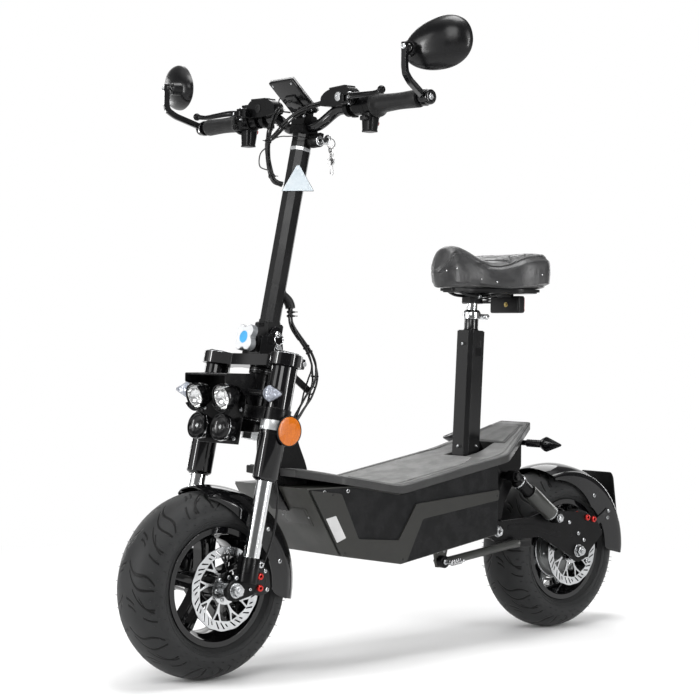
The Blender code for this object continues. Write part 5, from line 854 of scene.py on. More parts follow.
def makeHubMotor():
    bm = bmesh.new()
    drum = [(0.0066, 0.0205), (0.03, 0.0205), (0.0315, 0.0222), (0.05, 0.0222), (0.0512, 0.0214),
        (0.0606, 0.0214), (0.062, 0.0222), (0.0655, 0.0205), (0.068, 0.0165), (0.068, -0.0345),
        (0.0655, -0.0385), (0.062, -0.04), (0.0066, -0.04)]
    add(bm, spin(drum, 108, closed=True, along="X"), rearHub)
    add(bm, spin([(0.0066, 0.019), (0.0245, 0.019), (0.026, 0.0205), (0.026, 0.0675), (0.0245, 0.069),
        (0.0066, 0.069)], 48, closed=True, along="X"), rearHub)
    add(bm, spin([(0.0066, -0.0816), (0.0175, -0.0816), (0.019, -0.08), (0.019, -0.038), (0.0066, -0.038)],
        48, closed=True, along="X"), rearHub)
    for count in range(9):
        turned = rearHub @ turnX(40 * count)
        outline = [(0.064, -0.0125), (0.0765, -0.0075), (0.085, -0.005), (0.085, 0.005), (0.0765, 0.0075),
            (0.064, 0.0125)]
        add(bm, plate(rounded(outline, 0.003), 0.005, 0.0163), turned)
        screw(bm, turned @ at(0.0187, 0.079, 0) @ axisTurn["X"], 0.0046, 0.0034, 1)
    for count in range(6):
        turned = rearHub @ turnX(60 * count + 14)
        screw(bm, turned @ at(0.0221, 0.042, 0) @ axisTurn["X"], 0.003, 0.0018, 1)
    # Bright turned edge round the drum
    edge = hoop(0.0208, 0, 0, 0.0652, 96)
    add(bm, wire(edge, 0.0022, 12, closed=True), rearHub, 2)
    piece("motorDrum", bm, "rear_wheel", ["motorAlloy", "steel", "discSteel"], ("hub_motor",),
        bevel=0.0006)


def polarPoint(radius, angle):
    return (radius * math.cos(radians(angle)), radius * math.sin(radians(angle)))


def waved(radius, depth, waves, steps):
    # The outline of a ring that swells and shrinks
    turns = [360 * i / steps for i in range(steps)]
    return [polarPoint(radius + depth * math.cos(radians(waves * turn)), turn) for turn in turns]


def makeDisc(name, place, body, node):
    # Waved braking ring with leaning slots, nine forked swept arms and a bolted middle
    bm = bmesh.new()
    radius, inner = scooter["discRadius"], 0.0615
    outer = waved(radius - 0.0006, 0.0006, 15, 270)
    holes = [waved(inner, 0.001, 9, 180)]
    for count in range(36):
        mid = 360 / 36 * count
        low, high, lean = (radius - 0.016, radius - 0.004, 8.0) if count % 3 else (radius - 0.014,
            radius - 0.0075, 4.0)
        wide = 1.45
        holes.append(rounded([polarPoint(r, mid + a) for r,
            a in ((low, -wide), (high, lean - wide), (high, lean + wide), (low, wide))], 0.0013, 3))
    add(bm, plate(outer, 0.0025, scooter["discOffset"], holes=holes), place)
    hub = arc(0, 0, 0.03, 0, 354, 59)
    add(bm, plate(hub, 0.0025, scooter["discOffset"], holes=[arc(0, 0, 0.012, 0, 350, 35)]), place)
    for count in range(9):
        turned = place @ turnX(40 * count)
        # Each arm sweeps forward and forks into two thin branches before the ring
        outline = [polarPoint(r, a) for r, a in ((0.0285, -3.5), (0.04, 1.5), (0.047, 2.5), (0.0625, 1.0),
            (0.0625, 4.0), (0.0495, 6.5), (0.0495, 9.0), (0.0625, 17.5), (0.0625, 21.0), (0.0465, 12.5),
            (0.0395, 9.0), (0.0285, 3.5))]
        add(bm, plate(outline, 0.0024, scooter["discOffset"]), turned)
    for count in range(6):
        turned = place @ turnX(60 * count + 9)
        screw(bm, turned @ at(scooter["discOffset"] + 0.0012, 0.022, 0) @ axisTurn["X"], 0.004, 0.0022, 1)
    piece(name, bm, body, ["discSteel", "steel"], (node,), bevel=0.0002, segments=1)


makeFrontRim()
makeRearRim()
makeHubMotor()
makeDisc("discFront", frontHub, "front_wheel", "front_disc")
makeDisc("discRear", rearHub, "rear_wheel", "rear_disc")
print("wheels made")

# Mudguards: arched sheets whose skirts deepen to the rear, with stays, bolts and a rolled edge
guard = {"width": 0.147, "wall": 0.0025, "frontRoom": 0.009, "rearRoom": 0.0105, "frontTip": 0.026}


def smoothValue(points, share):
    # A point on a smooth curve through evenly shared points
    spot = min(share, 0.99999) * (len(points) - 1)
    i = int(spot)
    t = spot - i
    p, q = points[max(i - 1, 0)], points[i]
    r, s = points[min(i + 1, len(points) - 1)], points[min(i + 2, len(points) - 1)]
    return tuple(0.5 * (2 * b + (c - a) * t + (2 * a - 5 * b + 4 * c - d) * t**2 + (3 * b - a - 3 * c + d)
        * t**3) for a, b, c, d in zip(p, q, r, s))


def guardShape(radius, start, end, tip, edge=0.04):
    full = guard["width"] / 2 - guard["wall"]

    def where(u, v):
        deep = min(1.0, 2.2 * v)
        corner = math.sqrt(max(0.0, 1 - max(0.0, (v - 0.94) / 0.06) ** 2))
        half = full - tip * max(0.0, 1 - v / 0.3) ** 2
        drop = (half / full) ** 2.2
        skirt = radius - (edge + (0.004 + (0.072 - edge) * deep) * corner) * drop
        side = [(half, skirt),
            (half + 0.0006, radius - (edge * 0.962 + (0.0025 + (0.051 - edge) * deep) * corner) * drop),
            (half, radius - edge * 0.925 * drop), (half - 0.009, radius - min(0.021, edge * 0.75) * drop),
            (half - 0.028, radius - 0.0065 * drop), (0, radius)]
        section = side + [(-x, r) for x, r in reversed(side[:-1])]
        x, r = smoothValue(section, u)
        turn = radians(start + (end - start) * v)
        return Vector((x, r * math.cos(turn), r * math.sin(turn)))

    shape = grid(60, 64, where)
    bmesh.ops.recalc_face_normals(shape, faces=shape.faces)
    top = max(shape.faces, key=lambda f: f.calc_center_median().z)
    if top.normal.dot(top.calc_center_median()) < 0:
        bmesh.ops.reverse_faces(shape, faces=shape.faces)
    bmesh.ops.solidify(shape, geom=shape.faces[:], thickness=-guard["wall"])
    return shape


def guardStays(bm, place, stays, carrier):
    for side in (left, right):
        plane = side * (guard["width"] / 2 + 0.0012)
        add(bm, plate(rounded(strip(stays, 0.008), 0.003), 0.0034, plane), place)
        span = sorted((side * (carrier - 0.0003), plane))
        add(bm, rod(0.0065, *span, 24, along="X"), place @ at(0, *stays[-1]))
        for y, z in (stays[-1], (stays[0][0] * 0.985, stays[0][1] * 0.985)):
            screw(bm, place @ at(plane + side * 0.0017, y, z) @ outward(side), 0.0042, 0.003, 1)


def makeFrontGuard():
    bm = bmesh.new()
    radius = tyreRadius + guard["frontRoom"]
    add(bm, guardShape(radius, 98, -12, guard["frontTip"]), frontHub, keep=True)
    guardStays(bm, frontHub, [polarPoint(0.146, 47.7), polarPoint(0.126, 47.7), (0.0315, 0.044)],
        legX - 0.019)
    for side in (left, right):
        for y, z in ((0.092, 0.101), (0.129, 0.042)):
            screw(bm, frontHub @ at(side * 0.0725, y, z) @ outward(side), 0.0048, 0.0032, 1)
    piece("guardFront", bm, "fork_lower", ["glossBlack", "steel"], ("front_mudguard",),
        bevel=0.0007)


def makeRearGuard():
    bm = bmesh.new()
    radius = tyreRadius + guard["rearRoom"]
    add(bm, guardShape(radius, 108, -6, 0.006, edge=0.021), rearHub, keep=True)
    guardStays(bm, rearHub, [polarPoint(0.148, 34), polarPoint(0.128, 34), (0.066, 0.05)], 0.082)
    for side in (left, right):
        for y, z in ((0.074, 0.119), (0.122, 0.066)):
            screw(bm, rearHub @ at(side * 0.0725, y, z) @ outward(side), 0.0048, 0.0032, 1)
    # Number plate holder: a bare sheet with a turned edge, two ribs and a pad on the guard's back
    height = (0.346 - 0.168) / math.cos(plateLean)
    holder = rearHub @ at(0, plateReach(0.168), 0.168 - tyreRadius) @ Matrix.Rotation(plateLean, 4, "X")
    outline = rounded([(-0.032, 0), (0.032, 0), (0.049, height - 0.012), (0.045, height), (-0.045, height),
        (-0.049, height - 0.012)], 0.006)
    add(bm, plate(outline, 0.003, 0.0015, "front"), holder, 2)
    border = [inset(outline, 0.0012), inset(outline, 0.0042)]
    add(bm, plate(border[0], 0.0012, -0.0003, "front", [border[1]]), holder, 2)
    for side in (left, right):
        rib = [(0.001, 0.02), (0.0065, 0.03), (0.0065, height - 0.03), (0.001, height - 0.02)]
        add(bm, plate(rounded(rib, 0.002), 0.003, side * 0.028), holder, 2)
    level = plateReach(0.168) * math.sin(plateLean) + (tyreRadius - 0.168) * math.cos(plateLean)
    add(bm, box((0.046, 0.016, 0.03), (0, -0.0055, level), 0.002), holder, 2)
    for x in (-0.015, 0.015):
        screw(bm, holder @ at(x, 0.003, level) @ turnX(-90), 0.0036, 0.0022, 1)
    piece("guardRear", bm, "swingarm", ["glossBlack", "steel", "coverBlack"],
        ("rear_mudguard",), bevel=0.0007)


makeFrontGuard()
makeRearGuard()


# Fork: lower crown with its tubes, upper clamp, sliding legs, axle and caliper
fork = {"legRadius": 0.0155, "crownThick": 0.0205, "clampThick": 0.0225, "dropoutInner": 0.0915,
    "dropoutThick": 0.0105}
foldY = setback + 0.01
foldZ = scooter["upperCrown"] + fork["clampThick"] + 0.0185
cheekInner = 0.019 + 0.0023
knobZ = foldZ + 0.01
pinZ = foldZ + 0.027


def crownOutline(legRound, middleRound, waist):
    edge = arc(legX, 0, legRound, -125, 120, 40)
    rear = arc(0, setback, middleRound, 55, 125, 16)
    back = [(-x, y) for x, y in reversed(edge)]
    middle = [(0.058, setback - 0.004)] + rear + [(-0.058, setback - 0.004)]
    front = [(-0.056, waist + 0.0006), (-0.05, waist), (0.05, waist), (0.056, waist + 0.0006)]
    return edge + middle + back + front


def makeReflectorFinish():
    # Amber plastic with a fine field of prisms behind a smooth face; the prisms carry a painted highlight and
    # the face a faint painted glow
    mat = makeFinish("amberReflector", (0.42, 0.092, 0.004), tone=(0.35, 0.07, 0.003), rough=0.16,
        spread=0.02, scale=300, bump=0.01, dust=0.03)
    tree = mat.node_tree
    shader = tree.nodes["Principled BSDF"]
    prisms = addNode(tree, "TexVoronoi", {"Vector": objectPlace(tree), "Scale": 420.0}, distance="MANHATTAN")
    sectors = ranged(tree, noisy(tree, 46.0, 1.0, 0.3), 0.45, 0.55)
    base = shader.inputs["Base Color"].links[0].from_socket
    # Painted highlight: the prism cells are mixed towards a brighter amber
    tree.links.new(mixed(tree, maths(tree, "MULTIPLY", prisms.outputs["Distance"], 0.55), base,
        (0.58, 0.155, 0.008, 1)), shader.inputs["Base Color"])
    tree.links.new(ranged(tree, sectors, 0.0, 1.0, 0.1, 0.3), shader.inputs["Roughness"])
    # Painted glow: a faint amber emission, though the reflector is no lamp
    shader.inputs["Emission Color"].default_value = (0.8, 0.22, 0.01, 1)
    shader.inputs["Emission Strength"].default_value = 0.03


def makeLensFinish(name, colour, shine):
    # Clear moulded lens over a bright field, with a diamond pattern of prisms
    mat = makeFinish(name, colour, tone=tuple(0.86 * c for c in colour), metallic=0.35, rough=0.15,
        spread=0.05, scale=300, bump=0.01, dust=0.02)
    tree = mat.node_tree
    shader = tree.nodes["Principled BSDF"]
    prisms = addNode(tree, "TexVoronoi", {"Vector": objectPlace(tree), "Scale": 210.0}, distance="MANHATTAN")
    mask = ranged(tree, prisms.outputs["Distance"], 0.15, 0.75)
    base = shader.inputs["Base Color"].links[0].from_socket
    tree.links.new(mixed(tree, mask, base, (*[shine * c for c in colour], 1)), shader.inputs["Base Color"])
    bump = addNode(tree, "Bump", {"Height": prisms.outputs["Distance"], "Strength": 0.8, "Distance": 0.0012})
    tree.links.new(bump.outputs[0], shader.inputs["Normal"])


def makeGlassFinish():
    mat = bpy.data.materials.new("clearGlass")
    mat.use_nodes = True
    tree = mat.node_tree
    shader = tree.nodes["Principled BSDF"]
    shader.inputs["Transmission Weight"].default_value = 1.0
    shader.inputs["IOR"].default_value = 1.35
    tone = ranged(tree, noisy(tree, 300.0, 2.0, 0.5), 0.3, 0.7, 0.02, 0.07)
    tree.links.new(tone, shader.inputs["Roughness"])
    tint = mixed(tree, noisy(tree, 60.0), (0.96, 0.97, 0.98, 1), (0.99, 0.99, 1.0, 1))
    tree.links.new(tint, shader.inputs["Base Color"])
    finishes["clearGlass"] = mat


makeReflectorFinish()
makeLensFinish("clearLens", (0.62, 0.66, 0.76), 0.42)
makeLensFinish("amberLens", (0.6, 0.22, 0.03), 0.5)
makeGlassFinish()
makeFinish("lampChrome", (0.86, 0.86, 0.85), metallic=1.0, rough=0.1, spread=0.03, skin="cast", scale=240,
    bump=0.06, dust=0.02)


def makeForkCrown():
    bm = bmesh.new()
    low = scooter["lowerCrown"]
    add(bm, plate(crownOutline(0.0268, 0.029, -0.012), fork["crownThick"], low + fork["crownThick"] / 2,
        "top"), forkFrame)
    axis = at(0, setback, 0)
    add(bm, rod(0.0145, low + 0.0165, 0.448, 40), forkFrame @ axis)
    add(bm, rod(0.0168, low - 0.009, low + 0.002, 6), forkFrame @ axis, 1)
    for side in (left, right):
        tube = [(0.0163, 0.2076), (0.0212, 0.2076), (0.0222, 0.2084), (0.0246, 0.211), (0.025, 0.2122),
            (0.025, 0.4532), (0.0244, 0.4545), (0.0163, 0.4545)]
        add(bm, spin(tube, 72, closed=True), forkAt(side * legX, 0, 0))
        seal = [(0.016, 0.2078), (0.0185, 0.2078), (0.0195, 0.207), (0.0188, 0.2062), (0.016, 0.2064)]
        add(bm, spin(seal, 48, closed=True), forkAt(side * legX, 0, 0), 4)
        cap = [(0, 0.4556), (0.007, 0.4556), (0.0078, 0.4569), (0.011, 0.4569), (0.0118, 0.456),
            (0.018, 0.4565), (0.0215, 0.4558), (0.0238, 0.454), (0.0238, 0.45), (0, 0.45)]
        add(bm, spin(cap, 64), forkAt(side * legX, 0, 0), 5)
        # Pinch bolt heads of the lower crown, front and back
        for y, turn in ((-0.0262, 90), (0.0262, -90)):
            spot = forkAt(side * (legX - 0.0035), y * 0.98, low + fork["crownThick"] / 2) @ turnX(turn)
            screw(bm, spot, 0.0046, 0.003, 1)
        # Reflector in its black cup, on a strap behind the tube
        spot = forkAt(side * 0.1335, 0.011, 0.306) @ outward(side)
        cup = [(0, 0), (0.024, 0), (0.0288, 0.0012), (0.0295, 0.003), (0.0295, 0.0052), (0.0288, 0.0056),
            (0.028, 0.005), (0, 0.0048)]
        add(bm, spin(cup, 72), spot, 2)
        face = [(0, 0.0068), (0.014, 0.0066), (0.023, 0.006), (0.0268, 0.0054), (0.0279, 0.0046), (0, 0.0046)]
        add(bm, spin(face, 72), spot, 3)
        add(bm, box((0.022, 0.004, 0.02), (side * 0.1245, 0.017, 0.306), 0.001), forkFrame, 2)
        add(bm, box((0.004, 0.018, 0.02), (side * 0.1322, 0.013, 0.306), 0.001), forkFrame, 2)
    # Bright strap round the left tube
    strap = [(0.0251, 0.3025), (0.0271, 0.3025), (0.0274, 0.3032), (0.0274, 0.3238), (0.0271, 0.3245),
        (0.0251, 0.3245)]
    add(bm, spin(strap, 72, closed=True), forkAt(legX, 0, 0), 6)
    piece("forkTubes", bm, "steering", ["glossBlack", "steel", "blackPlastic", "amberReflector", "gripRubber",
        "steel", "silverPaint"], ("fork_crown",), bevel=0.0007, segments=3)


def makeUpperClamp():
    bm = bmesh.new()
    top = scooter["upperCrown"] + fork["clampThick"]
    outline = crownOutline(0.0315, 0.03, -0.008)
    holes = [arc(side * legX, 0, 0.0253, 0, 354, 59) for side in (left, right)]
    add(bm, plate(outline, fork["clampThick"], top - fork["clampThick"] / 2, "top", holes), forkFrame)
    front = -0.006
    outline = [(front, top - 0.003), (setback + 0.024, top - 0.003), (setback + 0.024, foldZ)]
    outline += arc(setback, pinZ, 0.015, 0, 180, 20) + [(front, knobZ + 0.006)]
    outer = cheekInner + 0.006
    fold = forkAt(0, foldY, foldZ)
    bolt = forkAt(0, 0.0335, top - 0.01125)
    for side in (left, right):
        ear = side * (legX + 0.006)
        add(bm, plate(rounded(outline, 0.003, 3), 0.006, side * (cheekInner + 0.003)), forkFrame)
        add(bm, rod(0.0068 / math.cos(radians(30)), *sideSpan(side, outer - 0.0002, outer + 0.005), 6,
            along="X"), fold, 1)
        add(bm, rod(0.01, *sideSpan(side, outer, outer + 0.0012), 32, along="X"), fold, 1)
        # Ear and pinch bolt behind each clamp ring
        add(bm, box((0.016, 0.01, 0.0205), (ear, 0.033, top - 0.01125), 0.0025), forkFrame)
        add(bm, rod(0.003, ear - 0.0105, ear + 0.0105, 20, along="X"), bolt, 1)
        for low, high in ((-0.0112, -0.0085), (0.0085, 0.0112)):
            add(bm, rod(0.0048, ear + low, ear + high, 24, along="X"), bolt, 1)
        # Bright ring on top of each clamp
        ring = [(0.0256, top - 0.0002), (0.0296, top - 0.0002), (0.0299, top + 0.0006), (0.029, top + 0.0014),
            (0.0262, top + 0.0014), (0.0256, top + 0.0008)]
        add(bm, spin(ring, 72, closed=True), forkAt(side * legX, 0, 0), 2)
    add(bm, box((2 * outer - 0.001, 0.005, knobZ + 0.008 - top + 0.003),
        (0, -0.0035, (knobZ + 0.005 + top) / 2), 0.001), forkFrame)
    add(bm, rod(0.004, -outer - 0.002, outer + 0.002, 24, along="X"), fold, 1)
    # Boss round the pull pin
    add(bm, spin(rect(0.0042, 0.0085, outer - 0.0005, outer + 0.0001), 32, closed=True, along="X"),
        forkAt(0, setback, pinZ))
    piece("upperClamp", bm, "steering", ["glossBlack", "steel", "steel"], ("upper_crown",),
        bevel=0.0012, segments=3)


def makeStarKnob():
    bm = bmesh.new()

    def lobes(grow):
        made = []
        for i in range(160):
            turn = 2 * math.pi * i / 160
            reach = 0.0262 + grow + 0.005 * math.cos(4 * turn) - 0.001 * math.cos(8 * turn)
            made.append((reach * math.cos(turn + math.pi / 4), knobZ + reach * math.sin(turn + math.pi / 4)))
        return made

    add(bm, plate(lobes(0.0), 0.0118, -0.0229, "front"), forkFrame, 1)
    add(bm, plate(lobes(-0.001), 0.013, -0.0235, "front"), forkFrame)
    add(bm, rod(0.0122, -0.0304, -0.0298, 64, along="Y"), forkAt(0, 0, knobZ), 2)
    add(bm, spin([(0.0122, -0.0306), (0.013, -0.0306), (0.0133, -0.03), (0.0122, -0.0298)], 64, closed=True,
        along="Y"), forkAt(0, 0, knobZ))
    add(bm, spin([(0, -0.0178), (0.0112, -0.0178), (0.0108, -0.009), (0.0098, -0.0064), (0, -0.0064)], 40,
        along="Y"), forkAt(0, 0, knobZ), 1)
    add(bm, rod(0.004, -0.018, 0.008, 24, along="Y"), forkAt(0, 0, knobZ), 3)
    piece("starKnob", bm, "star_knob", ["knobWhite", "knobEdge", "blueDisc", "steel"],
        ("star_knob",), bevel=0.0009, segments=3)


def makePullPin():
    bm = bmesh.new()
    outer = cheekInner + 0.006
    place = forkAt(0, setback, pinZ)
    pin = [(0, cheekInner + 0.0003), (0.003, cheekInner + 0.0003), (0.0035, cheekInner + 0.001),
        (0.0035, outer + 0.0003), (0.0065, outer + 0.0003), (0.0065, outer + 0.0052), (0.0058, outer + 0.006),
        (0.004, outer + 0.0062), (0.0036, outer + 0.011), (0.003, outer + 0.012), (0, outer + 0.012)]
    add(bm, spin(pin, 40, along="X"), place)
    ring = hoop(outer + 0.011, 0, -0.01, 0.0105, 40)
    add(bm, wire(ring, 0.0011, 10, closed=True), place)
    piece("pullPin", bm, "pull_pin", ["chrome"], ("pull_pin",), bevel=0.0002)


def makeForkLeg(side, node):
    bm = bmesh.new()
    add(bm, rod(fork["legRadius"], 0.052, 0.3635, 64), forkAt(side * legX, 0, 0))
    lug = [(0, 0.012), (0.017, 0.012), (0.0185, 0.0135), (0.0185, 0.059), (0.018, 0.06), (0.0164, 0.0606),
        (0.0158, 0.0606), (0, 0.0606)]
    add(bm, spin(lug, 64), forkAt(side * (legX - 0.0005), 0, 0), 1)
    footY = scooter["forkTrail"] + 0.0145
    outline = arc(0, 0, 0.021, 175, 290, 24)
    outline += rounded([(0.02, -0.016), (0.044, -0.012), (0.0485, 0.008), (footY + 0.01, 0.06)], 0.004)[5:]
    outline += [(footY - 0.022, 0.064), (footY - 0.028, 0.03)]
    middle = side * (fork["dropoutInner"] + fork["dropoutThick"] / 2)
    add(bm, plate(outline, fork["dropoutThick"], middle), frontHub, 1)
    face = side * (fork["dropoutInner"] + fork["dropoutThick"])
    for y, z, size in ((0.001, 0.0235, 0.0042), (0.0335, -0.0005, 0.0036)):
        screw(bm, frontHub @ at(face, y, z) @ outward(side), size, 0.003, 2)
    # The raised boss round the axle
    boss = [(0.0062, 0), (0.02, 0), (0.019, 0.0003), (0.0062, 0.0003)]
    add(bm, spin(boss, 48, closed=True), frontHub @ at(face, 0, 0) @ outward(side), 1)
    piece("forkLeg" + ("Left" if side == left else "Right"), bm, "fork_lower",
        ["chrome", "satinBlack", "steel"], (node,), bevel=0.001, segments=3)


def makeAxle(name, place, inner, outer, body, node):
    bm = bmesh.new()
    nut = outer + 0.013
    add(bm, rod(0.006, -nut - 0.0052, nut + 0.0052, 32, along="X"), place)
    add(bm, rod(0.0115, 0.0723, inner - 0.0003, 40, along="X"), place)
    for side in (left, right):
        spot = place @ at(side * (outer + 0.0003), 0, 0) @ outward(side)
        add(bm,
            spin([(0.0061, 0), (0.014, 0), (0.0145, 0.0004), (0.0145, 0.0024), (0.014, 0.0028),
            (0.0061, 0.0028)], 48, closed=True), spot)
        add(bm, rod(0.012, 0.0028, 0.0118, 6), spot @ turnZ(12))
        add(bm, spin([(0, 0.0116), (0.0092, 0.0116), (0.0086, 0.0128), (0.0062, 0.013), (0, 0.013)], 40),
            spot)
        for ring in range(4):
            add(bm,
                spin([(0.0058, 0.0136 + 0.0011 * ring), (0.0063, 0.01405 + 0.0011 * ring),
                (0.0058, 0.0145 + 0.0011 * ring)], 24, closed=True), spot)
    piece(name, bm, body, ["steel"], (node,), bevel=0.0004)


def makeCaliper(name, place, turn, outer, body, node, mount):
    # Two-piece body over the disc, with bridge bolts, bleed nipple and adapter
    bm = bmesh.new()
    turned = place @ turnX(turn)
    inner = 0.056
    discAt = scooter["discOffset"]
    outline = rounded([(0.058, -0.026), (0.083, -0.026), (0.092, -0.015), (0.092, 0.015), (0.083, 0.026),
        (0.058, 0.026), (0.053, 0.014), (0.053, -0.014)], 0.004)
    for low, high in ((inner, discAt - 0.0026), (discAt + 0.0026, outer - 0.0003)):
        add(bm, plate(outline, high - low, (low + high) / 2), turned)
    bridge = rounded([(0.0835, -0.024), (0.0905, -0.014), (0.0905, 0.014), (0.0835, 0.024)], 0.003)
    add(bm, plate(bridge, outer - 0.001 - inner, (outer + inner) / 2 - 0.0005), turned)
    for z in (-0.018, 0.018):
        spot = turned @ at(outer - 0.0006, 0.0815, z) @ axisTurn["X"]
        screw(bm, spot, 0.0045, 0.0034, 3 if not mount else 1)
    piston = [(0, 0.0), (0.0125, 0.0), (0.013, 0.0008), (0.0118, 0.002), (0.007, 0.0022), (0, 0.0022)]
    add(bm, spin(piston, 48), turned @ at(outer - 0.0006, 0.0705, 0) @ axisTurn["X"])
    add(bm, rod(0.0022, 0.0, 0.0075, 16), turned @ at(0.066, 0.0905, 0.006) @ axisTurn["Y"] @ turnX(180), 1)
    if mount:
        adapter = rounded(strip([(0.0605, -0.0115), (0.062, 0.0525)], 0.0098), 0.006)
        add(bm, plate(adapter, 0.007, outer + 0.0025), place)
        add(bm, box((0.005, 0.022, 0.018), (outer - 0.0028, 0.0485, -0.001), 0.001), place)
        for (y, z), kind in zip(((0.06, -0.001), (0.0605, 0.021), (0.0615, 0.043)), (2, 2, 1)):
            spot = place @ at(outer + 0.006, y, z) @ axisTurn["X"]
            add(bm,
                spin([(0.0028, 0.0012), (0.0028, 0.0056), (0.0052, 0.0056), (0.0066, 0.0046), (0.0068, 0.003),
                (0.0068, 0), (0, 0), (0, 0.0012)], 32), spot, kind)
    piece(name, bm, body, ["caliperBlack", "steel", "redAlloy", "redAlloy"], (node,),
        bevel=0.0008, segments=3)


makeFinish("knobEdge", (0.2, 0.21, 0.22), rough=0.4, skin="moulded", scale=1200, bump=0.08, dust=0.03)
makeForkCrown()
makeUpperClamp()
makeStarKnob()
makePullPin()
makeForkLeg(left, "fork_leg_left")
makeForkLeg(right, "fork_leg_right")
makeAxle("axleFront", frontHub, 0.0915, 0.102, "fork_lower", "front_axle")
makeAxle("axleRear", rearHub, 0.082, 0.09, "swingarm", "rear_axle")
makeCaliper("caliperFront", frontHub, 8, 0.0915, "fork_lower", "front_caliper", True)
makeCaliper("caliperRear", rearHub, 74, 0.082, "swingarm", "rear_caliper", False)
print("fork made")


# Lamp bracket with its slotted roof, lamps, horns and indicators
lampSet = {"lensY": -0.0909, "lensZ": 0.3466, "dip": 14.0, "panelY": -0.046, "wide": 0.129, "top": 0.402,
    "bandZ": 0.333, "sheet": 0.003}


def indicatorShapes(bm, place, length, side, lens, shell):
    # Pointed head: patterned lens in front, black shell behind
    profile = [(0, 0), (0.0085, 0), (0.01, 0.0012), (0.0132, 0.0068), (0.016, 0.013), (0.0166, 0.016),
        (0.0158, 0.019), (0.0032, length - 0.0025), (0.0016, length), (0, length)]
    squeeze = Matrix.Diagonal((1, 0.62, 1, 1))
    flip = world if side == left else turnZ(180)
    for keepFront, finish, grow in ((True, lens, 0.985), (False, shell, 1.0)):
        head = spin([(r * grow, h) for r, h in profile], 16, along="X")
        head.transform(flip)
        head.transform(squeeze)
        if not keepFront:
            cutAt = bmesh.ops.bisect_plane(head, geom=head.verts[:] + head.edges[:] + head.faces[:],
                plane_co=(0, -0.0018, 0), plane_no=(0, -1, 0), clear_outer=True)
            bmesh.ops.contextual_create(head,
                geom=[e for e in cutAt["geom_cut"] if isinstance(e, bmesh.types.BMEdge)])
        add(bm, head, place, finish)


def makeLampBracket():
    bm = bmesh.new()
    sheet = lampSet["sheet"]
    between = lampSet["wide"] - sheet
    panelY, top, bandZ = lampSet["panelY"], lampSet["top"], lampSet["bandZ"]
    add(bm, box((between, sheet, 0.136), (0, panelY, top - 0.068), 0.0008), forkFrame)
    level = forkAt(0, panelY, top) @ turnX(scooter["rake"])
    roof = rounded(rect(-between / 2, between / 2, -0.06, 0.002), 0.003)
    rowsOfSlots = ((0.014, -0.0365, -0.0265), (0.014, -0.0185, -0.0105), (0.012, -0.0535, -0.046))
    slots = [rounded(rect(x - half, x + half, low, high), 0.003) for half, low, high in rowsOfSlots
        for x in (-0.04, 0.0, 0.04)]
    add(bm, plate(roof, sheet, 0, "top", slots), level)
    for side in (left, right):
        outline = rounded([(-0.061, 0.002), (-0.061, -0.016), (-0.03, -0.022), (-0.012, -0.042), (0.0, -0.07),
            (0.018, -0.074), (0.01, 0.002)], 0.003)
        add(bm, plate(outline, sheet, side * (lampSet["wide"] / 2 - sheet / 2)), level)
        inner = lampSet["wide"] / 2 - 0.002
        add(bm, box((legX - inner, 0.005, 0.024), (side * (legX + inner) / 2, -0.028, bandZ), 0.0008),
            forkFrame)
        add(bm, box((0.006, 0.024, 0.024), (side * (inner + 0.002), -0.037, bandZ), 0.0008), forkFrame)
        band = [(0.0253, bandZ - 0.012), (0.027, bandZ - 0.012), (0.0275, bandZ - 0.0114),
            (0.0275, bandZ + 0.0114), (0.027, bandZ + 0.012), (0.0253, bandZ + 0.012)]
        add(bm, spin(band, 56, closed=True), forkAt(side * legX, 0, 0))
        for less, z in ((0.006, bandZ), (0.012, 0.276)):
            screw(bm, forkAt(side * (inner - less), panelY - 0.0015, z) @ turnX(90), 0.004, 0.0026, 1)
        # Indicator on its ribbed stalk
        root = (side * (lampSet["wide"] / 2 - 0.002), -0.006, -0.034)
        add(bm, rod(0.0078, 0, 0.01, 32), level @ at(*root) @ outward(side))
        for ring in range(9):
            add(bm,
                spin([(0, 0.009 + 0.0048 * ring), (0.0062, 0.009 + 0.0048 * ring),
                (0.0066, 0.0105 + 0.0048 * ring), (0.0056, 0.0138 + 0.0048 * ring),
                (0, 0.0138 + 0.0048 * ring)], 28), level @ at(*root) @ outward(side))
        indicatorShapes(bm, level @ at(root[0] + side * 0.052, root[1], root[2]), 0.054, side, 2, 0)
        # Horn: pressed disc with a rim, a bright ring and its centre nut
        spot = forkAt(side * 0.0365, panelY - 0.001, 0.2938) @ turnX(90)
        horn = [(0, -0.001), (0.0195, -0.001), (0.0205, 0.001), (0.0258, 0.019), (0.0262, 0.0215),
            (0.0262, 0.029), (0.0256, 0.0318), (0.0248, 0.0328), (0.0238, 0.0322), (0.0228, 0.0296),
            (0.0205, 0.0278), (0.018, 0.0282), (0.015, 0.0268), (0.009, 0.0262), (0.008, 0.0268), (0, 0.0268)]
        add(bm, spin(horn, 72), spot, 3)
        add(bm,
            spin([(0.0258, 0.0222), (0.0264, 0.0222), (0.0265, 0.0232), (0.0264, 0.0246), (0.0258, 0.0246)],
            72, closed=True), spot, 4)
        add(bm, rod(0.0044, 0.0262, 0.029, 6), spot, 4)
        add(bm, ball(0.0026, (0, 0, 0.029)), spot, 4)
        add(bm, rod(0.007, 0.0262, 0.0272, 32), spot, 3)
    # Small round hole plugs on the panel's face
    for x, z in ((-0.052, 0.372), (0.052, 0.372), (0.0, 0.386)):
        screw(bm, forkAt(x, panelY - 0.0015, z) @ turnX(90), 0.0034, 0.002, 1)
    piece("lampBracket", bm, "steering", ["satinBlack", "steel", "clearLens", "glossPlastic", "chrome"],
        ("lamp_bracket",), bevel=0.0005)


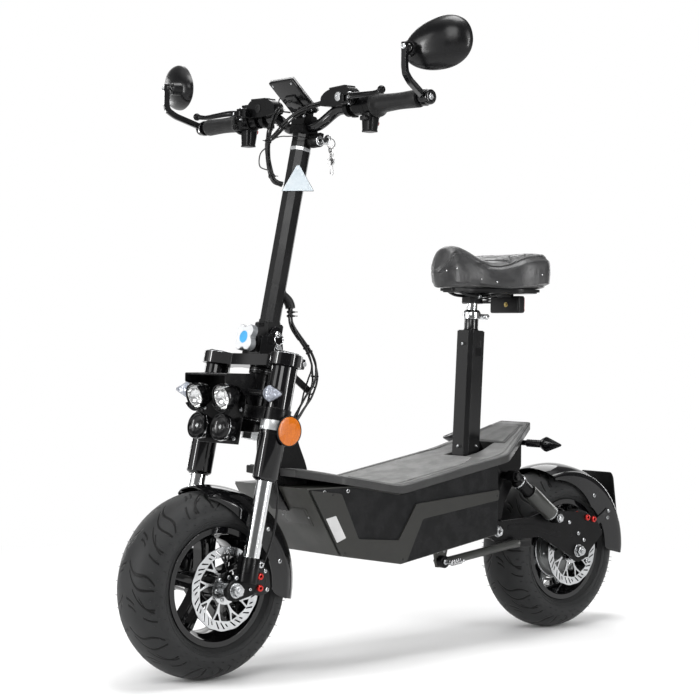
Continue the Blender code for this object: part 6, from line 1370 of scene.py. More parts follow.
def makeHeadlamps():
    bm = bmesh.new()
    dip = scooter["rake"] + lampSet["dip"]
    panelY = lampSet["panelY"]
    face = panelY - 0.0015 - 0.0003
    rise = 0.04 * math.sin(radians(dip))
    add(bm, box((0.1, 0.01, 0.016), (0, face - 0.005, lampSet["lensZ"] + rise - 0.004), 0.0015), forkFrame)
    for side in (left, right):
        spot = forkAt(side * 0.0425, lampSet["lensY"], lampSet["lensZ"]) @ turnX(90 + dip)
        shell = [(0.0236, -0.0016), (0.0242, -0.0003), (0.0256, 0), (0.0262, -0.0012), (0.0262, -0.0138),
            (0.0256, -0.015), (0.0228, -0.0162), (0.0225, -0.023), (0.0205, -0.0275), (0.015, -0.0392),
            (0.0142, -0.04), (0, -0.04), (0, -0.029), (0.012, -0.0272), (0.02, -0.016), (0.0232, -0.006)]
        add(bm, spin(shell, 72), spot)
        for ring in range(4):
            deep = -0.018 - 0.0035 * ring
            fin = rect(0.015, 0.0238 - 0.0012 * ring, deep, deep - 0.0014)
            add(bm, spin(fin, 56, closed=True), spot)
        # Faceted bright bowl, with the lamp's own small centre
        bowl = [(0.0232, -0.003), (0.0222, -0.0072), (0.0198, -0.012), (0.016, -0.0165), (0.011, -0.02),
            (0.006, -0.0216), (0.006, -0.024), (0.0235, -0.01)]
        facets = spin(bowl, 14, closed=True)
        add(bm, facets, spot, 1)
        add(bm, spin([(0, -0.015), (0.0022, -0.0152), (0.004, -0.017), (0.0062, -0.0218), (0, -0.0218)], 32),
            spot, 3)
        add(bm, spin([(0.0085, -0.0128), (0.0098, -0.0122), (0.0104, -0.0132), (0.0092, -0.0142)], 40,
            closed=True), spot, 1)
        glass = [(0, -0.0006), (0.009, -0.001), (0.017, -0.002), (0.0234, -0.0038), (0.0234, -0.0048),
            (0.017, -0.0032), (0.009, -0.0022), (0, -0.0018)]
        add(bm, spin(glass, 72), spot, 2)
        # Brow over the lamp, which shades its upper edge
        brow = arc(0, 0, 0.0272, 25, 155, 30) + arc(0, 0, 0.0259, 155, 25, 30)
        browShape = plate(brow, 0.017, -0.0035, "top")
        add(bm, browShape, spot @ turnZ(180))
        for turn in (-55, 55):
            add(bm, rod(0.0024, -0.012, 0.0006, 16), spot @ turnZ(turn) @ at(0.0252, 0, 0), 4)
    piece("headlamps", bm, "steering", ["glossPlastic", "lampChrome", "clearGlass", "knobWhite", "steel"],
        ("headlamps",), bevel=0.0004)


makeLampBracket()
makeHeadlamps()
print("lamps made")


# Cockpit: sizes on the bar, in metres from the middle, and the bar's own place
cockpit = {"barRadius": 0.0111, "bendStart": 0.034, "bendEnd": 0.104, "barHalf": 0.345, "rise": 0.028,
    "sweep": 0.007, "gripInner": 0.206, "gripOuter": 0.3265, "gripRadius": 0.017, "clampHalf": 0.02,
    "lockFace": 0.05, "mirrorRing": 0.3395, "armSplay": 20.0, "armReach": 0.087, "armHeight": 0.081,
    "ballRadius": 0.0095, "ballSetback": 0.0165, "mirrorTurn": 17.5, "mirrorTilt": 11.5}
barMiddle = forkPoint(0, setback, scooter["barHeight"])
gripY, gripZ = barMiddle.y + cockpit["sweep"], barMiddle.z + cockpit["rise"]
stemTop = scooter["stemTop"]
loomExit = foldZ + 0.1155
lockAt = (setback + 0.006, stemTop + 0.0003 - 0.013)


makeFinish("tagPlate", (0.44, 0.5, 0.54), tone=(0.54, 0.59, 0.62), rough=0.45, skin="machined", scale=400,
    bump=0.05, dust=0.03)
makeFinish("displayGlass", (0.0045, 0.005, 0.006), rough=0.05, spread=0.02, scale=160, bump=0.005, dust=0.02,
    shine=0.6)


def makeStem():
    bm = bmesh.new()
    middle = (0, setback)
    width = 0.038
    chamfer = width * 0.27
    footTop = foldZ + 0.05
    add(bm, plate(octagon(width, chamfer, middle), stemTop - footTop + 0.012, (stemTop + footTop - 0.012) / 2,
        "top"), forkFrame)
    front, rear = setback - width / 2, setback + width / 2
    outline = [(front, footTop - 0.003), (front, foldZ + 0.001)] + arc(foldY, foldZ, 0.0165, 235, 303, 16)
    outline += [(rear, foldZ - 0.008), (rear, footTop - 0.003), (rear - 0.004, footTop),
        (front + 0.004, footTop)]
    foot = plate(outline, 2 * (cheekInner - 0.0003))
    add(bm, foot, forkFrame)
    # Raised seam ring above the foot, and the bright band under the bar
    for low, high, grow, finish in ((footTop - 0.001, footTop + 0.004, 0.0014, 0),
            (stemTop - 0.034, stemTop - 0.027, 0.0006, 1)):
        add(bm, plate(octagon(width + 2 * grow, chamfer + grow * 0.6, middle), high - low, (high + low) / 2,
            "top"), forkFrame, finish)
    # Rubber grommets where the looms go in and come out
    entry = forkAt(0, setback, stemTop - 0.105) @ turnZ(-135)
    leave = forkAt(0, setback, loomExit) @ turnZ(90)
    for spot, out, hole in ((entry, 0.0172, 0.0092), (leave, 0.019, 0.0088)):
        ring = [(hole - 0.0016, out - 0.002), (hole + 0.0012, out - 0.002), (hole + 0.0014, out + 0.0006),
            (hole + 0.0002, out + 0.0014), (hole - 0.0012, out + 0.001)]
        add(bm, spin(ring, 40, closed=True, along="X"), spot, 2)
        add(bm, rod(hole - 0.001, out - 0.004, out + 0.0002, 32, along="X"), spot, 3)
    # Three-cornered plate on the front left corner: dark edge, pale face, eyelet
    corner = forkAt(0, setback, stemTop - 0.094) @ turnZ(45)
    corner = corner @ at(0.0085, 0, -0.0055) @ turnY(-9)
    tag = rounded([(-0.0325, -0.019), (0.0325, -0.019), (0.003, 0.0345), (-0.003, 0.0345)], 0.0022, 3)
    add(bm, plate(tag, 0.0014, -0.02, "front"), corner, 3)
    add(bm, plate(inset(tag, 0.0007), 0.0006, -0.0209, "front"), corner, 4)
    add(bm, spin([(0.0009, -0.0214), (0.0018, -0.0214), (0.002, -0.0211), (0.0009, -0.021)], 20, closed=True,
        along="Y"), corner @ at(0, 0, 0.0275), 1)
    add(bm, rod(0.0009, -0.0213, -0.02, 16, along="Y"), corner @ at(0, 0, 0.0275), 3)
    # Latch pad and bolts on the foot's sides
    for side in (left, right):
        face = side * (cheekInner - 0.0003)
        add(bm, rod(0.0045, *sideSpan(side, abs(face) - 0.002, abs(face) + 0.0001), 24, along="X"),
            forkAt(0, setback, footTop - 0.012), 1)
    piece("stemPost", bm, "stem", ["stemSatin", "silverPaint", "gripRubber", "satinBlack", "tagPlate"],
        ("stem",), bevel=0.0009, segments=3)


def makeBarClamp():
    bm = bmesh.new()
    low, high = stemTop + 0.0003, scooter["barHeight"] + 0.023
    half = cockpit["clampHalf"]
    split = scooter["barHeight"]
    lower = rect(setback - half, setback + half, low, split - 0.0008)
    upper = [(setback - half, split + 0.0008), (setback + half, split + 0.0008),
        (setback + half, high - 0.01), (setback + half - 0.01, high), (setback - half + 0.01, high),
        (setback - half, high - 0.01)]
    for outline in (lower, upper):
        add(bm, plate(outline, 2 * half), forkFrame)
    add(bm, box((2 * half - 0.004, 2 * half - 0.004, 0.004), (0, setback, split)), forkFrame, 1)
    for x in (-0.013, 0.013):
        for y, up in ((setback - half + 0.005, -1), (setback + half - 0.005, 1)):
            tilt = turnX(-45 * up)
            screw(bm, forkAt(x, y, high - 0.0052) @ tilt, 0.0042, 0.0036, 2)
    # Lock: its arm, barrel, bright face and slot
    add(bm, box((0.027, 0.01, 0.0175), (0.034, setback + 0.01, low - 0.0042), 0.0015), forkFrame)
    face = cockpit["lockFace"]
    barrel = [(0, 0.022), (0.0118, 0.022), (0.0125, 0.0235), (0.0125, face - 0.003), (0.0118, face - 0.0018),
        (0, face - 0.0018)]
    add(bm, spin(barrel, 56, along="X"), forkAt(0, *lockAt))
    for ring in range(3):
        add(bm,
            spin([(0.0122, 0.027 + 0.0035 * ring), (0.0129, 0.0275 + 0.0035 * ring),
            (0.0129, 0.0285 + 0.0035 * ring), (0.0122, 0.029 + 0.0035 * ring)], 56, closed=True, along="X"),
            forkAt(0, *lockAt))
    add(bm, spin([(0.0042, face - 0.0022), (0.0098, face - 0.0022), (0.0104, face - 0.0014), (0.0094, face),
        (0.0042, face)], 56, closed=True, along="X"), forkAt(0, *lockAt), 3)
    piece("barClamp", bm, "stem", ["satinBlack", "gripRubber", "steel", "chrome"],
        ("bar_clamp",), bevel=0.0009, segments=3)


def keyOutline(length):
    # A small key: round bow with a hole, and a cut blade
    bow = arc(0, 0, 0.0085, -60, 240, 26)
    cuts = [(-0.003, -0.008), (-0.003, -length), (-0.001, -length - 0.0025), (0.0022, -length + 0.001),
        (0.0016, -length + 0.005), (0.003, -length + 0.007), (0.0018, -length + 0.01),
        (0.003, -length + 0.013), (0.0022, -0.013), (0.003, -0.008)]
    return bow + cuts


makeFinish("keyMetal", (0.2, 0.2, 0.2), metallic=1.0, rough=0.3, skin="machined", scale=600, bump=0.05,
    dust=0.06)
makeFinish("stemSatin", (0.005, 0.005, 0.0053), tone=(0.004, 0.004, 0.0043), rough=0.26, spread=0.03,
    scale=400, bump=0.04, dust=0.02, shine=0.28)


def makeKeys():
    bm = bmesh.new()
    face = cockpit["lockFace"]
    place = forkAt(0, *lockAt)
    add(bm, box((0.0125, 0.0022, 0.0068), (face + 0.0003 + 0.00625, 0, 0), 0.0006), place)
    add(bm, plate(arc(face + 0.02, 0, 0.0105, 0, 354, 59), 0.0024, 0, "front",
        [arc(face + 0.024, 0, 0.0032, 0, 350, 23)]), place)
    add(bm, plate(arc(face + 0.0175, 0, 0.006, 0, 354, 40), 0.0031, 0, "front"), place, 1)
    piece("ignitionKey", bm, "ignition_key", ["chrome", "blackPlastic"], ("ignition_key",),
        bevel=0.0003)
    # The ring through the bow hangs on the stem with a short chain and two more keys
    bm = bmesh.new()
    hole = place @ Vector((face + 0.024, 0, 0))
    ringSize = 0.01
    centre = hole + Vector((0, 0.0071, -0.0071))

    def loop(middle, size, gauge, turn=0.0, stretch=1.0, steps=36):
        points = []
        for k in range(steps):
            a = 2 * math.pi * k / steps
            flat = Vector((size * math.cos(a), stretch * size * math.sin(a)))
            points.append(middle + Vector((math.sin(turn) * flat.x, math.cos(turn) * flat.x, flat.y)))
        add(bm, wire(points, gauge, 8, closed=True))

    loop(centre, ringSize, 0.0008)
    loop(centre + Vector((0.0004, 0, 0)), ringSize - 0.0003, 0.0008, radians(4))
    low = centre + Vector((0, 0, -ringSize))
    for count in range(4):
        loop(low + Vector((0.0, 0.0, -0.003 - 0.0052 * count)), 0.0022, 0.0006, radians(90 * (count % 2)),
            1.65, 20)
    for count, (turn, sway, length) in enumerate(((20, -9, 0.026), (-35, 12, 0.023), (75, 3, 0.02))):
        hang = low + Vector((0, 0, -0.0215)) if count < 2 else low + Vector((0.0, 0.0045, 0.0015))
        tilt = at(*hang) @ turnZ(turn) @ turnY(sway)
        shape = plate(keyOutline(length), 0.0016, 0, "front", [arc(0, 0.0035, 0.0024, 0, 342, 19)])
        add(bm, shape, tilt @ at(0, 0.0012 * (count - 1), -0.0035))
    piece("keyBunch", bm, "stem", ["keyMetal"], bevel=0.0002)


def armPlace(side):
    return at(side * cockpit["mirrorRing"], gripY, gripZ) @ turnZ(side * cockpit["armSplay"])


def mirrorBall(side):
    return armPlace(side) @ Vector((0, cockpit["ballSetback"] - cockpit["armReach"], cockpit["armHeight"]))


def makeHandlebar():
    bm = bmesh.new()
    half = []
    for i in range(19):
        share = i / 18
        ease = (1 - math.cos(math.pi * share)) / 2
        x = cockpit["bendStart"] + (cockpit["bendEnd"] - cockpit["bendStart"]) * share
        half.append((x, barMiddle.y + cockpit["sweep"] * ease, barMiddle.z + cockpit["rise"] * ease))
    half.append((cockpit["barHalf"], gripY, gripZ))
    route = [(-x, y, z) for x, y, z in reversed(half)] + half
    add(bm, wire(route, cockpit["barRadius"], 36))
    reach, height = cockpit["armReach"], cockpit["armHeight"]
    for side in (left, right):
        place = armPlace(side)
        bent = [(-0.004, 0), (-reach * 0.74, 0.0215), (-reach * 0.84, 0.0265), (-reach * 0.96, 0.034),
            (-reach, 0.046), (-reach, height + 0.009)]
        arm = plate(rounded(strip(bent, 0.0062), 0.003), 0.0095)
        add(bm, arm, place)
        # The arm's pressed channel and the eye round the bar's end
        add(bm, plate(rounded(strip([(-0.022, 0.0065), (-reach * 0.8, 0.0245)], 0.003), 0.002), 0.0104),
            place, 1)
        add(bm, spin([(0, -0.0055), (0.0148, -0.0055), (0.016, -0.0042), (0.016, 0.0042), (0.0148, 0.0055),
            (0, 0.0055)], 56, along="X"), place)
        turnOut = outward(side)
        cap = [(0, 0), (0.0145, 0), (0.0145, 0.0105), (0.0138, 0.0135), (0.012, 0.0148), (0.0092, 0.0152),
            (0.0088, 0.013), (0, 0.013)]
        add(bm, spin(cap, 56), at(side * (cockpit["mirrorRing"] + 0.002), gripY, gripZ) @ turnOut)
        screw(bm, at(side * (cockpit["mirrorRing"] + 0.0145), gripY, gripZ) @ turnOut, 0.0062, 0.0028, 2)
        add(bm, spin([(0, -reach), (0.0058, -reach), (0.0058, -reach + 0.004), (0.0045, -reach + 0.005),
            (0.0045, cockpit["ballSetback"] - reach), (0, cockpit["ballSetback"] - reach)], 32, along="Y"),
            place @ at(0, 0, height))
        add(bm, ball(cockpit["ballRadius"], (0, cockpit["ballSetback"] - reach, height), rings=24, sides=36),
            place)
        screw(bm, place @ at(0, -reach - 0.006, height) @ turnX(90), 0.0052, 0.003, 2)
    piece("handlebarTube", bm, "stem", ["glossBlack", "satinBlack", "steel"], ("handlebar",),
        bevel=0.0008, segments=3)


def makeMirror(name, node, side):
    place = at(*mirrorBall(side)) @ turnZ(side * cockpit["mirrorTurn"])
    place @= turnY(-side * cockpit["mirrorTilt"])
    halfLong, halfHigh, deep = 0.0708, 0.048, 0.036
    middle = Vector((side * 0.044, 0.0363, 0))
    bm = bmesh.new()

    def egg(turn, grow, out):
        # A point of the egg outline; the inner end is the narrow one
        x, z = math.cos(turn), math.sin(turn)
        full = 1.0 / (abs(x) ** 2.12 + abs(z) ** 2.12) ** (1 / 2.12)
        x, z = x * full * (halfLong - grow), z * full * (halfHigh - grow)
        return Vector((x, out, z * (1 + 0.17 * side * x / halfLong)))

    shell = bmesh.new()
    count = 72
    stack = []
    # From the rim's inner edge round its rolled lip and over the back to the pole
    for grow, out in ((0.0068, -0.003), (0.006, -0.0004), (0.004, 0.0), (0.0016, -0.0006), (0.0002, -0.002)):
        stack.append([egg(2 * math.pi * k / count, grow, out) for k in range(count)])
    for step in range(1, 15):
        a = math.pi / 2 * step / 15
        shrink = math.cos(a) ** 0.9
        stack.append([Vector((p.x * shrink, -0.002 - (deep - 0.002) * math.sin(a), p.z * shrink))
            for p in (egg(2 * math.pi * k / count, 0.0, 0.0) for k in range(count))])
    rows = [[shell.verts.new(middle + p) for p in loop] for loop in stack]
    joinRows(shell, rows)
    pole = shell.verts.new(middle + Vector((0, -deep, 0)))
    for j in range(count):
        shell.faces.new((rows[-1][j], rows[-1][(j + 1) % count], pole))
    shell.faces.new(rows[0][::-1])
    add(bm, shell, place)
    glass = bmesh.new()
    stack = [[middle + egg(2 * math.pi * k / count, 0.007, -0.0036) for k in range(count)]]
    for share in (0.999, 0.8, 0.6, 0.4, 0.2):
        stack.append([middle + Vector((p.x * share, -0.0016 + 0.0012 * (1 - share**2), p.z * share))
            for p in (egg(2 * math.pi * k / count, 0.007, 0.0) for k in range(count))])
    rows = [[glass.verts.new(p) for p in loop] for loop in stack]
    joinRows(glass, rows)
    glass.faces.new(rows[0][::-1])
    glass.faces.new(rows[-1])
    add(bm, glass, place, 1)
    cup = [(0.0098, -0.0036), (0.0118, -0.0044), (0.0134, -0.0034), (0.014, 0.002), (0.015, 0.012),
        (0.0172, 0.022), (0.01, 0.022), (0.0098, 0.01)]
    add(bm, spin(cup, 48, closed=True, along="Y"), place)
    piece(name, bm, node, ["mirrorShell", "mirrorGlass"], (node,), bevel=0.0)


def makeGrip(name, node, side, body):
    bm = bmesh.new()
    lie = cockpit["gripOuter"] - cockpit["gripInner"]
    radius = cockpit["gripRadius"]
    bore = cockpit["barRadius"] + 0.0002
    profile = [(radius - 0.0022, lie), (radius - 0.0002, lie - 0.0012), (radius + 0.0004, lie - 0.004)]
    for step in range(1, 16):
        share = step / 16
        profile.append((radius + 0.0004 - 0.0017 * math.sin(math.pi * share) ** 1.2 + 0.0006 * share,
            lie - 0.004 - (lie - 0.022) * share))
    profile += [(radius + 0.0014, 0.016), (radius + 0.003, 0.0125), (radius + 0.0055, 0.0096),
        (0.0243, 0.008), (0.025, 0.0062), (0.025, 0.0022), (0.0243, 0.0006), (0.0225, 0), (bore, 0),
        (bore, lie)]
    place = at(side * cockpit["gripInner"], gripY, gripZ) @ outward(side)
    add(bm, spin(profile, 72, closed=True), place)
    # Shallow ribs round the palm's underside
    for count in range(16):
        turn = radians(22.5 * count)
        rib = []
        for s in range(9):
            reach = radius - 0.0006 - 0.001 * math.sin(math.pi * s / 8)
            rib.append((reach * math.cos(turn), reach * math.sin(turn), 0.03 + 0.076 * s / 8))
        add(bm, wire(rib, 0.0009, 8), place)
    piece(name, bm, body, ["gripRubber"], (node,), bevel=0)


leverPivot = Vector((0.168, gripY - 0.036, gripZ + 0.012))


def makePerch(name, node, side):
    bm = bmesh.new()
    mirror = Matrix.Diagonal((side, 1, 1, 1))
    y, z = gripY, gripZ
    outline = [(0.072, z + 0.006), (0.112, z + 0.002), (0.166, z + 0.004), (0.166, z + 0.022),
        (0.158, z + 0.031), (0.148, z + 0.0385), (0.096, z + 0.0365), (0.084, z + 0.0325), (0.072, z + 0.024)]
    add(bm, plate(rounded(outline, 0.005), 0.025, y - 0.015, "front"), mirror)
    # Reservoir lid with two screws, and the round cover on the front face
    lid = [(0.098, 0.0366), (0.147, 0.0384), (0.1455, 0.0412), (0.0995, 0.0396)]
    add(bm, plate(rounded([(a, z + b) for a, b in lid], 0.0012), 0.0268, y - 0.015, "front"), mirror, 1)
    for x in (0.106, 0.139):
        screw(bm, mirror @ at(x, y - 0.015, z + 0.0398 + 0.001 * (x > 0.12)), 0.003, 0.0014, 2)
    cover = [(0, 0), (0.0092, 0), (0.0092, 0.0008), (0.0082, 0.0016), (0.004, 0.0019), (0.0036, 0.0008),
        (0, 0.0008)]
    add(bm, spin(cover, 40), mirror @ at(0.124, y - 0.0275, z + 0.0205) @ turnX(90), 2 if side == left else 1)
    # Bar clamp with its two bolts
    add(bm, spin([(0.0111, 0.124), (0.0165, 0.124), (0.0175, 0.1252), (0.0175, 0.1348), (0.0165, 0.136),
        (0.0111, 0.136)], 48, closed=True, along="X"), mirror @ at(0, y, z))
    add(bm, spin([(0.0111, 0.15), (0.016, 0.15), (0.0168, 0.151), (0.0168, 0.17), (0.0111, 0.17)], 48,
        closed=True, along="X"), mirror @ at(0, y, z))
    for up in (0.0135, -0.0135):
        add(bm, box((0.012, 0.01, 0.008), (0.13, y + 0.013, z + up), 0.0015), mirror)
        screw(bm, mirror @ at(0.13, y + 0.0178, z + up) @ turnX(-90), 0.003, 0.0024, 2)
    # Lever ears, their neck and bolt
    for rise in (-0.008, 0.008):
        ear = rounded(rect(leverPivot.x - 0.014, leverPivot.x + 0.008, leverPivot.y - 0.008,
            leverPivot.y + 0.008), 0.004)
        add(bm, plate(ear, 0.004, leverPivot.z + rise, "top"), mirror)
    add(bm, box((0.012, 0.022, 0.019), (leverPivot.x - 0.016, leverPivot.y + 0.004, leverPivot.z), 0.0015),
        mirror)
    add(bm, rod(0.003, -0.0105, 0.0105, 24), mirror @ at(*leverPivot), 2)
    screw(bm, mirror @ at(*leverPivot) @ at(0, 0, 0.0098), 0.0046, 0.0026, 2)
    add(bm, rod(0.0042, -0.0128, -0.0098, 6), mirror @ at(*leverPivot), 2)
    # Hose union where the cables leave
    add(bm, rod(0.0062, 0.065, 0.073, 6, along="X"), mirror @ at(0, y - 0.016, z + 0.0145), 1)
    # Switch housing: a split ring and a shaped pod
    ringStart, ringEnd = 0.1705, cockpit["gripInner"] - 0.0027
    add(bm,
        spin([(0.0111, ringStart), (0.019, ringStart), (0.0205, ringStart + 0.0018),
        (0.0205, (ringStart + ringEnd) / 2 - 0.0006), (0.0196, (ringStart + ringEnd) / 2),
        (0.0205, (ringStart + ringEnd) / 2 + 0.0006), (0.0205, ringEnd - 0.0018), (0.019, ringEnd),
        (0.0111, ringEnd)], 56, closed=True, along="X"), mirror @ at(0, y, z))
    pod = grid(32, 10, lambda u,
        v: Vector((0.188 + (0.015 - 0.0022 * v * v) * podEdge(u)[0], y + 0.002 + (0.015 - 0.0035 * v)
        * podEdge(u)[1] - 0.003 * v, z - 0.01 - 0.04 * v)), wrapAcross=True, capEnds=True)
    add(bm, pod, mirror)
    add(bm, plate(octagon(0.0255, 0.004, (0.188, y - 0.001)), 0.003, z - 0.0505, "top"), mirror, 1)
    for dx, dz, size in ((-0.006, -0.02, 0.0048), (0.006, -0.02, 0.0048)):
        button = [(0, 0), (size, 0), (size, 0.0018), (size - 0.0008, 0.0028), (0, 0.0031)]
        add(bm, spin(button, 28), mirror @ at(0.188 + dx, y + 0.015, z + dz) @ turnX(-90), 3 if dx < 0 else 1)
    if side == right:
        # The throttle side carries a second switch block on top and a rocker in front
        add(bm, box((0.02, 0.022, 0.016), (0.186, y - 0.004, z + 0.0265), 0.003), mirror)
        add(bm, box((0.014, 0.012, 0.005), (0.186, y + 0.002, z + 0.034), 0.0015), mirror, 1)
        for dx in (-0.01, 0.01):
            add(bm, rod(0.0062, -0.03, -0.012, 28, along="Y"), mirror @ at(0.188 + dx, y, z - 0.012), 1)
            add(bm, rod(0.005, -0.0315, -0.0295, 28, along="Y"), mirror @ at(0.188 + dx, y, z - 0.012))
    else:
        add(bm, box((0.016, 0.014, 0.009), (0.188, y - 0.014, z - 0.026), 0.002), mirror, 1)
        add(bm, rod(0.0072, y + 0.016, y + 0.0166, 32, along="Y"), mirror @ at(0.188, 0, z - 0.034), 1)
    piece(name, bm, "stem", ["satinBlack", "blackPlastic", "steel", "redPlastic"], (node,),
        bevel=0.0009, segments=3)


def podEdge(u):
    # A rounded square outline
    turn = 2 * math.pi * u
    x, y = math.cos(turn), math.sin(turn)
    full = 1.0 / (abs(x) ** 4 + abs(y) ** 4) ** 0.25
    return x * full, y * full


def makeHornButton():
    bm = bmesh.new()
    face = gripY + 0.017
    button = [(0, gripY + 0.0106), (0.0054, gripY + 0.0106), (0.0055, face + 0.0016), (0.0047, face + 0.0028),
        (0.0025, face + 0.003), (0, face + 0.0027)]
    add(bm, spin(button, 40, along="Y"), at(0.188, 0, gripZ - 0.034))
    piece("hornButton", bm, "horn_button", ["redPlastic"], ("horn_button",), bevel=0)


def makeBrakeLever(name, node, side):
    bm = bmesh.new()
    mirror = Matrix.Diagonal((side, 1, 1, 1))
    knots = [leverPivot + Vector(p) for p in ((0.003, -0.002, 0), (0.022, -0.014, 0.001),
        (0.06, -0.022, -0.001), (0.095, -0.021, -0.001), (0.118, -0.026, 0.002))]
    route = routePoints(knots, 8)
    blade = wire(route, lambda s: 0.0056 - 0.0016 * min(1.0, s * 1.4) + 0.004 * max(0.0, s - 0.8), 20)
    for vert in blade.verts:
        vert.co.z = leverPivot.z + (vert.co.z - leverPivot.z) * 1.18
    add(bm, blade, mirror)
    add(bm, spin([(0.0033, -0.0057), (0.0068, -0.0057), (0.0075, -0.005), (0.0075, 0.005), (0.0068, 0.0057),
        (0.0033, 0.0057)], 40, closed=True), mirror @ at(*leverPivot))
    add(bm, ball(0.0078, route[-1], rings=20, sides=28), mirror)
    screw(bm, mirror @ at(leverPivot.x + 0.01, leverPivot.y - 0.0125, leverPivot.z) @ turnX(90), 0.0028,
        0.0022, 1)
    piece(name, bm, node, ["satinBlack", "steel"], (node,), bevel=0)


def makeDisplay():
    bm = bmesh.new()
    footZ = scooter["barHeight"] + 0.023 + 0.0003
    add(bm, box((0.026, 0.022, 0.014), (0, setback - 0.003, footZ + 0.007), 0.002), forkFrame)
    centre = forkPoint(0, setback - 0.003, footZ + 0.012) + Vector((0, -0.033, 0.024))
    place = at(*centre) @ turnX(-41)
    add(bm, box((0.072, 0.09, 0.0075), (0, 0, -0.0018), 0.003, 4), place)
    add(bm, box((0.0728, 0.0908, 0.0012), (0, 0, 0.0026), 0.0005), place, 1)
    add(bm, box((0.0712, 0.0892, 0.0026), (0, 0, 0.0042), 0.001), place)
    add(bm, box((0.06, 0.07, 0.0008), (0, 0.005, 0.0055), 0.0003), place, 2)
    # Rider's buttons, and ribs and screws on the back
    for x in (-0.018, 0, 0.018):
        add(bm, spin([(0, 0), (0.0042, 0), (0.0042, 0.001), (0.0034, 0.0018), (0, 0.0019)], 24),
            place @ at(x, -0.0375, 0.0052), 3)
    for x, y in ((-0.028, -0.036), (0.028, -0.036), (-0.028, 0.036), (0.028, 0.036)):
        screw(bm, place @ at(x, y, -0.005) @ turnX(180), 0.0026, 0.0012, 4)
    add(bm, box((0.03, 0.04, 0.0045), (0, 0.012, -0.007), 0.0012), place)
    add(bm, rod(0.006, -0.014, -0.004, 20), place @ at(0, 0.03, 0), 3)
    piece("displayPanel", bm, "stem", ["glossPlastic", "paleFilm", "displayGlass", "gripRubber", "steel"],
        ("display",), bevel=0.0004)


makeStem()
makeBarClamp()
makeKeys()
makeHandlebar()
makeMirror("mirrorLeft", "mirror_left", left)
makeMirror("mirrorRight", "mirror_right", right)
makeGrip("gripLeft", "grip_left", left, "stem")
makeGrip("gripThrottle", "throttle_grip", right, "throttle_grip")
makePerch("perchLeft", "perch_left", left)
makePerch("perchRight", "perch_right", right)
makeHornButton()
makeBrakeLever("leverLeft", "brake_lever_left", left)
makeBrakeLever("leverRight", "brake_lever_right", right)
makeDisplay()
print("cockpit made")


# Frame: tub, side covers, neck, board and mat
frameSizes = {"tubHalf": 0.112, "coverThick": 0.007, "recess": 0.004, "deckThick": 0.016, "deckHalf": 0.1225,
    "neckRoom": 0.0275, "mastSize": 0.05, "mastHeight": 0.276, "postRadius": 0.0115}
noseTop = (frontY + 0.1634, 0.362)
noseLow = (frontY + 0.248, 0.226)
belly = (frontY + 0.415, 0.197)
tubRear, tubRearLow = rearY - 0.288, 0.238
ledgeY = frontY + 0.283
tubOutline = [noseTop, noseLow, belly, (tubRear, tubRearLow)]
tubOutline += [(y, deckLow(y) - 0.0003) for y in (tubRear, valleyY, ledgeY)]
holeFront = mastY - frameSizes["mastSize"] / 2 - 0.008
holeRear = mastY + frameSizes["mastSize"] / 2 + 0.032


def makeTubDetails():
    # The sheet box keeps its form; its plate, label, rivets and bolts are set on it
    tub = dressed("frame_tub", "satinFrame", 0.0016, segments=3, more=["satinBlack"])
    for face in tub.data.polygons:
        face.material_index = 1 if face.center.y > tubRear - 0.0005 else 0
    bm = bmesh.new()
    along = Vector((0, noseLow[0] - noseTop[0], noseLow[1] - noseTop[1])).normalized()
    out = Vector((0, -along.z, along.y)) if along.z > 0 else Vector((0, along.z, -along.y))
    spot = Vector((0.036, noseTop[0], noseTop[1])) + along * 0.0705
    place = at(*spot) @ Matrix((Vector((1, 0, 0)), -along, out)).transposed().to_4x4()
    add(bm, plate(rounded(rect(-0.0425, 0.0425, -0.021, 0.021), 0.003), 0.0008, 0.0003, "top"), place)
    add(bm, plate(rounded(rect(-0.036, 0.036, -0.017, 0.017), 0.002), 0.0004, 0.0009, "top"), place, 1)
    for x in (-0.0395, 0.0395):
        add(bm, ball(0.0022, (x, 0, 0.0006), (1, 1, 0.6), 12, 16), place, 2)
    # Bright button bolts under the board's front edge
    for side in (left, right):
        for y in (frontY + 0.207, frontY + 0.268):
            screw(bm, at(side * 0.1125, y, 0.3535 + 0.0001) @ outward(side) @ at(0, 0, -0.0004), 0.0052,
                0.0034, 2)
    piece("tubPlates", bm, "frame", ["satinFrame", "platePaint", "steel"], bevel=0.0002)


makeFinish("platePaint", (0.052, 0.052, 0.048), tone=(0.04, 0.04, 0.037), rough=0.3, scale=500, bump=0.06,
    dust=0.03)
makeFinish("coverGrain", (0.006, 0.0062, 0.0068), tone=(0.004, 0.0042, 0.0047), rough=0.55, skin="hide",
    scale=420, bump=0.55, depth=0.0007, dust=0.03, shine=0.16)
makeFinish("bandSatin", (0.021, 0.021, 0.019), tone=(0.017, 0.017, 0.0155), rough=0.4, skin="moulded",
    scale=1600, bump=0.1, depth=0.0002, dust=0.02, shine=0.3)


makeFinish("mastGloss", (0.0038, 0.0038, 0.0042), tone=(0.003, 0.003, 0.0034), rough=0.2, spread=0.03,
    scale=260, bump=0.02, dust=0.02, shine=0.45)


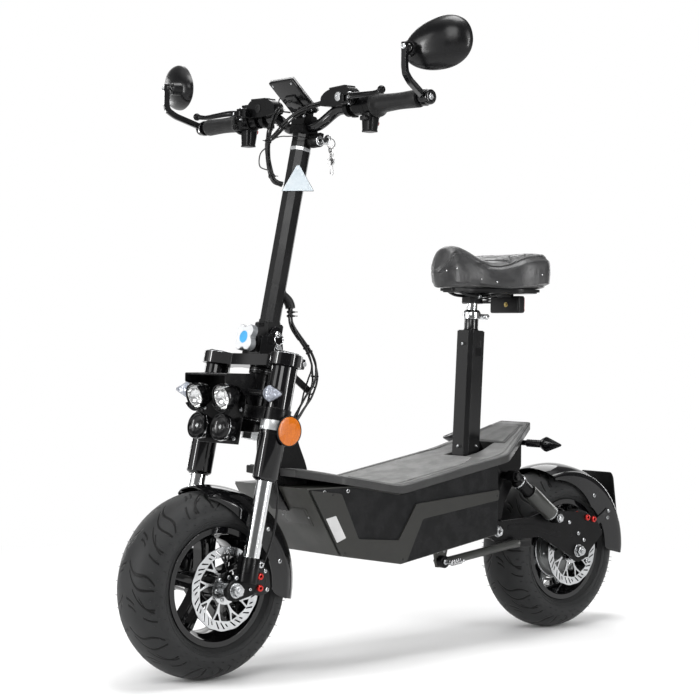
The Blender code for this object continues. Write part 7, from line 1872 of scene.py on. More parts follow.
def makeSideCover(name, node, side):
    bm = bmesh.new()
    face = frameSizes["tubHalf"] + 0.0003
    thick, recess = frameSizes["coverThick"], frameSizes["recess"]
    whole = inset(tubOutline, 0.0022)
    base = thick - recess
    add(bm, plate(rounded(whole, 0.004), base, side * (face + base / 2)), finish=1)
    # One raised band: down the nose, along the belly, and up to the rear; the rest stays sunk
    raised = [whole[0], whole[1], whole[2], (frontY + 0.426, 0.2025), (frontY + 0.471, 0.286),
        (rearY - 0.2925, 0.312), (rearY - 0.2905, 0.334), (frontY + 0.452, 0.318), (frontY + 0.403, 0.247),
        (frontY + 0.294, 0.257), (frontY + 0.248, 0.349)]
    add(bm, plate(rounded(raised, 0.005, 6), recess + 0.001, side * (face + base + (recess - 0.001) / 2)))
    # Bare pale label on the front band, and small screws
    if side == left:
        label = [(-0.3056, 0.3024), (-0.2766, 0.2537), (-0.2532, 0.2618), (-0.2798, 0.3067)]
        add(bm, plate(rounded(label, 0.0015), 0.0004, side * (face + thick + 0.0001)), finish=2)
    turnOut = outward(side)
    for y, z in ((frontY + 0.2585, 0.232), (frontY + 0.4155, 0.208), (rearY - 0.2965, 0.322),
            (frontY + 0.225, 0.348)):
        screw(bm, at(side * (face + thick - 0.0003), y, z) @ turnOut, 0.0024, 0.0008, 3)
    piece(name, bm, "frame", ["bandSatin", "coverGrain", "paleFilm", "gripRubber"], (node,),
        bevel=0.0016, segments=3, limit=40)


def makeNeck():
    bm = bmesh.new()
    low, high = scooter["lowerCrown"] + 0.0205 + 0.0003, scooter["upperCrown"] - 0.0003
    tube = [(0.015, high), (0.0228, high), (0.0235, high - 0.0008), (0.0235, high - 0.012),
        (0.0228, high - 0.0128), (0.0212, high - 0.014), (0.021, high - 0.015), (0.021, low + 0.015),
        (0.0212, low + 0.014), (0.0228, low + 0.0128), (0.0235, low + 0.012), (0.0235, low + 0.0008),
        (0.0228, low), (0.015, low)]
    add(bm, spin(tube, 64, closed=True), forkAt(0, setback, 0))
    for edge in (high - 0.0064, low + 0.0064):
        add(bm, spin([(0.0233, edge - 0.0005), (0.024, edge), (0.0233, edge + 0.0005)], 64, closed=True),
            forkAt(0, setback, 0), 1)

    def inFork(y, z):
        p = forkPoint(0, y, z)
        return (p.y, p.z)

    slope = (noseLow[0] - noseTop[0]) / (noseTop[1] - noseLow[1])
    drop = 0.05
    face = noseTop[0] - 0.0006
    rear = frontY + 0.2374
    outline = [inFork(setback, high - 0.012), inFork(setback, low + 0.008),
        inFork(setback + 0.034, low + 0.003), (frontY + 0.149, 0.4), (face - 0.0075, noseTop[1]),
        (face + drop * slope - 0.004, noseTop[1] - drop), (face + drop * slope, noseTop[1] - drop),
        (face, noseTop[1] + 0.0003), (rear, noseTop[1] + 0.0003), (rear, 0.3933), (rear - 0.006, 0.4095),
        (rear - 0.02, 0.439), (frontY + 0.1734, 0.56)]
    add(bm, plate(outline, 0.0515))
    # Raised edge flanges and a weld bead where the beam meets the head tube
    for side in (left, right):
        flange = [outline[3], outline[4], (outline[4][0] + 0.0045, outline[4][1]),
            (outline[3][0] + 0.0045, outline[3][1])]
        add(bm, plate(flange, 0.0015, side * 0.0262))
        bead = [forkPoint(side * 0.0205, setback + 0.0055 + 0.0006 * math.sin(9 * k),
            low + 0.014 + (high - low - 0.03) * k / 40) for k in range(41)]
        add(bm, wire(bead, lambda share: 0.0021 + 0.0003 * math.sin(90 * share), 8))
    route = [(frontY + 0.158, 0.545), (frontY + 0.208, 0.574), (frontY + 0.247, 0.546)]
    add(bm, plate(rounded(strip(route, 0.007), 0.004), 0.004, 0.02))
    ring = [Vector((0.029 + 0.0088 * math.sin(a), frontY + 0.244 + 0.0088 * math.cos(a) * 0.42,
        0.549 + 0.0088 * math.cos(a) * 0.9)) for a in (2 * math.pi * k / 36 for k in range(36))]
    add(bm, wire(ring, 0.0013, 10, closed=True), finish=2)
    piece("neckBeam", bm, "frame", ["satinBlack", "steel", "gripRubber"], ("neck",),
        bevel=0.0012, segments=3)


def smoothDeck(y):
    # The board's underside with its two bends softened
    total = 0.0
    for step in range(-6, 7):
        total += deckLow(y + 0.003 * step)
    return total / 13


def onDeck(bm, outline, low, high, finish, edge=0.0, segments=4, holes=()):
    # A flat layer cut across at close steps and then bent to the board's line
    shape = plate(outline, high - low, (high + low) / 2, "top", holes)
    bmesh.ops.recalc_face_normals(shape, faces=shape.faces)
    if edge:
        rim = [e for e in shape.edges if min(v.co.z for v in e.verts) > high
            - 1e-5 and any(abs(f.normal.z) < 0.5 for f in e.link_faces)]
        bmesh.ops.bevel(shape, geom=rim, offset=edge, segments=segments, affect="EDGES", profile=0.5,
            material=-1, clamp_overlap=True)
    ys = [v.co.y for v in shape.verts]
    y = min(ys) + 0.006
    while y < max(ys) - 0.003:
        bmesh.ops.bisect_plane(shape, geom=shape.verts[:] + shape.edges[:] + shape.faces[:],
            plane_co=(0, y, 0), plane_no=(0, 1, 0))
        y += 0.0065
    for vert in shape.verts:
        vert.co.z += smoothDeck(vert.co.y)
    add(bm, shape, finish=finish)


def boardOutline(less):
    nose = noseTop[0]
    half = [(frameSizes["neckRoom"] + less, frontY + 0.2405 + less),
        (frameSizes["neckRoom"] + less, nose + less), (0.078 - 0.3 * less, nose + less),
        (0.114 - 0.8 * less, frontY + 0.232 + 0.4 * less),
        (frameSizes["deckHalf"] - less, frontY + 0.25 + 0.3 * less),
        (frameSizes["deckHalf"] - less, tailBendY), (0.045 - 0.6 * less, tailEndY - less)]
    return bothHalves(half)


def makeBoard():
    bm = bmesh.new()
    thick = frameSizes["deckThick"]
    opening = rect(-0.031, 0.031, holeFront, holeRear)
    onDeck(bm, rounded(boardOutline(0.0), 0.006), 0.0, thick - 0.0006, 1, edge=0.0058,
        holes=[rounded(opening, 0.004)])
    # Top skin, ridges and front steps: the board's plastic painted lighter than its body, as painted top
    # light
    onDeck(bm, rounded(boardOutline(0.0068), 0.006), thick - 0.004, thick + 0.0006, 0, edge=0.0016,
        segments=2, holes=[rounded(rect(-0.0335, 0.0335, holeFront - 0.0025, holeRear + 0.0025), 0.004)])
    for side in (left, right):
        # Soft ridge that runs beside the mat and turns in over the tail
        line = [(side * 0.1065, frontY + 0.276), (side * 0.1065, frontY + 0.395),
            (side * 0.1085, frontY + 0.42), (side * 0.106, tailBendY - 0.03),
            (side * 0.098, tailBendY + 0.004), (side * 0.046, tailEndY - 0.03)]
        ridge = rounded(strip(line if side == left else line[::-1], 0.0042), 0.006, 5)
        onDeck(bm, ridge, thick - 0.001, thick + 0.003, 0, edge=0.0026)
        # Moulded step at the front corner
        step = [(side * 0.082, frontY + 0.176), (side * 0.1, frontY + 0.216), (side * 0.1, frontY + 0.258),
            (side * 0.06, frontY + 0.236), (side * 0.04, frontY + 0.2), (side * 0.04, frontY + 0.176)]
        onDeck(bm, rounded(step if side == left else step[::-1], 0.006), thick - 0.001, thick + 0.002, 0,
            edge=0.0016, segments=3)
    # Tail: a dark frame round its own rough pad, the pad painted pale grey as painted sheen
    frameLine = [(0.066, tailBendY + 0.046), (0.04, tailEndY - 0.018), (-0.04, tailEndY - 0.018),
        (-0.066, tailBendY + 0.046)]
    onDeck(bm, rounded(frameLine, 0.005), thick - 0.001, thick + 0.0016, 1, edge=0.001, segments=2)
    inner = [(0.054, tailBendY + 0.052), (0.034, tailEndY - 0.027), (-0.034, tailEndY - 0.027),
        (-0.054, tailBendY + 0.052)]
    onDeck(bm, rounded(inner, 0.004), thick, thick + 0.0026, 2, edge=0.0008, segments=2)
    piece("boardShell", bm, "frame", ["deckTopPaintedLight", "deckBorder", "deckMatPaintedSheen"], ("footboard",),
        bevel=0)
    bm = bmesh.new()
    front = frontY + 0.262
    half = [(0.05, front), (0.094, front + 0.06), (0.0945, holeFront - 0.088), (0.09, holeFront - 0.062),
        (0.078, holeFront - 0.034), (0.062, holeFront - 0.01)]
    # The mat sheet's pale grey is painted sheen of the top light
    onDeck(bm, rounded(bothHalves(half), 0.01), thick + 0.0003, thick + 0.0028, 0, edge=0.0012, segments=3)
    piece("matSheet", bm, "frame", ["deckMatPaintedSheen"], ("grip_mat",), bevel=0)


def makeMast():
    bm = bmesh.new()
    size, height = frameSizes["mastSize"], frameSizes["mastHeight"]
    foot = (deckLow(mastY) - 0.084 - mastBase) / math.cos(radians(scooter["seatLean"])) + 0.0015
    add(bm, plate(octagon(size, 0.0082), height - foot - 0.0015, (height + foot) / 2 - 0.00075, "top"),
        seatFrame)
    add(bm, plate(octagon(size - 0.0045, 0.0072), 0.004, height - 0.0018, "top"), seatFrame)
    neckTube = [(frameSizes["postRadius"] + 0.0003, height - 0.003), (0.0155, height - 0.003),
        (0.0155, height + 0.0322), (0.015, height + 0.033),
        (frameSizes["postRadius"] + 0.0003, height + 0.033)]
    add(bm, spin(neckTube, 56, closed=True), seatFrame)
    add(bm, spin([(0.015, height), (0.0178, height), (0.0164, height + 0.0018), (0.0154, height + 0.0034),
        (0.015, height + 0.0034)], 56, closed=True), seatFrame)
    half = size / 2
    gusset = rounded([(half - 0.003, -0.02), (half + 0.026, -0.012), (half + 0.026, 0.02),
        (half - 0.003, 0.06)], 0.003)
    add(bm, plate(gusset, 0.006), seatFrame)
    frontTurn = turnX(90)
    # Slots with their bolts on the front and left faces
    for x, z in ((0.002, height - 0.03), (0.002, 0.022)):
        slot = rounded(rect(x - 0.01, x + 0.01, z - 0.0036, z + 0.0036), 0.0034)
        add(bm, plate(slot, 0.0006, -half - 0.0001, "front"), seatFrame, 1)
        screw(bm, seatFrame @ at(x - 0.0015, -half - 0.0002, z) @ frontTurn, 0.0034, 0.0022, 2)
    for side in (left, right):
        turnOut = outward(side)
        for y, z in ((0.006, 0.024), (0.008, -0.004)):
            screw(bm, seatFrame @ at(side * half, y, z) @ turnOut, 0.0032, 0.0022, 2)
        slot = rounded(rect(0.003, 0.009, height - 0.035, height - 0.021), 0.0028)
        add(bm, plate(slot, 0.0006, side * (half + 0.0001)), seatFrame, 1)
        add(bm, plate(rounded(rect(-0.009, 0.009, height - 0.056, height - 0.038), 0.002), 0.0006,
            side * (half + 0.0001)), seatFrame, 3)
    piece("mastPost", bm, "frame", ["mastGloss", "gripRubber", "steel", "satinBlack"],
        ("seat_mast",), bevel=0.0011, segments=3)


def makeSeatClamp():
    bm = bmesh.new()
    post = frameSizes["postRadius"]
    level = frameSizes["mastHeight"] + 0.033
    outer = post + 0.008
    collar = [(post + 0.0003, level + 0.012), (outer - 0.0045, level + 0.012),
        (outer - 0.003, level + 0.0112), (outer - 0.0004, level + 0.0068), (outer, level + 0.0058),
        (outer, level - 0.0072), (outer - 0.001, level - 0.008), (post + 0.0043, level - 0.008),
        (post + 0.0043, level + 0.0003), (post + 0.0003, level + 0.0003)]
    add(bm, spin(collar, 72, closed=True), seatFrame)
    for side in (left, right):
        add(bm, box((0.0066, 0.024, 0.012), (side * 0.0047, outer + 0.008, level - 0.001), 0.0015), seatFrame)
    add(bm, rod(0.003, -0.0165, 0.0165, 24, along="X"), seatFrame @ at(0, outer + 0.014, level - 0.001))
    add(bm,
        spin([(0, 0.008), (0.0056, 0.008), (0.0062, 0.0086), (0.0062, 0.016), (0.005, 0.0176),
        (0.0036, 0.018), (0, 0.018)], 12, along="X"), seatFrame @ at(0, outer + 0.014, level - 0.001))
    add(bm, rod(0.0055, -0.0125, -0.008, 6, along="X"), seatFrame @ at(0, outer + 0.014, level - 0.001))
    piece("mastClamp", bm, "frame", ["chrome"], ("seat_clamp",), bevel=0.0004)


makeTubDetails()
makeSideCover("coverLeft", "side_cover_left", left)
makeSideCover("coverRight", "side_cover_right", right)
makeNeck()
makeBoard()
makeMast()
makeSeatClamp()
print("frame made")


# Seat: chrome post, pan with its clamp, rails and lamp, and the leather saddle
saddle = {"rings": 120, "round": 144, "tuft": 0.0022, "seam": 0.0024, "hang": 0.0095, "lift": 0.006}
saddleBase, saddleLength, saddleHalf = scooter["saddleBase"], scooter["saddleLength"], scooter["saddleHalf"]
saddleFront = mastY - 0.1
saddleBack = saddleFront + saddleLength
postTop = (saddleBase - 0.018 - mastBase) / math.cos(radians(scooter["seatLean"]))


def makeSeatPost():
    bm = bmesh.new()
    start = frameSizes["mastHeight"] - 0.106
    radius = frameSizes["postRadius"]
    profile = [(0, start), (radius - 0.001, start), (radius, start + 0.001), (radius, postTop - 0.001),
        (radius - 0.001, postTop), (0, postTop)]
    add(bm, spin(profile, 64), seatFrame)
    for count in range(6):
        level = frameSizes["mastHeight"] + 0.052 + 0.01 * count
        add(bm,
            spin([(radius - 0.0003, level), (radius + 0.00015, level + 0.0003),
            (radius - 0.0003, level + 0.0006)], 64, closed=True), seatFrame, 1)
    piece("seatTube", bm, "seat_post", ["chrome", "steel"], ("seat_post",), bevel=0)


def saddleWidth(share):
    nose = 0.04 * math.sqrt(max(0.0, 1 - (1 - min(share / 0.16, 1.0)) ** 2))
    swell = 1 / (1 + math.exp(-(share - 0.5) * 13))
    back = math.sqrt(max(0.0, 1 - max(0.0, (share - 0.86) / 0.14) ** 2))
    return (nose + (saddleHalf - 0.04) * swell) * (0.4 + 0.6 * back)


def saddleTop(share):
    nose = 0.056 * math.exp(-((share - 0.2) / (0.21 if share < 0.2 else 0.25)) ** 2)
    rear = (0.047 + saddle["lift"]) / (1 + math.exp(-(share - 0.56) * 14))
    ends = math.sqrt(max(0.0, 1 - max(0.0, (share - 0.92) / 0.08) ** 2)) * math.sqrt(min(1.0, share / 0.12))
    return (0.022 + nose + rear) * (0.45 + 0.55 * ends)


def saddlePoint(share, turn):
    # The cushion's skin, with its side seam, the sewn rear panel and light creases
    share = min(max(share, 0.004), 0.996)
    half = saddleWidth(share)
    top = saddleTop(share)
    broad = min(1.0, max(0.0, (share - 0.35) / 0.3))
    c, s = math.cos(turn), math.sin(turn)
    if s >= 0:
        x = half * math.copysign(abs(c) ** (0.8 - 0.28 * broad), c)
        z = top * s ** (0.75 - 0.3 * broad)
        across = abs(x) / half
        z -= 0.009 * broad * (1 - across * across) * (across < 0.95)
        x *= 1 - 0.03 * math.exp(-((s - 0.55) / 0.12) ** 2)
        seam = math.exp(-((s - seamHeight(share)) / 0.022) ** 2)
        x *= 1 - saddle["seam"] * seam / max(half, 0.01)
        z -= saddle["seam"] * seam * 0.8
        if share > 0.56 and s > 0.72:
            # Diamond quilting, flat towards the panel's own seam
            a = (x / 0.026 + (share - 0.58) * saddleLength / 0.022) % 1.0
            b = (x / 0.026 - (share - 0.58) * saddleLength / 0.022) % 1.0
            groove = max(math.exp(-(min(a, 1 - a) / 0.075) ** 2), math.exp(-(min(b, 1 - b) / 0.075) ** 2))
            fade = min(1.0, (share - 0.56) / 0.05) * min(1.0, (s - 0.72) / 0.06)
            fade *= min(1.0, max(0.0, (0.955 - share) / 0.03))
            z -= saddle["tuft"] * groove * fade
            z += 0.001 * (1 - groove) * fade
        front = math.exp(-((share - 0.565) / 0.008) ** 2) * min(1.0, max(0.0, (s - 0.6) / 0.1))
        z -= saddle["seam"] * front
    else:
        x = half * 0.88 * c
        z = -0.013 * abs(s) ** 0.35
    if s > -0.1:
        crease = noise.noise(Vector((9 * share, 4 * c + 7, 3 * s)))
        crease += 0.5 * noise.noise(Vector((31 * share, 9 * c, 6 * s)))
        x += 0.0009 * crease * (1 - s)
        z += 0.0007 * crease * min(1.0, share * 4)
    hang = saddle["hang"] * math.sin(math.pi * min(1.0, max(0.0, (share - 0.26) / 0.6))) ** 2
    z -= hang * max(0.0, 1 - abs(s) / 0.35)
    if z < shellLine(share):
        x *= 1 - 0.0016 / max(half, 0.01)
        z -= 0.0004
    lean = 0.26 * max(0.0, 1 - share / 0.35) - 0.07 * max(0.0, (share - 0.7) / 0.3)
    y = saddleFront + saddleLength * share + lean * (0.03 - z)
    return Vector((x, y, saddleBase + z))


def shellLine(share):
    # Below this height over the base the saddle is its plastic shell: high at the nose, and again at the rear
    knots = [(0, 0.016), (0.05, 0.029), (0.1, 0.03), (0.2, 0.012), (0.34, -0.001), (0.46, -0.02),
        (0.78, -0.02), (0.85, 0.001), (0.94, 0.01), (1, 0.01)]
    for (a, low), (b, high) in zip(knots, knots[1:]):
        if share <= b:
            return low + (high - low) * (share - a) / (b - a)
    return knots[-1][1]


def seamHeight(share):
    # The side seam starts high on the nose, dips in the waist and rises round the rear panel
    nose = 0.16 * math.exp(-((share - 0.16) / 0.1) ** 2)
    waist = 0.06 * math.exp(-((share - 0.5) / 0.12) ** 2)
    return 0.62 + nose - waist + 0.06 * min(1.0, max(0.0, (share - 0.6) / 0.2))


def makeSaddle():
    shape = bmesh.new()
    shares = []
    for i in range(saddle["rings"] + 1):
        share = i / saddle["rings"]
        shares.append(0.4 * share + 0.3 * (1 - math.cos(math.pi * share)))
    rows = []
    for share in shares:
        rows.append([shape.verts.new(saddlePoint(share, 2 * math.pi * j / saddle["round"]))
            for j in range(saddle["round"])])
    for i, (one, two) in enumerate(zip(rows, rows[1:])):
        for j in range(saddle["round"]):
            k = (j + 1) % saddle["round"]
            face = shape.faces.new((one[j], one[k], two[k], two[j]))
            middle = face.calc_center_median().z - saddleBase
            if middle < shellLine(0.5 * (shares[i] + shares[i + 1])) - 0.0002:
                face.material_index = 3
    for end in (rows[0][::-1], rows[-1]):
        face = shape.faces.new(end)
        face.material_index = 3
    bm = bmesh.new()
    add(bm, shape, keep=True)
    # Stitches in pairs beside the seams, and bright studs along the lower edge
    for side in (left, right):
        for count in range(58):
            share = 0.1 + 0.84 * count / 57
            turnSeam = math.asin(min(0.99, seamHeight(share)))
            for away in (-0.045, 0.045):
                turn = turnSeam + away
                turn = turn if side == left else math.pi - turn
                one, two = saddlePoint(share, turn), saddlePoint(share + 0.009, turn)
                add(bm, wire([one, one.lerp(two, 0.5) + Vector((side * 0.0003, 0, 0.0003)), two], 0.00042, 5),
                    finish=1)
        for share, turn in ((0.045, 0.46), (0.115, 0.3), (0.35, 0.06), (0.46, 0.04), (0.8, 0.05),
                (0.9, 0.16)):
            spot = saddlePoint(share, turn if side == left else math.pi - turn)
            add(bm, ball(0.0018, rings=12, sides=16), at(*(spot + Vector((-side * 0.0005, 0, 0)))), 2)
    for count in range(26):
        turn = 0.95 + (math.pi - 1.9) * count / 25
        for away in (-0.012, 0.012):
            one, two = saddlePoint(0.565 + away, turn), saddlePoint(0.565 + away, turn + 0.035)
            add(bm, wire([one, one.lerp(two, 0.5) + Vector((0, 0, 0.0004)), two], 0.00042, 5), finish=1)
    obj = piece("saddleCushion", bm, "seat_post", ["hide", "stitchThread", "chrome", "glossPlastic"],
        ("saddle",), bevel=0)


def makeTailLampFinish():
    mat = makeFinish("redLens", (0.42, 0.012, 0.01), tone=(0.34, 0.009, 0.008), rough=0.12, spread=0.04,
        scale=300, bump=0.01, dust=0.02)
    tree = mat.node_tree
    shader = tree.nodes["Principled BSDF"]
    prisms = addNode(tree, "TexVoronoi", {"Vector": objectPlace(tree), "Scale": 260.0},
        distance="CHEBYCHEV").outputs["Distance"]
    bump = addNode(tree, "Bump", {"Height": prisms, "Strength": 0.7, "Distance": 0.001})
    tree.links.new(bump.outputs[0], shader.inputs["Normal"])


makeTailLampFinish()
makeFinish("zincYellow", (0.55, 0.42, 0.16), metallic=0.9, rough=0.32, skin="machined", scale=500, bump=0.08,
    dust=0.05)


def makeSaddleBase():
    bm = bmesh.new()
    wide = saddleHalf - 0.024
    panLow = saddleBase - 0.013 - 0.0003
    half = [(0.022, saddleFront + 0.036), (0.03, saddleFront + 0.085), (wide - 0.004, saddleBack - 0.1),
        (wide, saddleBack - 0.088), (wide, saddleBack - 0.036), (wide - 0.03, saddleBack - 0.012)]
    outline = rounded(bothHalves(half), 0.008)
    add(bm, plate(outline, 0.006, panLow - 0.003, "top"))
    add(bm, plate(inset(outline, 0.006), 0.003, panLow - 0.0072, "top"))
    head = seatFrame @ Vector((0, 0, postTop))
    add(bm, plate(octagon(0.04, 0.008), 0.0135, postTop - 0.0038, "top"), seatFrame)
    add(bm, plate(octagon(0.04, 0.008), 0.0135, postTop - 0.0202, "top"), seatFrame)
    add(bm, spin(rect(frameSizes["postRadius"] + 0.0003, 0.0165, postTop - 0.0275, postTop + 0.003), 48,
        closed=True), seatFrame)
    for side in (left, right):
        rail = routePoints([(side * 0.016, saddleFront + 0.055, panLow - 0.004),
            (side * 0.02, head.y - 0.03, panLow - 0.014), (side * 0.02, head.y + 0.035, panLow - 0.014),
            (side * 0.038, saddleBack - 0.075, panLow - 0.004)], 10)
        add(bm, wire(rail, 0.0035, 16))
        add(bm, rod(0.0062, *sideSpan(side, 0.0185, 0.0225), 6, along="X"),
            seatFrame @ at(0, 0.0, postTop - 0.012), 1)
        screw(bm, seatFrame @ at(side * 0.0198, 0.0, postTop - 0.012) @ outward(side), 0.0048, 0.0052, 1)
    # Black coil springs between the pan and the clamp
    for side in (left, right):
        middle = Vector((side * 0.0315, head.y + 0.012, panLow - 0.007))
        coil = [middle + Vector((0.0085 * math.cos(k * 0.35), 0.0085 * math.sin(k * 0.35), -0.0003 * k))
            for k in range(72)]
        add(bm, wire(coil, 0.0015, 8))
        add(bm, spin([(0, -0.0285), (0.007, -0.0285), (0.0078, -0.0275), (0.0078, -0.0235), (0, -0.0235)],
            24), at(*(middle + Vector((0, 0, 0.0035)))))
        add(bm, box((0.026, 0.01, 0.004), (side * 0.026, head.y + 0.012, panLow - 0.03), 0.001))
    lampY = saddleBack - 0.037
    add(bm, box((0.04, 0.012, 0.016), (0, lampY - 0.008, panLow - 0.008), 0.0015))
    add(bm, box((0.088, 0.0215, 0.038), (0, lampY - 0.0016, panLow - 0.032), 0.0042, 4))
    add(bm, box((0.082, 0.0045, 0.0315), (0, lampY + 0.01, panLow - 0.032), 0.002, 4), finish=2)
    add(bm, box((0.03, 0.002, 0.01), (0, lampY + 0.0118, panLow - 0.032), 0.0008, 2), finish=4)
    add(bm, spin([(0, 0), (0.005, 0), (0.0056, 0.0006), (0.005, 0.0012), (0, 0.0012)], 28),
        at(0.006, lampY - 0.0122, panLow - 0.032) @ turnX(90), 3)
    add(bm, rod(0.0036, 0.001, 0.0036, 6), at(0.006, lampY - 0.0122, panLow - 0.032) @ turnX(90), 3)
    piece("saddlePan", bm, "seat_post", ["blackPlastic", "steel", "redLens", "zincYellow", "clearLens"],
        ("saddle_base",), bevel=0.0006)


def makeRearIndicators():
    bm = bmesh.new()
    y = rearY - 0.163
    z = deckLow(y) - 0.0072
    add(bm, rod(0.006, -0.09, 0.09, 32, along="X"), at(0, y, z))
    for side in (left, right):
        for ring in range(8):
            start = 0.082 + 0.0052 * ring
            add(bm,
                spin([(0, start), (0.0078, start), (0.0085, start + 0.0014), (0.007, start + 0.005),
                (0, start + 0.005)], 28, along="X"), at(0, y, z) @ (world if side == left else turnZ(180)))
        indicatorShapes(bm, at(side * 0.122, y, z) @ turnX(180), 0.058, side, 1, 0)
        add(bm, box((0.012, 0.016, 0.01), (side * 0.03, y, z + 0.0015), 0.0015))
        screw(bm, at(side * 0.03, y - 0.0078, z) @ turnX(90), 0.003, 0.002, 2)
    piece("rearIndicators", bm, "frame", ["glossPlastic", "amberLens", "steel"],
        ("rear_indicators",), bevel=0.0004)


makeSeatPost()
makeSaddleBase()
makeSaddle()
makeRearIndicators()
print("seat made")


# Swing arm with its bolts, the pivot bolt and the shocks
armSet = {"inner": 0.082, "thick": 0.008, "pivotY": rearY - 0.2654, "pivotZ": 0.241, "shockPlane": 0.1085,
    "shockRadius": 0.017}
shockTop = (rearY - 0.2364, 0.36)
shockLow = (rearY - 0.0974, 0.2615)


def makePivotAxle():
    bm = bmesh.new()
    outer = armSet["inner"] + armSet["thick"]
    place = at(0, armSet["pivotY"], armSet["pivotZ"])
    add(bm, rod(0.0079, -outer - 0.004, outer + 0.004, 48, along="X"), place)
    for side in (left, right):
        spot = place @ at(side * (outer + 0.0003), 0, 0) @ outward(side)
        add(bm, spin([(0, 0), (0.0122, 0), (0.0125, 0.0004), (0.0125, 0.0018), (0.012, 0.0022), (0, 0.0022)],
            48), spot)
        add(bm, rod(0.0115, 0.002, 0.0072, 6), spot @ Matrix.Rotation(0.3, 4, "Z"))
        add(bm, spin([(0.004, 0.007), (0.0098, 0.007), (0.009, 0.0084), (0.0052, 0.0087), (0.0048, 0.0074)],
            40, closed=True), spot)
        add(bm, rod(0.0046, 0.006, 0.0076, 6), spot, 1)
    piece("pivotBolt", bm, "frame", ["steel", "gripRubber"], ("pivot_axle",), bevel=0.0004)


def studShapes(bm, side, place):
    # Stud with its collar, and a domed nut outside the shock's eye
    plane = armSet["shockPlane"]
    add(bm, rod(0.0059, *sideSpan(side, 0.076, plane + 0.014), 32, along="X"), place, 1)
    add(bm, rod(0.0085, *sideSpan(side, 0.077, plane - 0.0123), 36, along="X"), place, 1)
    spot = place @ at(side * (plane + 0.0124), 0, 0) @ outward(side)
    add(bm, spin(rect(0, 0.0094, 0, 0.0012), 40), spot, 1)
    add(bm, rod(0.0088, 0.001, 0.0046, 6), spot @ Matrix.Rotation(0.2, 4, "Z"), 1)
    add(bm, spin([(0, 0.0057), (0.003, 0.0055), (0.0058, 0.0048), (0.007, 0.004), (0.007, 0.003), (0, 0.003)],
        32), spot, 1)


def makeSwingArm():
    bm = bmesh.new()
    pivot = (armSet["pivotY"] - rearY, armSet["pivotZ"] - tyreRadius)
    lowY, lowZ = shockLow[0] - rearY, shockLow[1] - tyreRadius
    outline = arc(*pivot, 0.0215, 80, 275, 26)
    corner = rounded([outline[-1], (-0.125, 0.04), (-0.018, -0.014), (0.0, -0.026), (0.024, -0.02),
        (0.052, 0.006), (0.086, 0.034), (0.064, 0.066), (0.03, 0.084), (lowY + 0.03, lowZ + 0.013),
        (lowY - 0.004, lowZ + 0.016), (lowY - 0.06, lowZ + 0.003), outline[0]], 0.006, 4)
    outline = outline[:-1] + corner[4:-5]
    for side in (left, right):
        middle = side * (armSet["inner"] + armSet["thick"] / 2)
        add(bm, plate(outline, armSet["thick"], middle), rearHub)
        face = side * (armSet["inner"] + armSet["thick"])
        # A pressed rib along the arm, and its bolts
        rib = rounded(strip([(-0.232, 0.068), (-0.15, 0.064), (-0.06, 0.04)], 0.006), 0.005)
        add(bm, plate(rib, 0.0018, face), rearHub)
        bolts = [(0.442, 0.246), (0.473, 0.219), (0.492, 0.203), (0.474, 0.181), (0.504, 0.155)]
        for y, z in bolts:
            dy, dz = y - 0.4735, z - 0.18
            if math.hypot(dy, dz) > 0.018:
                screw(bm, rearHub @ at(face, dy, dz) @ outward(side), 0.0046, 0.0034, 1)
        if side == left:
            for dy, dz in ((0.03, 0.073), (0.052, 0.068)):
                spot = rearHub @ at(face, dy, dz) @ outward(side)
                add(bm,
                    spin([(0.003, 0.0012), (0.003, 0.005), (0.0054, 0.005), (0.0068, 0.004), (0.007, 0.0026),
                    (0.007, 0), (0, 0), (0, 0.0012)], 32), spot, 2)
        studShapes(bm, side, at(0, *shockLow))
    add(bm, rod(0.014, -armSet["inner"] - 0.001, armSet["inner"] + 0.001, 48, along="X"),
        at(0, rearY - 0.214, 0.24))
    for side in (left, right):
        ring = hoop(side * 0.0815, 0, 0, 0.0148, 48)
        add(bm, wire(ring, 0.0018, 8, closed=True), at(0, rearY - 0.214, 0.24))
    piece("swingArmPlates", bm, "swingarm", ["satinBlack", "steel", "redAlloy"], ("swingarm",),
        bevel=0.0012, segments=3)


def shockPlace(side):
    run = Vector((0, shockLow[0] - shockTop[0], shockLow[1] - shockTop[1]))
    lean = math.atan2(run.y, -run.z)
    place = at(side * armSet["shockPlane"], *shockTop) @ Matrix.Rotation(lean, 4, "X") @ turnX(180)
    return place, run.length


makeFinish("shockGrey", (0.045, 0.046, 0.043), tone=(0.037, 0.038, 0.036), metallic=0.3, rough=0.34,
    scale=500, bump=0.06, dust=0.03, shine=0.4)


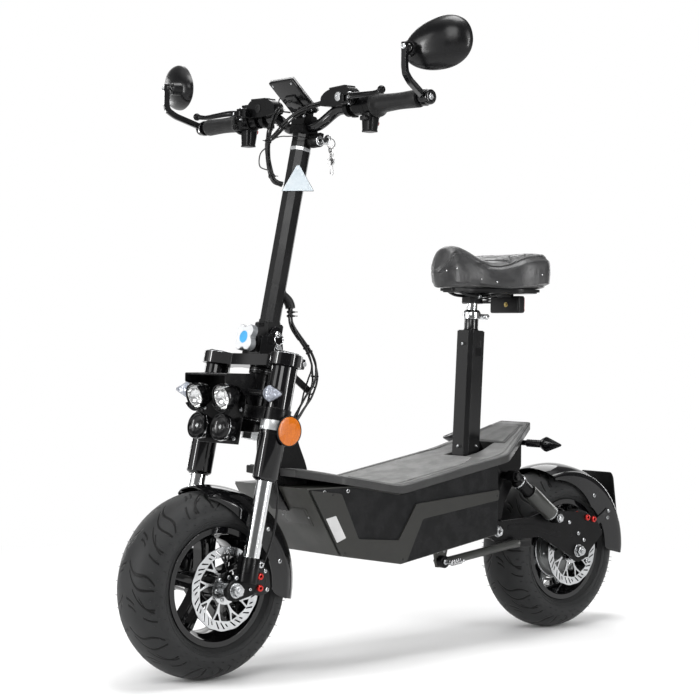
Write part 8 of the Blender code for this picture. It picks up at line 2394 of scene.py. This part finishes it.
def makeShock(side, upperNode, lowerNode):
    place, length = shockPlace(side)
    tag = "Left" if side == left else "Right"
    full = armSet["shockRadius"]
    piston = full - 0.0035
    eye = [(0.0074, -0.0118), (0.0112, -0.0118), (0.012, -0.011), (0.012, 0.011), (0.0112, 0.0118),
        (0.0074, 0.0118)]
    bm = bmesh.new()
    body = [(0, 0.116), (piston - 0.0005, 0.116), (piston, 0.1155), (piston, 0.032), (full - 0.0022, 0.03),
        (full - 0.001, 0.029), (full - 0.001, 0.0262), (full - 0.0026, 0.0254), (full - 0.0026, 0.024),
        (full - 0.001, 0.0232), (full - 0.001, 0.0182), (full - 0.002, 0.0165), (0.0122, 0.0112), (0, 0.0105)]
    add(bm, spin(body, 64), place)
    add(bm, spin(eye, 48, closed=True, along="X"), place)
    add(bm, spin(rect(0.0068, 0.0078, -0.012, 0.012), 40, closed=True, along="X"), place, 1)
    # Bright collar with its grip ribs
    add(bm, spin([(piston, 0.019), (full - 0.0008, 0.0192), (full - 0.0002, 0.0198), (full - 0.0002, 0.0222),
        (full - 0.0008, 0.0228), (piston, 0.023)], 64, closed=True), place, 1)
    for k in range(16):
        turned = place @ turnZ(22.5 * k)
        add(bm, box((0.002, 0.0022, 0.0026), (full - 0.0006, 0, 0.021), 0.0004, 1), turned, 1)
    piece("shockUpper" + tag, bm, "shock_uppers", ["satinBlack", "steel"], (upperNode,),
        bevel=0.0005)
    bm = bmesh.new()
    sleeve = full + 0.0005
    bore = piston + 0.0016
    body = [(0, length - 0.0105), (0.0118, length - 0.0112), (0.0122, length - 0.013),
        (sleeve - 0.001, 0.1545), (sleeve, 0.152), (sleeve, 0.066), (sleeve - 0.0004, 0.0652),
        (sleeve - 0.0004, 0.064), (sleeve, 0.0632), (sleeve, 0.0626), (sleeve - 0.0006, 0.062), (bore, 0.062),
        (bore, 0.146), (0, 0.146)]
    add(bm, spin(body, 72), place)
    add(bm,
        spin([(sleeve - 0.0004, 0.149), (sleeve + 0.0003, 0.1494), (sleeve + 0.0003, 0.151),
        (sleeve - 0.0004, 0.1514)], 72, closed=True), place, 1)
    lowEye = place @ at(0, 0, length)
    add(bm, spin(eye, 48, closed=True, along="X"), lowEye, 2)
    add(bm, spin(rect(0.0068, 0.0078, -0.012, 0.012), 40, closed=True, along="X"), lowEye, 1)
    piece("shockLower" + tag, bm, "shock_lowers", ["shockGrey", "steel", "satinBlack"], (lowerNode,),
        bevel=0.0005)


def makeStand():
    bm = bmesh.new()
    standY, standZ, standX = rearY - 0.436, 0.19, 0.1
    outer = 0.0898
    route = routePoints([(standX, standY + 0.004, standZ), (standX, standY + 0.06, standZ + 0.006),
        (standX, standY + 0.18, standZ + 0.019), (standX + 0.004, standY + 0.222, standZ + 0.023),
        (standX + 0.02, standY + 0.244, standZ + 0.025)], 10)
    add(bm, wire(route, lambda share: 0.009 - 0.0004 * share, 36), finish=2)
    foot = pointing(route[-1], route[-1] - route[-2])
    add(bm, spin([(0.0087, -0.024), (0.0094, -0.024), (0.0095, -0.002), (0.009, 0.0002), (0.006, 0.0006),
        (0, 0.0006), (0, -0.004), (0.0087, -0.004)], 36), foot, 3)
    place = at(0, standY, standZ)
    add(bm,
        spin([(0, outer), (0.0122, outer), (0.013, outer + 0.0008), (0.013, outer + 0.0132),
        (0.0122, outer + 0.014), (0, outer + 0.014)], 48, along="X"), place)
    add(bm, rod(0.0045, 0.076, outer + 0.002, 32, along="X"), place, 1)
    add(bm, rod(0.0085, 0.076, 0.0832, 6, along="X"), place, 1)
    screw(bm, place @ at(outer + 0.014, 0, 0) @ axisTurn["X"], 0.006, 0.0034, 1)
    gauge, springX, springY = 0.0011, standX + 0.0175, standY + 0.002
    seat = gauge + 0.0003 + 0.002
    for start, y, z in ((outer + 0.013, springY - seat, standZ - 0.001),
            (standX + 0.004, springY + 0.03 + seat, standZ + 0.002)):
        add(bm, rod(0.002, start, springX + 0.0066, 24, along="X"), at(0, y, z), 1)
        add(bm, rod(0.003, springX + 0.0055, springX + 0.0069, 24, along="X"), at(0, y, z), 1)
    piece("sideStand", bm, "kickstand", ["satinBlack", "steel", "shockGrey", "gripRubber"],
        ("kickstand",), bevel=0.0005)
    # Small bolts of the bracket that carries the stand
    bm = bmesh.new()
    for dy, dz in ((-0.0085, 0.02), (0.01, 0.02)):
        screw(bm, at(0.0893, standY + dy, standZ + dz) @ axisTurn["X"], 0.003, 0.0024, 0)
    piece("standBolts", bm, "frame", ["steel"], bevel=0)
    bm = bmesh.new()
    turns, radius = 5, 0.006
    start, run = Vector((springX, springY, standZ - 0.001)), Vector((0, 0.03, 0.003))
    points = []
    for i in range(turns * 24 + 1):
        turn = 2 * math.pi * i / 24
        spot = start + run * (i / (turns * 24))
        points.append((spot.x + radius * math.cos(turn), spot.y, spot.z + radius * math.sin(turn)))
    add(bm, wire(points, gauge, 10))
    piece("standSpring", bm, "kickstand", ["springSteel"], ("stand_spring",), bevel=0)


makePivotAxle()
makeSwingArm()
makeShock(left, "shock_upper_left", "shock_lower_left")
makeShock(right, "shock_upper_right", "shock_lower_right")
makeStand()
print("rear made")


# Cables: each loom is a bundle of thin jackets held by ties
def bundle(bm, points, spread, sizes, turnRate, start=0.0, fan=0.0):
    # Thin cables that wander round the loom's middle line
    points = [Vector(p) for p in points]
    count = len(points)
    frames = []
    side = None
    for i, point in enumerate(points):
        way = (points[min(i + 1, count - 1)] - points[max(i - 1, 0)]).normalized()
        side = way.orthogonal().normalized() if side is None else (side - way * side.dot(way)).normalized()
        frames.append((point, side.copy(), way.cross(side)))
    for number, size in enumerate(sizes):
        base = 2 * math.pi * number / len(sizes) + start
        line = []
        for i, (point, one, two) in enumerate(frames):
            share = i / (count - 1)
            turn = base + turnRate * share * math.pi + 0.5 * noise.noise(Vector((5 * share, number, start)))
            reach = spread * (0.75 + 0.45 * abs(noise.noise(Vector((4 * share, 3.7 * number, start + 9)))))
            reach += fan * math.sin(math.pi * share) ** 2 * (0.3 + 0.7 * number / len(sizes))
            line.append(point + (one * math.cos(turn) + two * math.sin(turn)) * reach)
        add(bm, wire(line, size, 10))


def tie(bm, line, spot, radius):
    # A cable tie with its head and cut tail
    place = pointing(line[spot], line[spot + 1] - line[spot - 1])
    add(bm, spin(rect(radius, radius + 0.0007, -0.0013, 0.0013), 24, closed=True), place, 1)
    add(bm, box((0.003, 0.0028, 0.003), (radius + 0.0014, 0, 0), 0.0004, 1), place, 1)
    add(bm, box((0.006, 0.0007, 0.0018), (radius + 0.0052, 0.0006, 0), 0.0002, 1), place, 1)


def makeBarLoom():
    bm = bmesh.new()
    joint = forkPoint(-0.066, -0.006, stemTop - 0.019)
    end = forkPoint(-0.0165, setback - 0.0165, stemTop - 0.105)
    leftKnots = [(0.065, gripY - 0.016, gripZ + 0.0145), (0.062, gripY - 0.0165, gripZ + 0.014),
        (0.036, gripY - 0.04, gripZ + 0.002), (0.0, gripY - 0.052, gripZ - 0.02),
        (-0.04, gripY - 0.05, gripZ - 0.044), joint, forkPoint(-0.052, -0.004, stemTop - 0.065),
        forkPoint(-0.03, setback - 0.03, stemTop - 0.099), end]
    rightKnots = [(-0.068, gripY - 0.016, gripZ + 0.0145), (-0.064, gripY - 0.0165, gripZ + 0.014),
        (-0.054, gripY - 0.036, gripZ + 0.004), (-0.06, gripY - 0.046, gripZ - 0.026), joint,
        forkPoint(-0.056, -0.002, stemTop - 0.062), forkPoint(-0.032, setback - 0.028, stemTop - 0.097), end]
    leftLine, rightLine = routePoints(leftKnots, 9), routePoints(rightKnots, 9)
    bundle(bm, leftLine, 0.0046, (0.0019, 0.0016, 0.0019, 0.0015, 0.0015), 1.8)
    bundle(bm, rightLine, 0.0044, (0.0019, 0.0016, 0.0018, 0.0014), -1.5, start=0.8)
    for line, spots, radius in ((leftLine, (16, 30, 44, 60), 0.0062), (rightLine, (14, 28), 0.0062)):
        for spot in spots:
            tie(bm, line, spot, radius)
    # The display's and the lock's own leads, and a slack loop under the joint
    lead = routePoints([(-0.062, gripY - 0.01, gripZ + 0.01), (-0.058, gripY - 0.026, gripZ + 0.026),
        (-0.04, gripY - 0.034, gripZ + 0.033), (-0.02, gripY - 0.03, gripZ + 0.024),
        (-0.006, gripY - 0.018, gripZ + 0.012),
        forkPoint(-0.006, setback - 0.012, scooter["barHeight"] + 0.026)], 9)
    add(bm, wire(lead, 0.0013, 8))
    lock = routePoints([forkPoint(0.026, lockAt[0] - 0.0115, lockAt[1] + 0.002),
        forkPoint(0.022, setback - 0.03, stemTop - 0.012),
        forkPoint(-0.002, setback - 0.036, stemTop - 0.012),
        forkPoint(-0.034, setback - 0.03, stemTop - 0.008), joint + Vector((0.004, 0, 0.004))], 9)
    add(bm, wire(lock, 0.0012, 8))
    loop = routePoints([(-0.03, gripY - 0.02, gripZ + 0.004), (-0.063, gripY - 0.023, gripZ + 0.01),
        (-0.09, gripY - 0.023, gripZ + 0.019), (-0.116, gripY - 0.023, gripZ + 0.023),
        (-0.133, gripY - 0.02, gripZ + 0.016), (-0.138, gripY - 0.014, gripZ + 0.004)], 9)
    add(bm, wire(loop, 0.0017, 10))
    slack = routePoints([joint + Vector((0.002, 0.002, -0.006)), forkPoint(-0.078, -0.01, stemTop - 0.042),
        forkPoint(-0.076, -0.008, stemTop - 0.068), forkPoint(-0.056, -0.002, stemTop - 0.076)], 9)
    add(bm, wire(slack, 0.0013, 8))
    piece("barCables", bm, "stem", ["cableJacket", "gripRubber"], ("bar_loom",), bevel=0)


def makeNeckLoom():
    # Two lengths that meet where the cable turns with the fork
    rear = setback + 0.019
    knots = [forkPoint(0, rear - 0.001, loomExit), forkPoint(0.004, rear + 0.02, loomExit - 0.019),
        Vector((0.012, frontY + 0.206, 0.679)), Vector((0.026, frontY + 0.24, 0.625)),
        Vector((0.0285, frontY + 0.252, 0.585)), Vector((0.0285, frontY + 0.24, 0.545)),
        Vector((0.032, frontY + 0.215, 0.51)), Vector((0.033, frontY + 0.19, 0.48))]
    line = routePoints(knots, 10)
    cut = 25
    bm = bmesh.new()
    bundle(bm, line[:cut + 1], 0.004, (0.0023, 0.0021, 0.0023, 0.0018), 1.0)
    sleeve = line[:13]
    add(bm, wire(sleeve, lambda share: 0.0066 + 0.0034 * min(1.0, 1.6 * share), 24), finish=1)
    for spot in (14, 16):
        tie(bm, line, spot, 0.0066)
    upper = piece("neckCablesUpper", bm, None, ["cableJacket", "gripRubber"], ("neck_loom",),
        bevel=0)
    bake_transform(upper)
    bm = bmesh.new()
    bundle(bm, line[cut:], 0.004, (0.0023, 0.0021, 0.0023, 0.0018), 1.0, fan=0.01)
    for spot in (28, 30, 42):
        tie(bm, line, spot, 0.0066)
    lower = piece("neckCablesLower", bm, None, ["cableJacket", "gripRubber"], bevel=0)
    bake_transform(lower)


def makeBrakeHose():
    start = forkPoint(legX, 0.0275, scooter["lowerCrown"] - 0.02)
    knots = [start, (0.103, frontY + 0.092, tyreRadius + 0.22), (0.104, frontY + 0.098, tyreRadius + 0.17),
        (0.104, frontY + 0.093, tyreRadius + 0.12), (0.098, frontY + 0.087, tyreRadius + 0.082),
        (0.084, frontY + 0.084, tyreRadius + 0.048), (0.08, frontY + 0.08, tyreRadius + 0.0395)]
    line = routePoints(knots, 12)
    bm = bmesh.new()
    add(bm, wire(line, 0.0021, 14))
    crimp = pointing(line[-4], line[-1] - line[-4])
    add(bm, spin([(0, -0.004), (0.0031, -0.004), (0.0034, -0.003), (0.0034, 0.0055), (0.0028, 0.0065),
        (0, 0.0065)], 24), crimp, 1)
    hose = piece("frontHose", bm, None, ["cableJacket", "steel"], ("front_brake_hose",), bevel=0)
    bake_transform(hose)


makeBarLoom()
makeNeckLoom()
makeBrakeHose()
print("cables made")

# The two boxes inside the tub keep their own form, as a merged and bevelled copy
dressed("battery_pack", "batteryWrap", 0.0012)
dressed("motor_controller", "motorAlloy", 0.0004)
print("plain nodes dressed")

# Studio: the photograph's view, soft lamps and a pale floor that the camera sees as white
studio = {
    "cameraPlace": (2.6389, -2.4983, 0.6516), "yaw": 48.24, "pitch": 0.27, "roll": 0.54, "lens": 88.62,
    "floorTone": (0.86, 0.86, 0.86), "floorSize": 12.0, "skyLevel": 0.28, "darkPanel": 0.16,
    "panels": ((-112, 33), (12, 14), (134, 28)),
}


def makeCamera():
    yaw, pitch, roll = (radians(studio[k]) for k in ("yaw", "pitch", "roll"))
    back = Vector((math.sin(yaw) * math.cos(pitch), -math.cos(yaw) * math.cos(pitch), math.sin(pitch)))
    flat = Vector((math.cos(yaw), math.sin(yaw), 0))
    up = back.cross(flat)
    across = math.cos(roll) * flat + math.sin(roll) * up
    upright = -math.sin(roll) * flat + math.cos(roll) * up
    data = bpy.data.cameras.new("studioCamera")
    data.lens = studio["lens"]
    data.sensor_width = 36
    data.sensor_fit = "HORIZONTAL"
    camera = bpy.data.objects.new("studioCamera", data)
    bpy.context.scene.collection.objects.link(camera)
    facing = Matrix((across, upright, back)).transposed().to_4x4()
    camera.matrix_world = at(*studio["cameraPlace"]) @ facing
    bpy.context.scene.camera = camera


def makeLamp(name, place, aim, size, power, sizeY=None):
    data = bpy.data.lights.new(name, "AREA")
    data.energy = power
    data.size = size
    if sizeY:
        data.shape = "RECTANGLE"
        data.size_y = sizeY
    lamp = bpy.data.objects.new(name, data)
    bpy.context.scene.collection.objects.link(lamp)
    lamp.location = place
    lamp.rotation_euler = (Vector(aim) - Vector(place)).to_track_quat("-Z", "Y").to_euler()


def makeSeenMask(tree):
    # One where a camera, glossy or transmission ray looks, and none for light that falls on the object
    rays = addNode(tree, "LightPath").outputs
    both = maths(tree, "ADD", rays["Is Camera Ray"], rays["Is Glossy Ray"])
    seen = maths(tree, "MINIMUM", maths(tree, "ADD", both, rays["Is Transmission Ray"]), 1.0)
    return seen, rays["Is Glossy Ray"]


def makeStage():
    mat = bpy.data.materials.new("paleFloor")
    mat.use_nodes = True
    tree = mat.node_tree
    shader = tree.nodes["Principled BSDF"]
    shader.inputs["Base Color"].default_value = (*studio["floorTone"], 1)
    shader.inputs["Roughness"].default_value = 0.9
    shader.inputs["Specular IOR Level"].default_value = 0.1
    seen = makeSeenMask(tree)[0]
    glow = addNode(tree, "Emission", {"Color": (1, 1, 1, 1), "Strength": 1.0})
    # The floor keeps the object's shadow near it and turns to plain white further out
    reach = addNode(tree, "VectorMath", {0: objectPlace(tree)}, operation="LENGTH").outputs["Value"]
    fade = ranged(tree, reach, 0.8, 2.0)
    mix = addNode(tree, "MixShader", {0: maths(tree, "MULTIPLY", seen, fade)})
    tree.links.new(shader.outputs[0], mix.inputs[1])
    tree.links.new(glow.outputs[0], mix.inputs[2])
    tree.links.new(mix.outputs[0], tree.nodes["Material Output"].inputs[0])
    bm = bmesh.new()
    bmesh.ops.create_grid(bm, x_segments=2, y_segments=2, size=studio["floorSize"])
    mesh = bpy.data.meshes.new("floor")
    bm.to_mesh(mesh)
    bm.free()
    mesh.materials.append(mat)
    floor = bpy.data.objects.new("floor", mesh)
    bpy.context.scene.collection.objects.link(floor)
    # White all round for the camera; metal sees the same white as three broad panels and a soft top
    sky = bpy.data.worlds.new("studioSky")
    bpy.context.scene.world = sky
    sky.use_nodes = True
    tree = sky.node_tree
    base = tree.nodes["Background"]
    base.inputs["Color"].default_value = (1, 1, 1, 1)
    seen, glossy = makeSeenMask(tree)
    way = addNode(tree, "SeparateXYZ", {0: addNode(tree, "TexCoord").outputs["Generated"]}).outputs
    around = maths(tree, "ARCTAN2", way["Y"], way["X"])
    panels = 0.0
    for centre, half in studio["panels"]:
        near = maths(tree, "COSINE", maths(tree, "SUBTRACT", around, radians(centre)))
        panel = ranged(tree, near, math.cos(radians(half + 6)), math.cos(radians(half - 4)))
        panels = maths(tree, "MAXIMUM", panels, panel)
    low = ranged(tree, way["Z"], 0.3, 0.55, 1.0, 0.0)
    top = maths(tree, "MULTIPLY", ranged(tree, way["Z"], 0.7, 0.92), 0.8)
    shown = maths(tree, "MAXIMUM", maths(tree, "MULTIPLY", panels, low), top)
    metal = ranged(tree, shown, 0.0, 1.0, studio["darkPanel"], 1.0)
    level = ranged(tree, seen, 0.0, 1.0, studio["skyLevel"], 1.0)
    change = maths(tree, "MULTIPLY", glossy, maths(tree, "SUBTRACT", 1.0, metal))
    tree.links.new(maths(tree, "SUBTRACT", level, change), base.inputs["Strength"])


makeCamera()
makeStage()
makeLamp("keyLamp", (1.9, -2.9, 2.7), (0, 0, 0.5), 1.6, 50)
makeLamp("fillLamp", (-1.2, -3.4, 2.0), (0, 0, 0.5), 1.6, 24)
makeLamp("sideLamp", (3.6, 0.6, 2.3), (0, 0, 0.5), 1.4, 24)
makeLamp("rearLamp", (-2.4, 2.2, 2.8), (0, 0, 0.5), 2.0, 36)
makeLamp("topLamp", (0.3, 0.0, 3.6), (0, 0, 0), 1.6, 84)
for count, (turn, power) in enumerate(((12.0, 56), (-103.5, 56), (96.0, 24), (180.0, 24))):
    place = (3.6 * math.cos(radians(turn)), 3.6 * math.sin(radians(turn)), 1.1)
    makeLamp("stripLamp" + "ABCD"[count], place, (0, 0, 0.7), 0.28, power, 1.9)
scene = bpy.context.scene
scene.view_settings.view_transform = "Standard"
print("studio built")
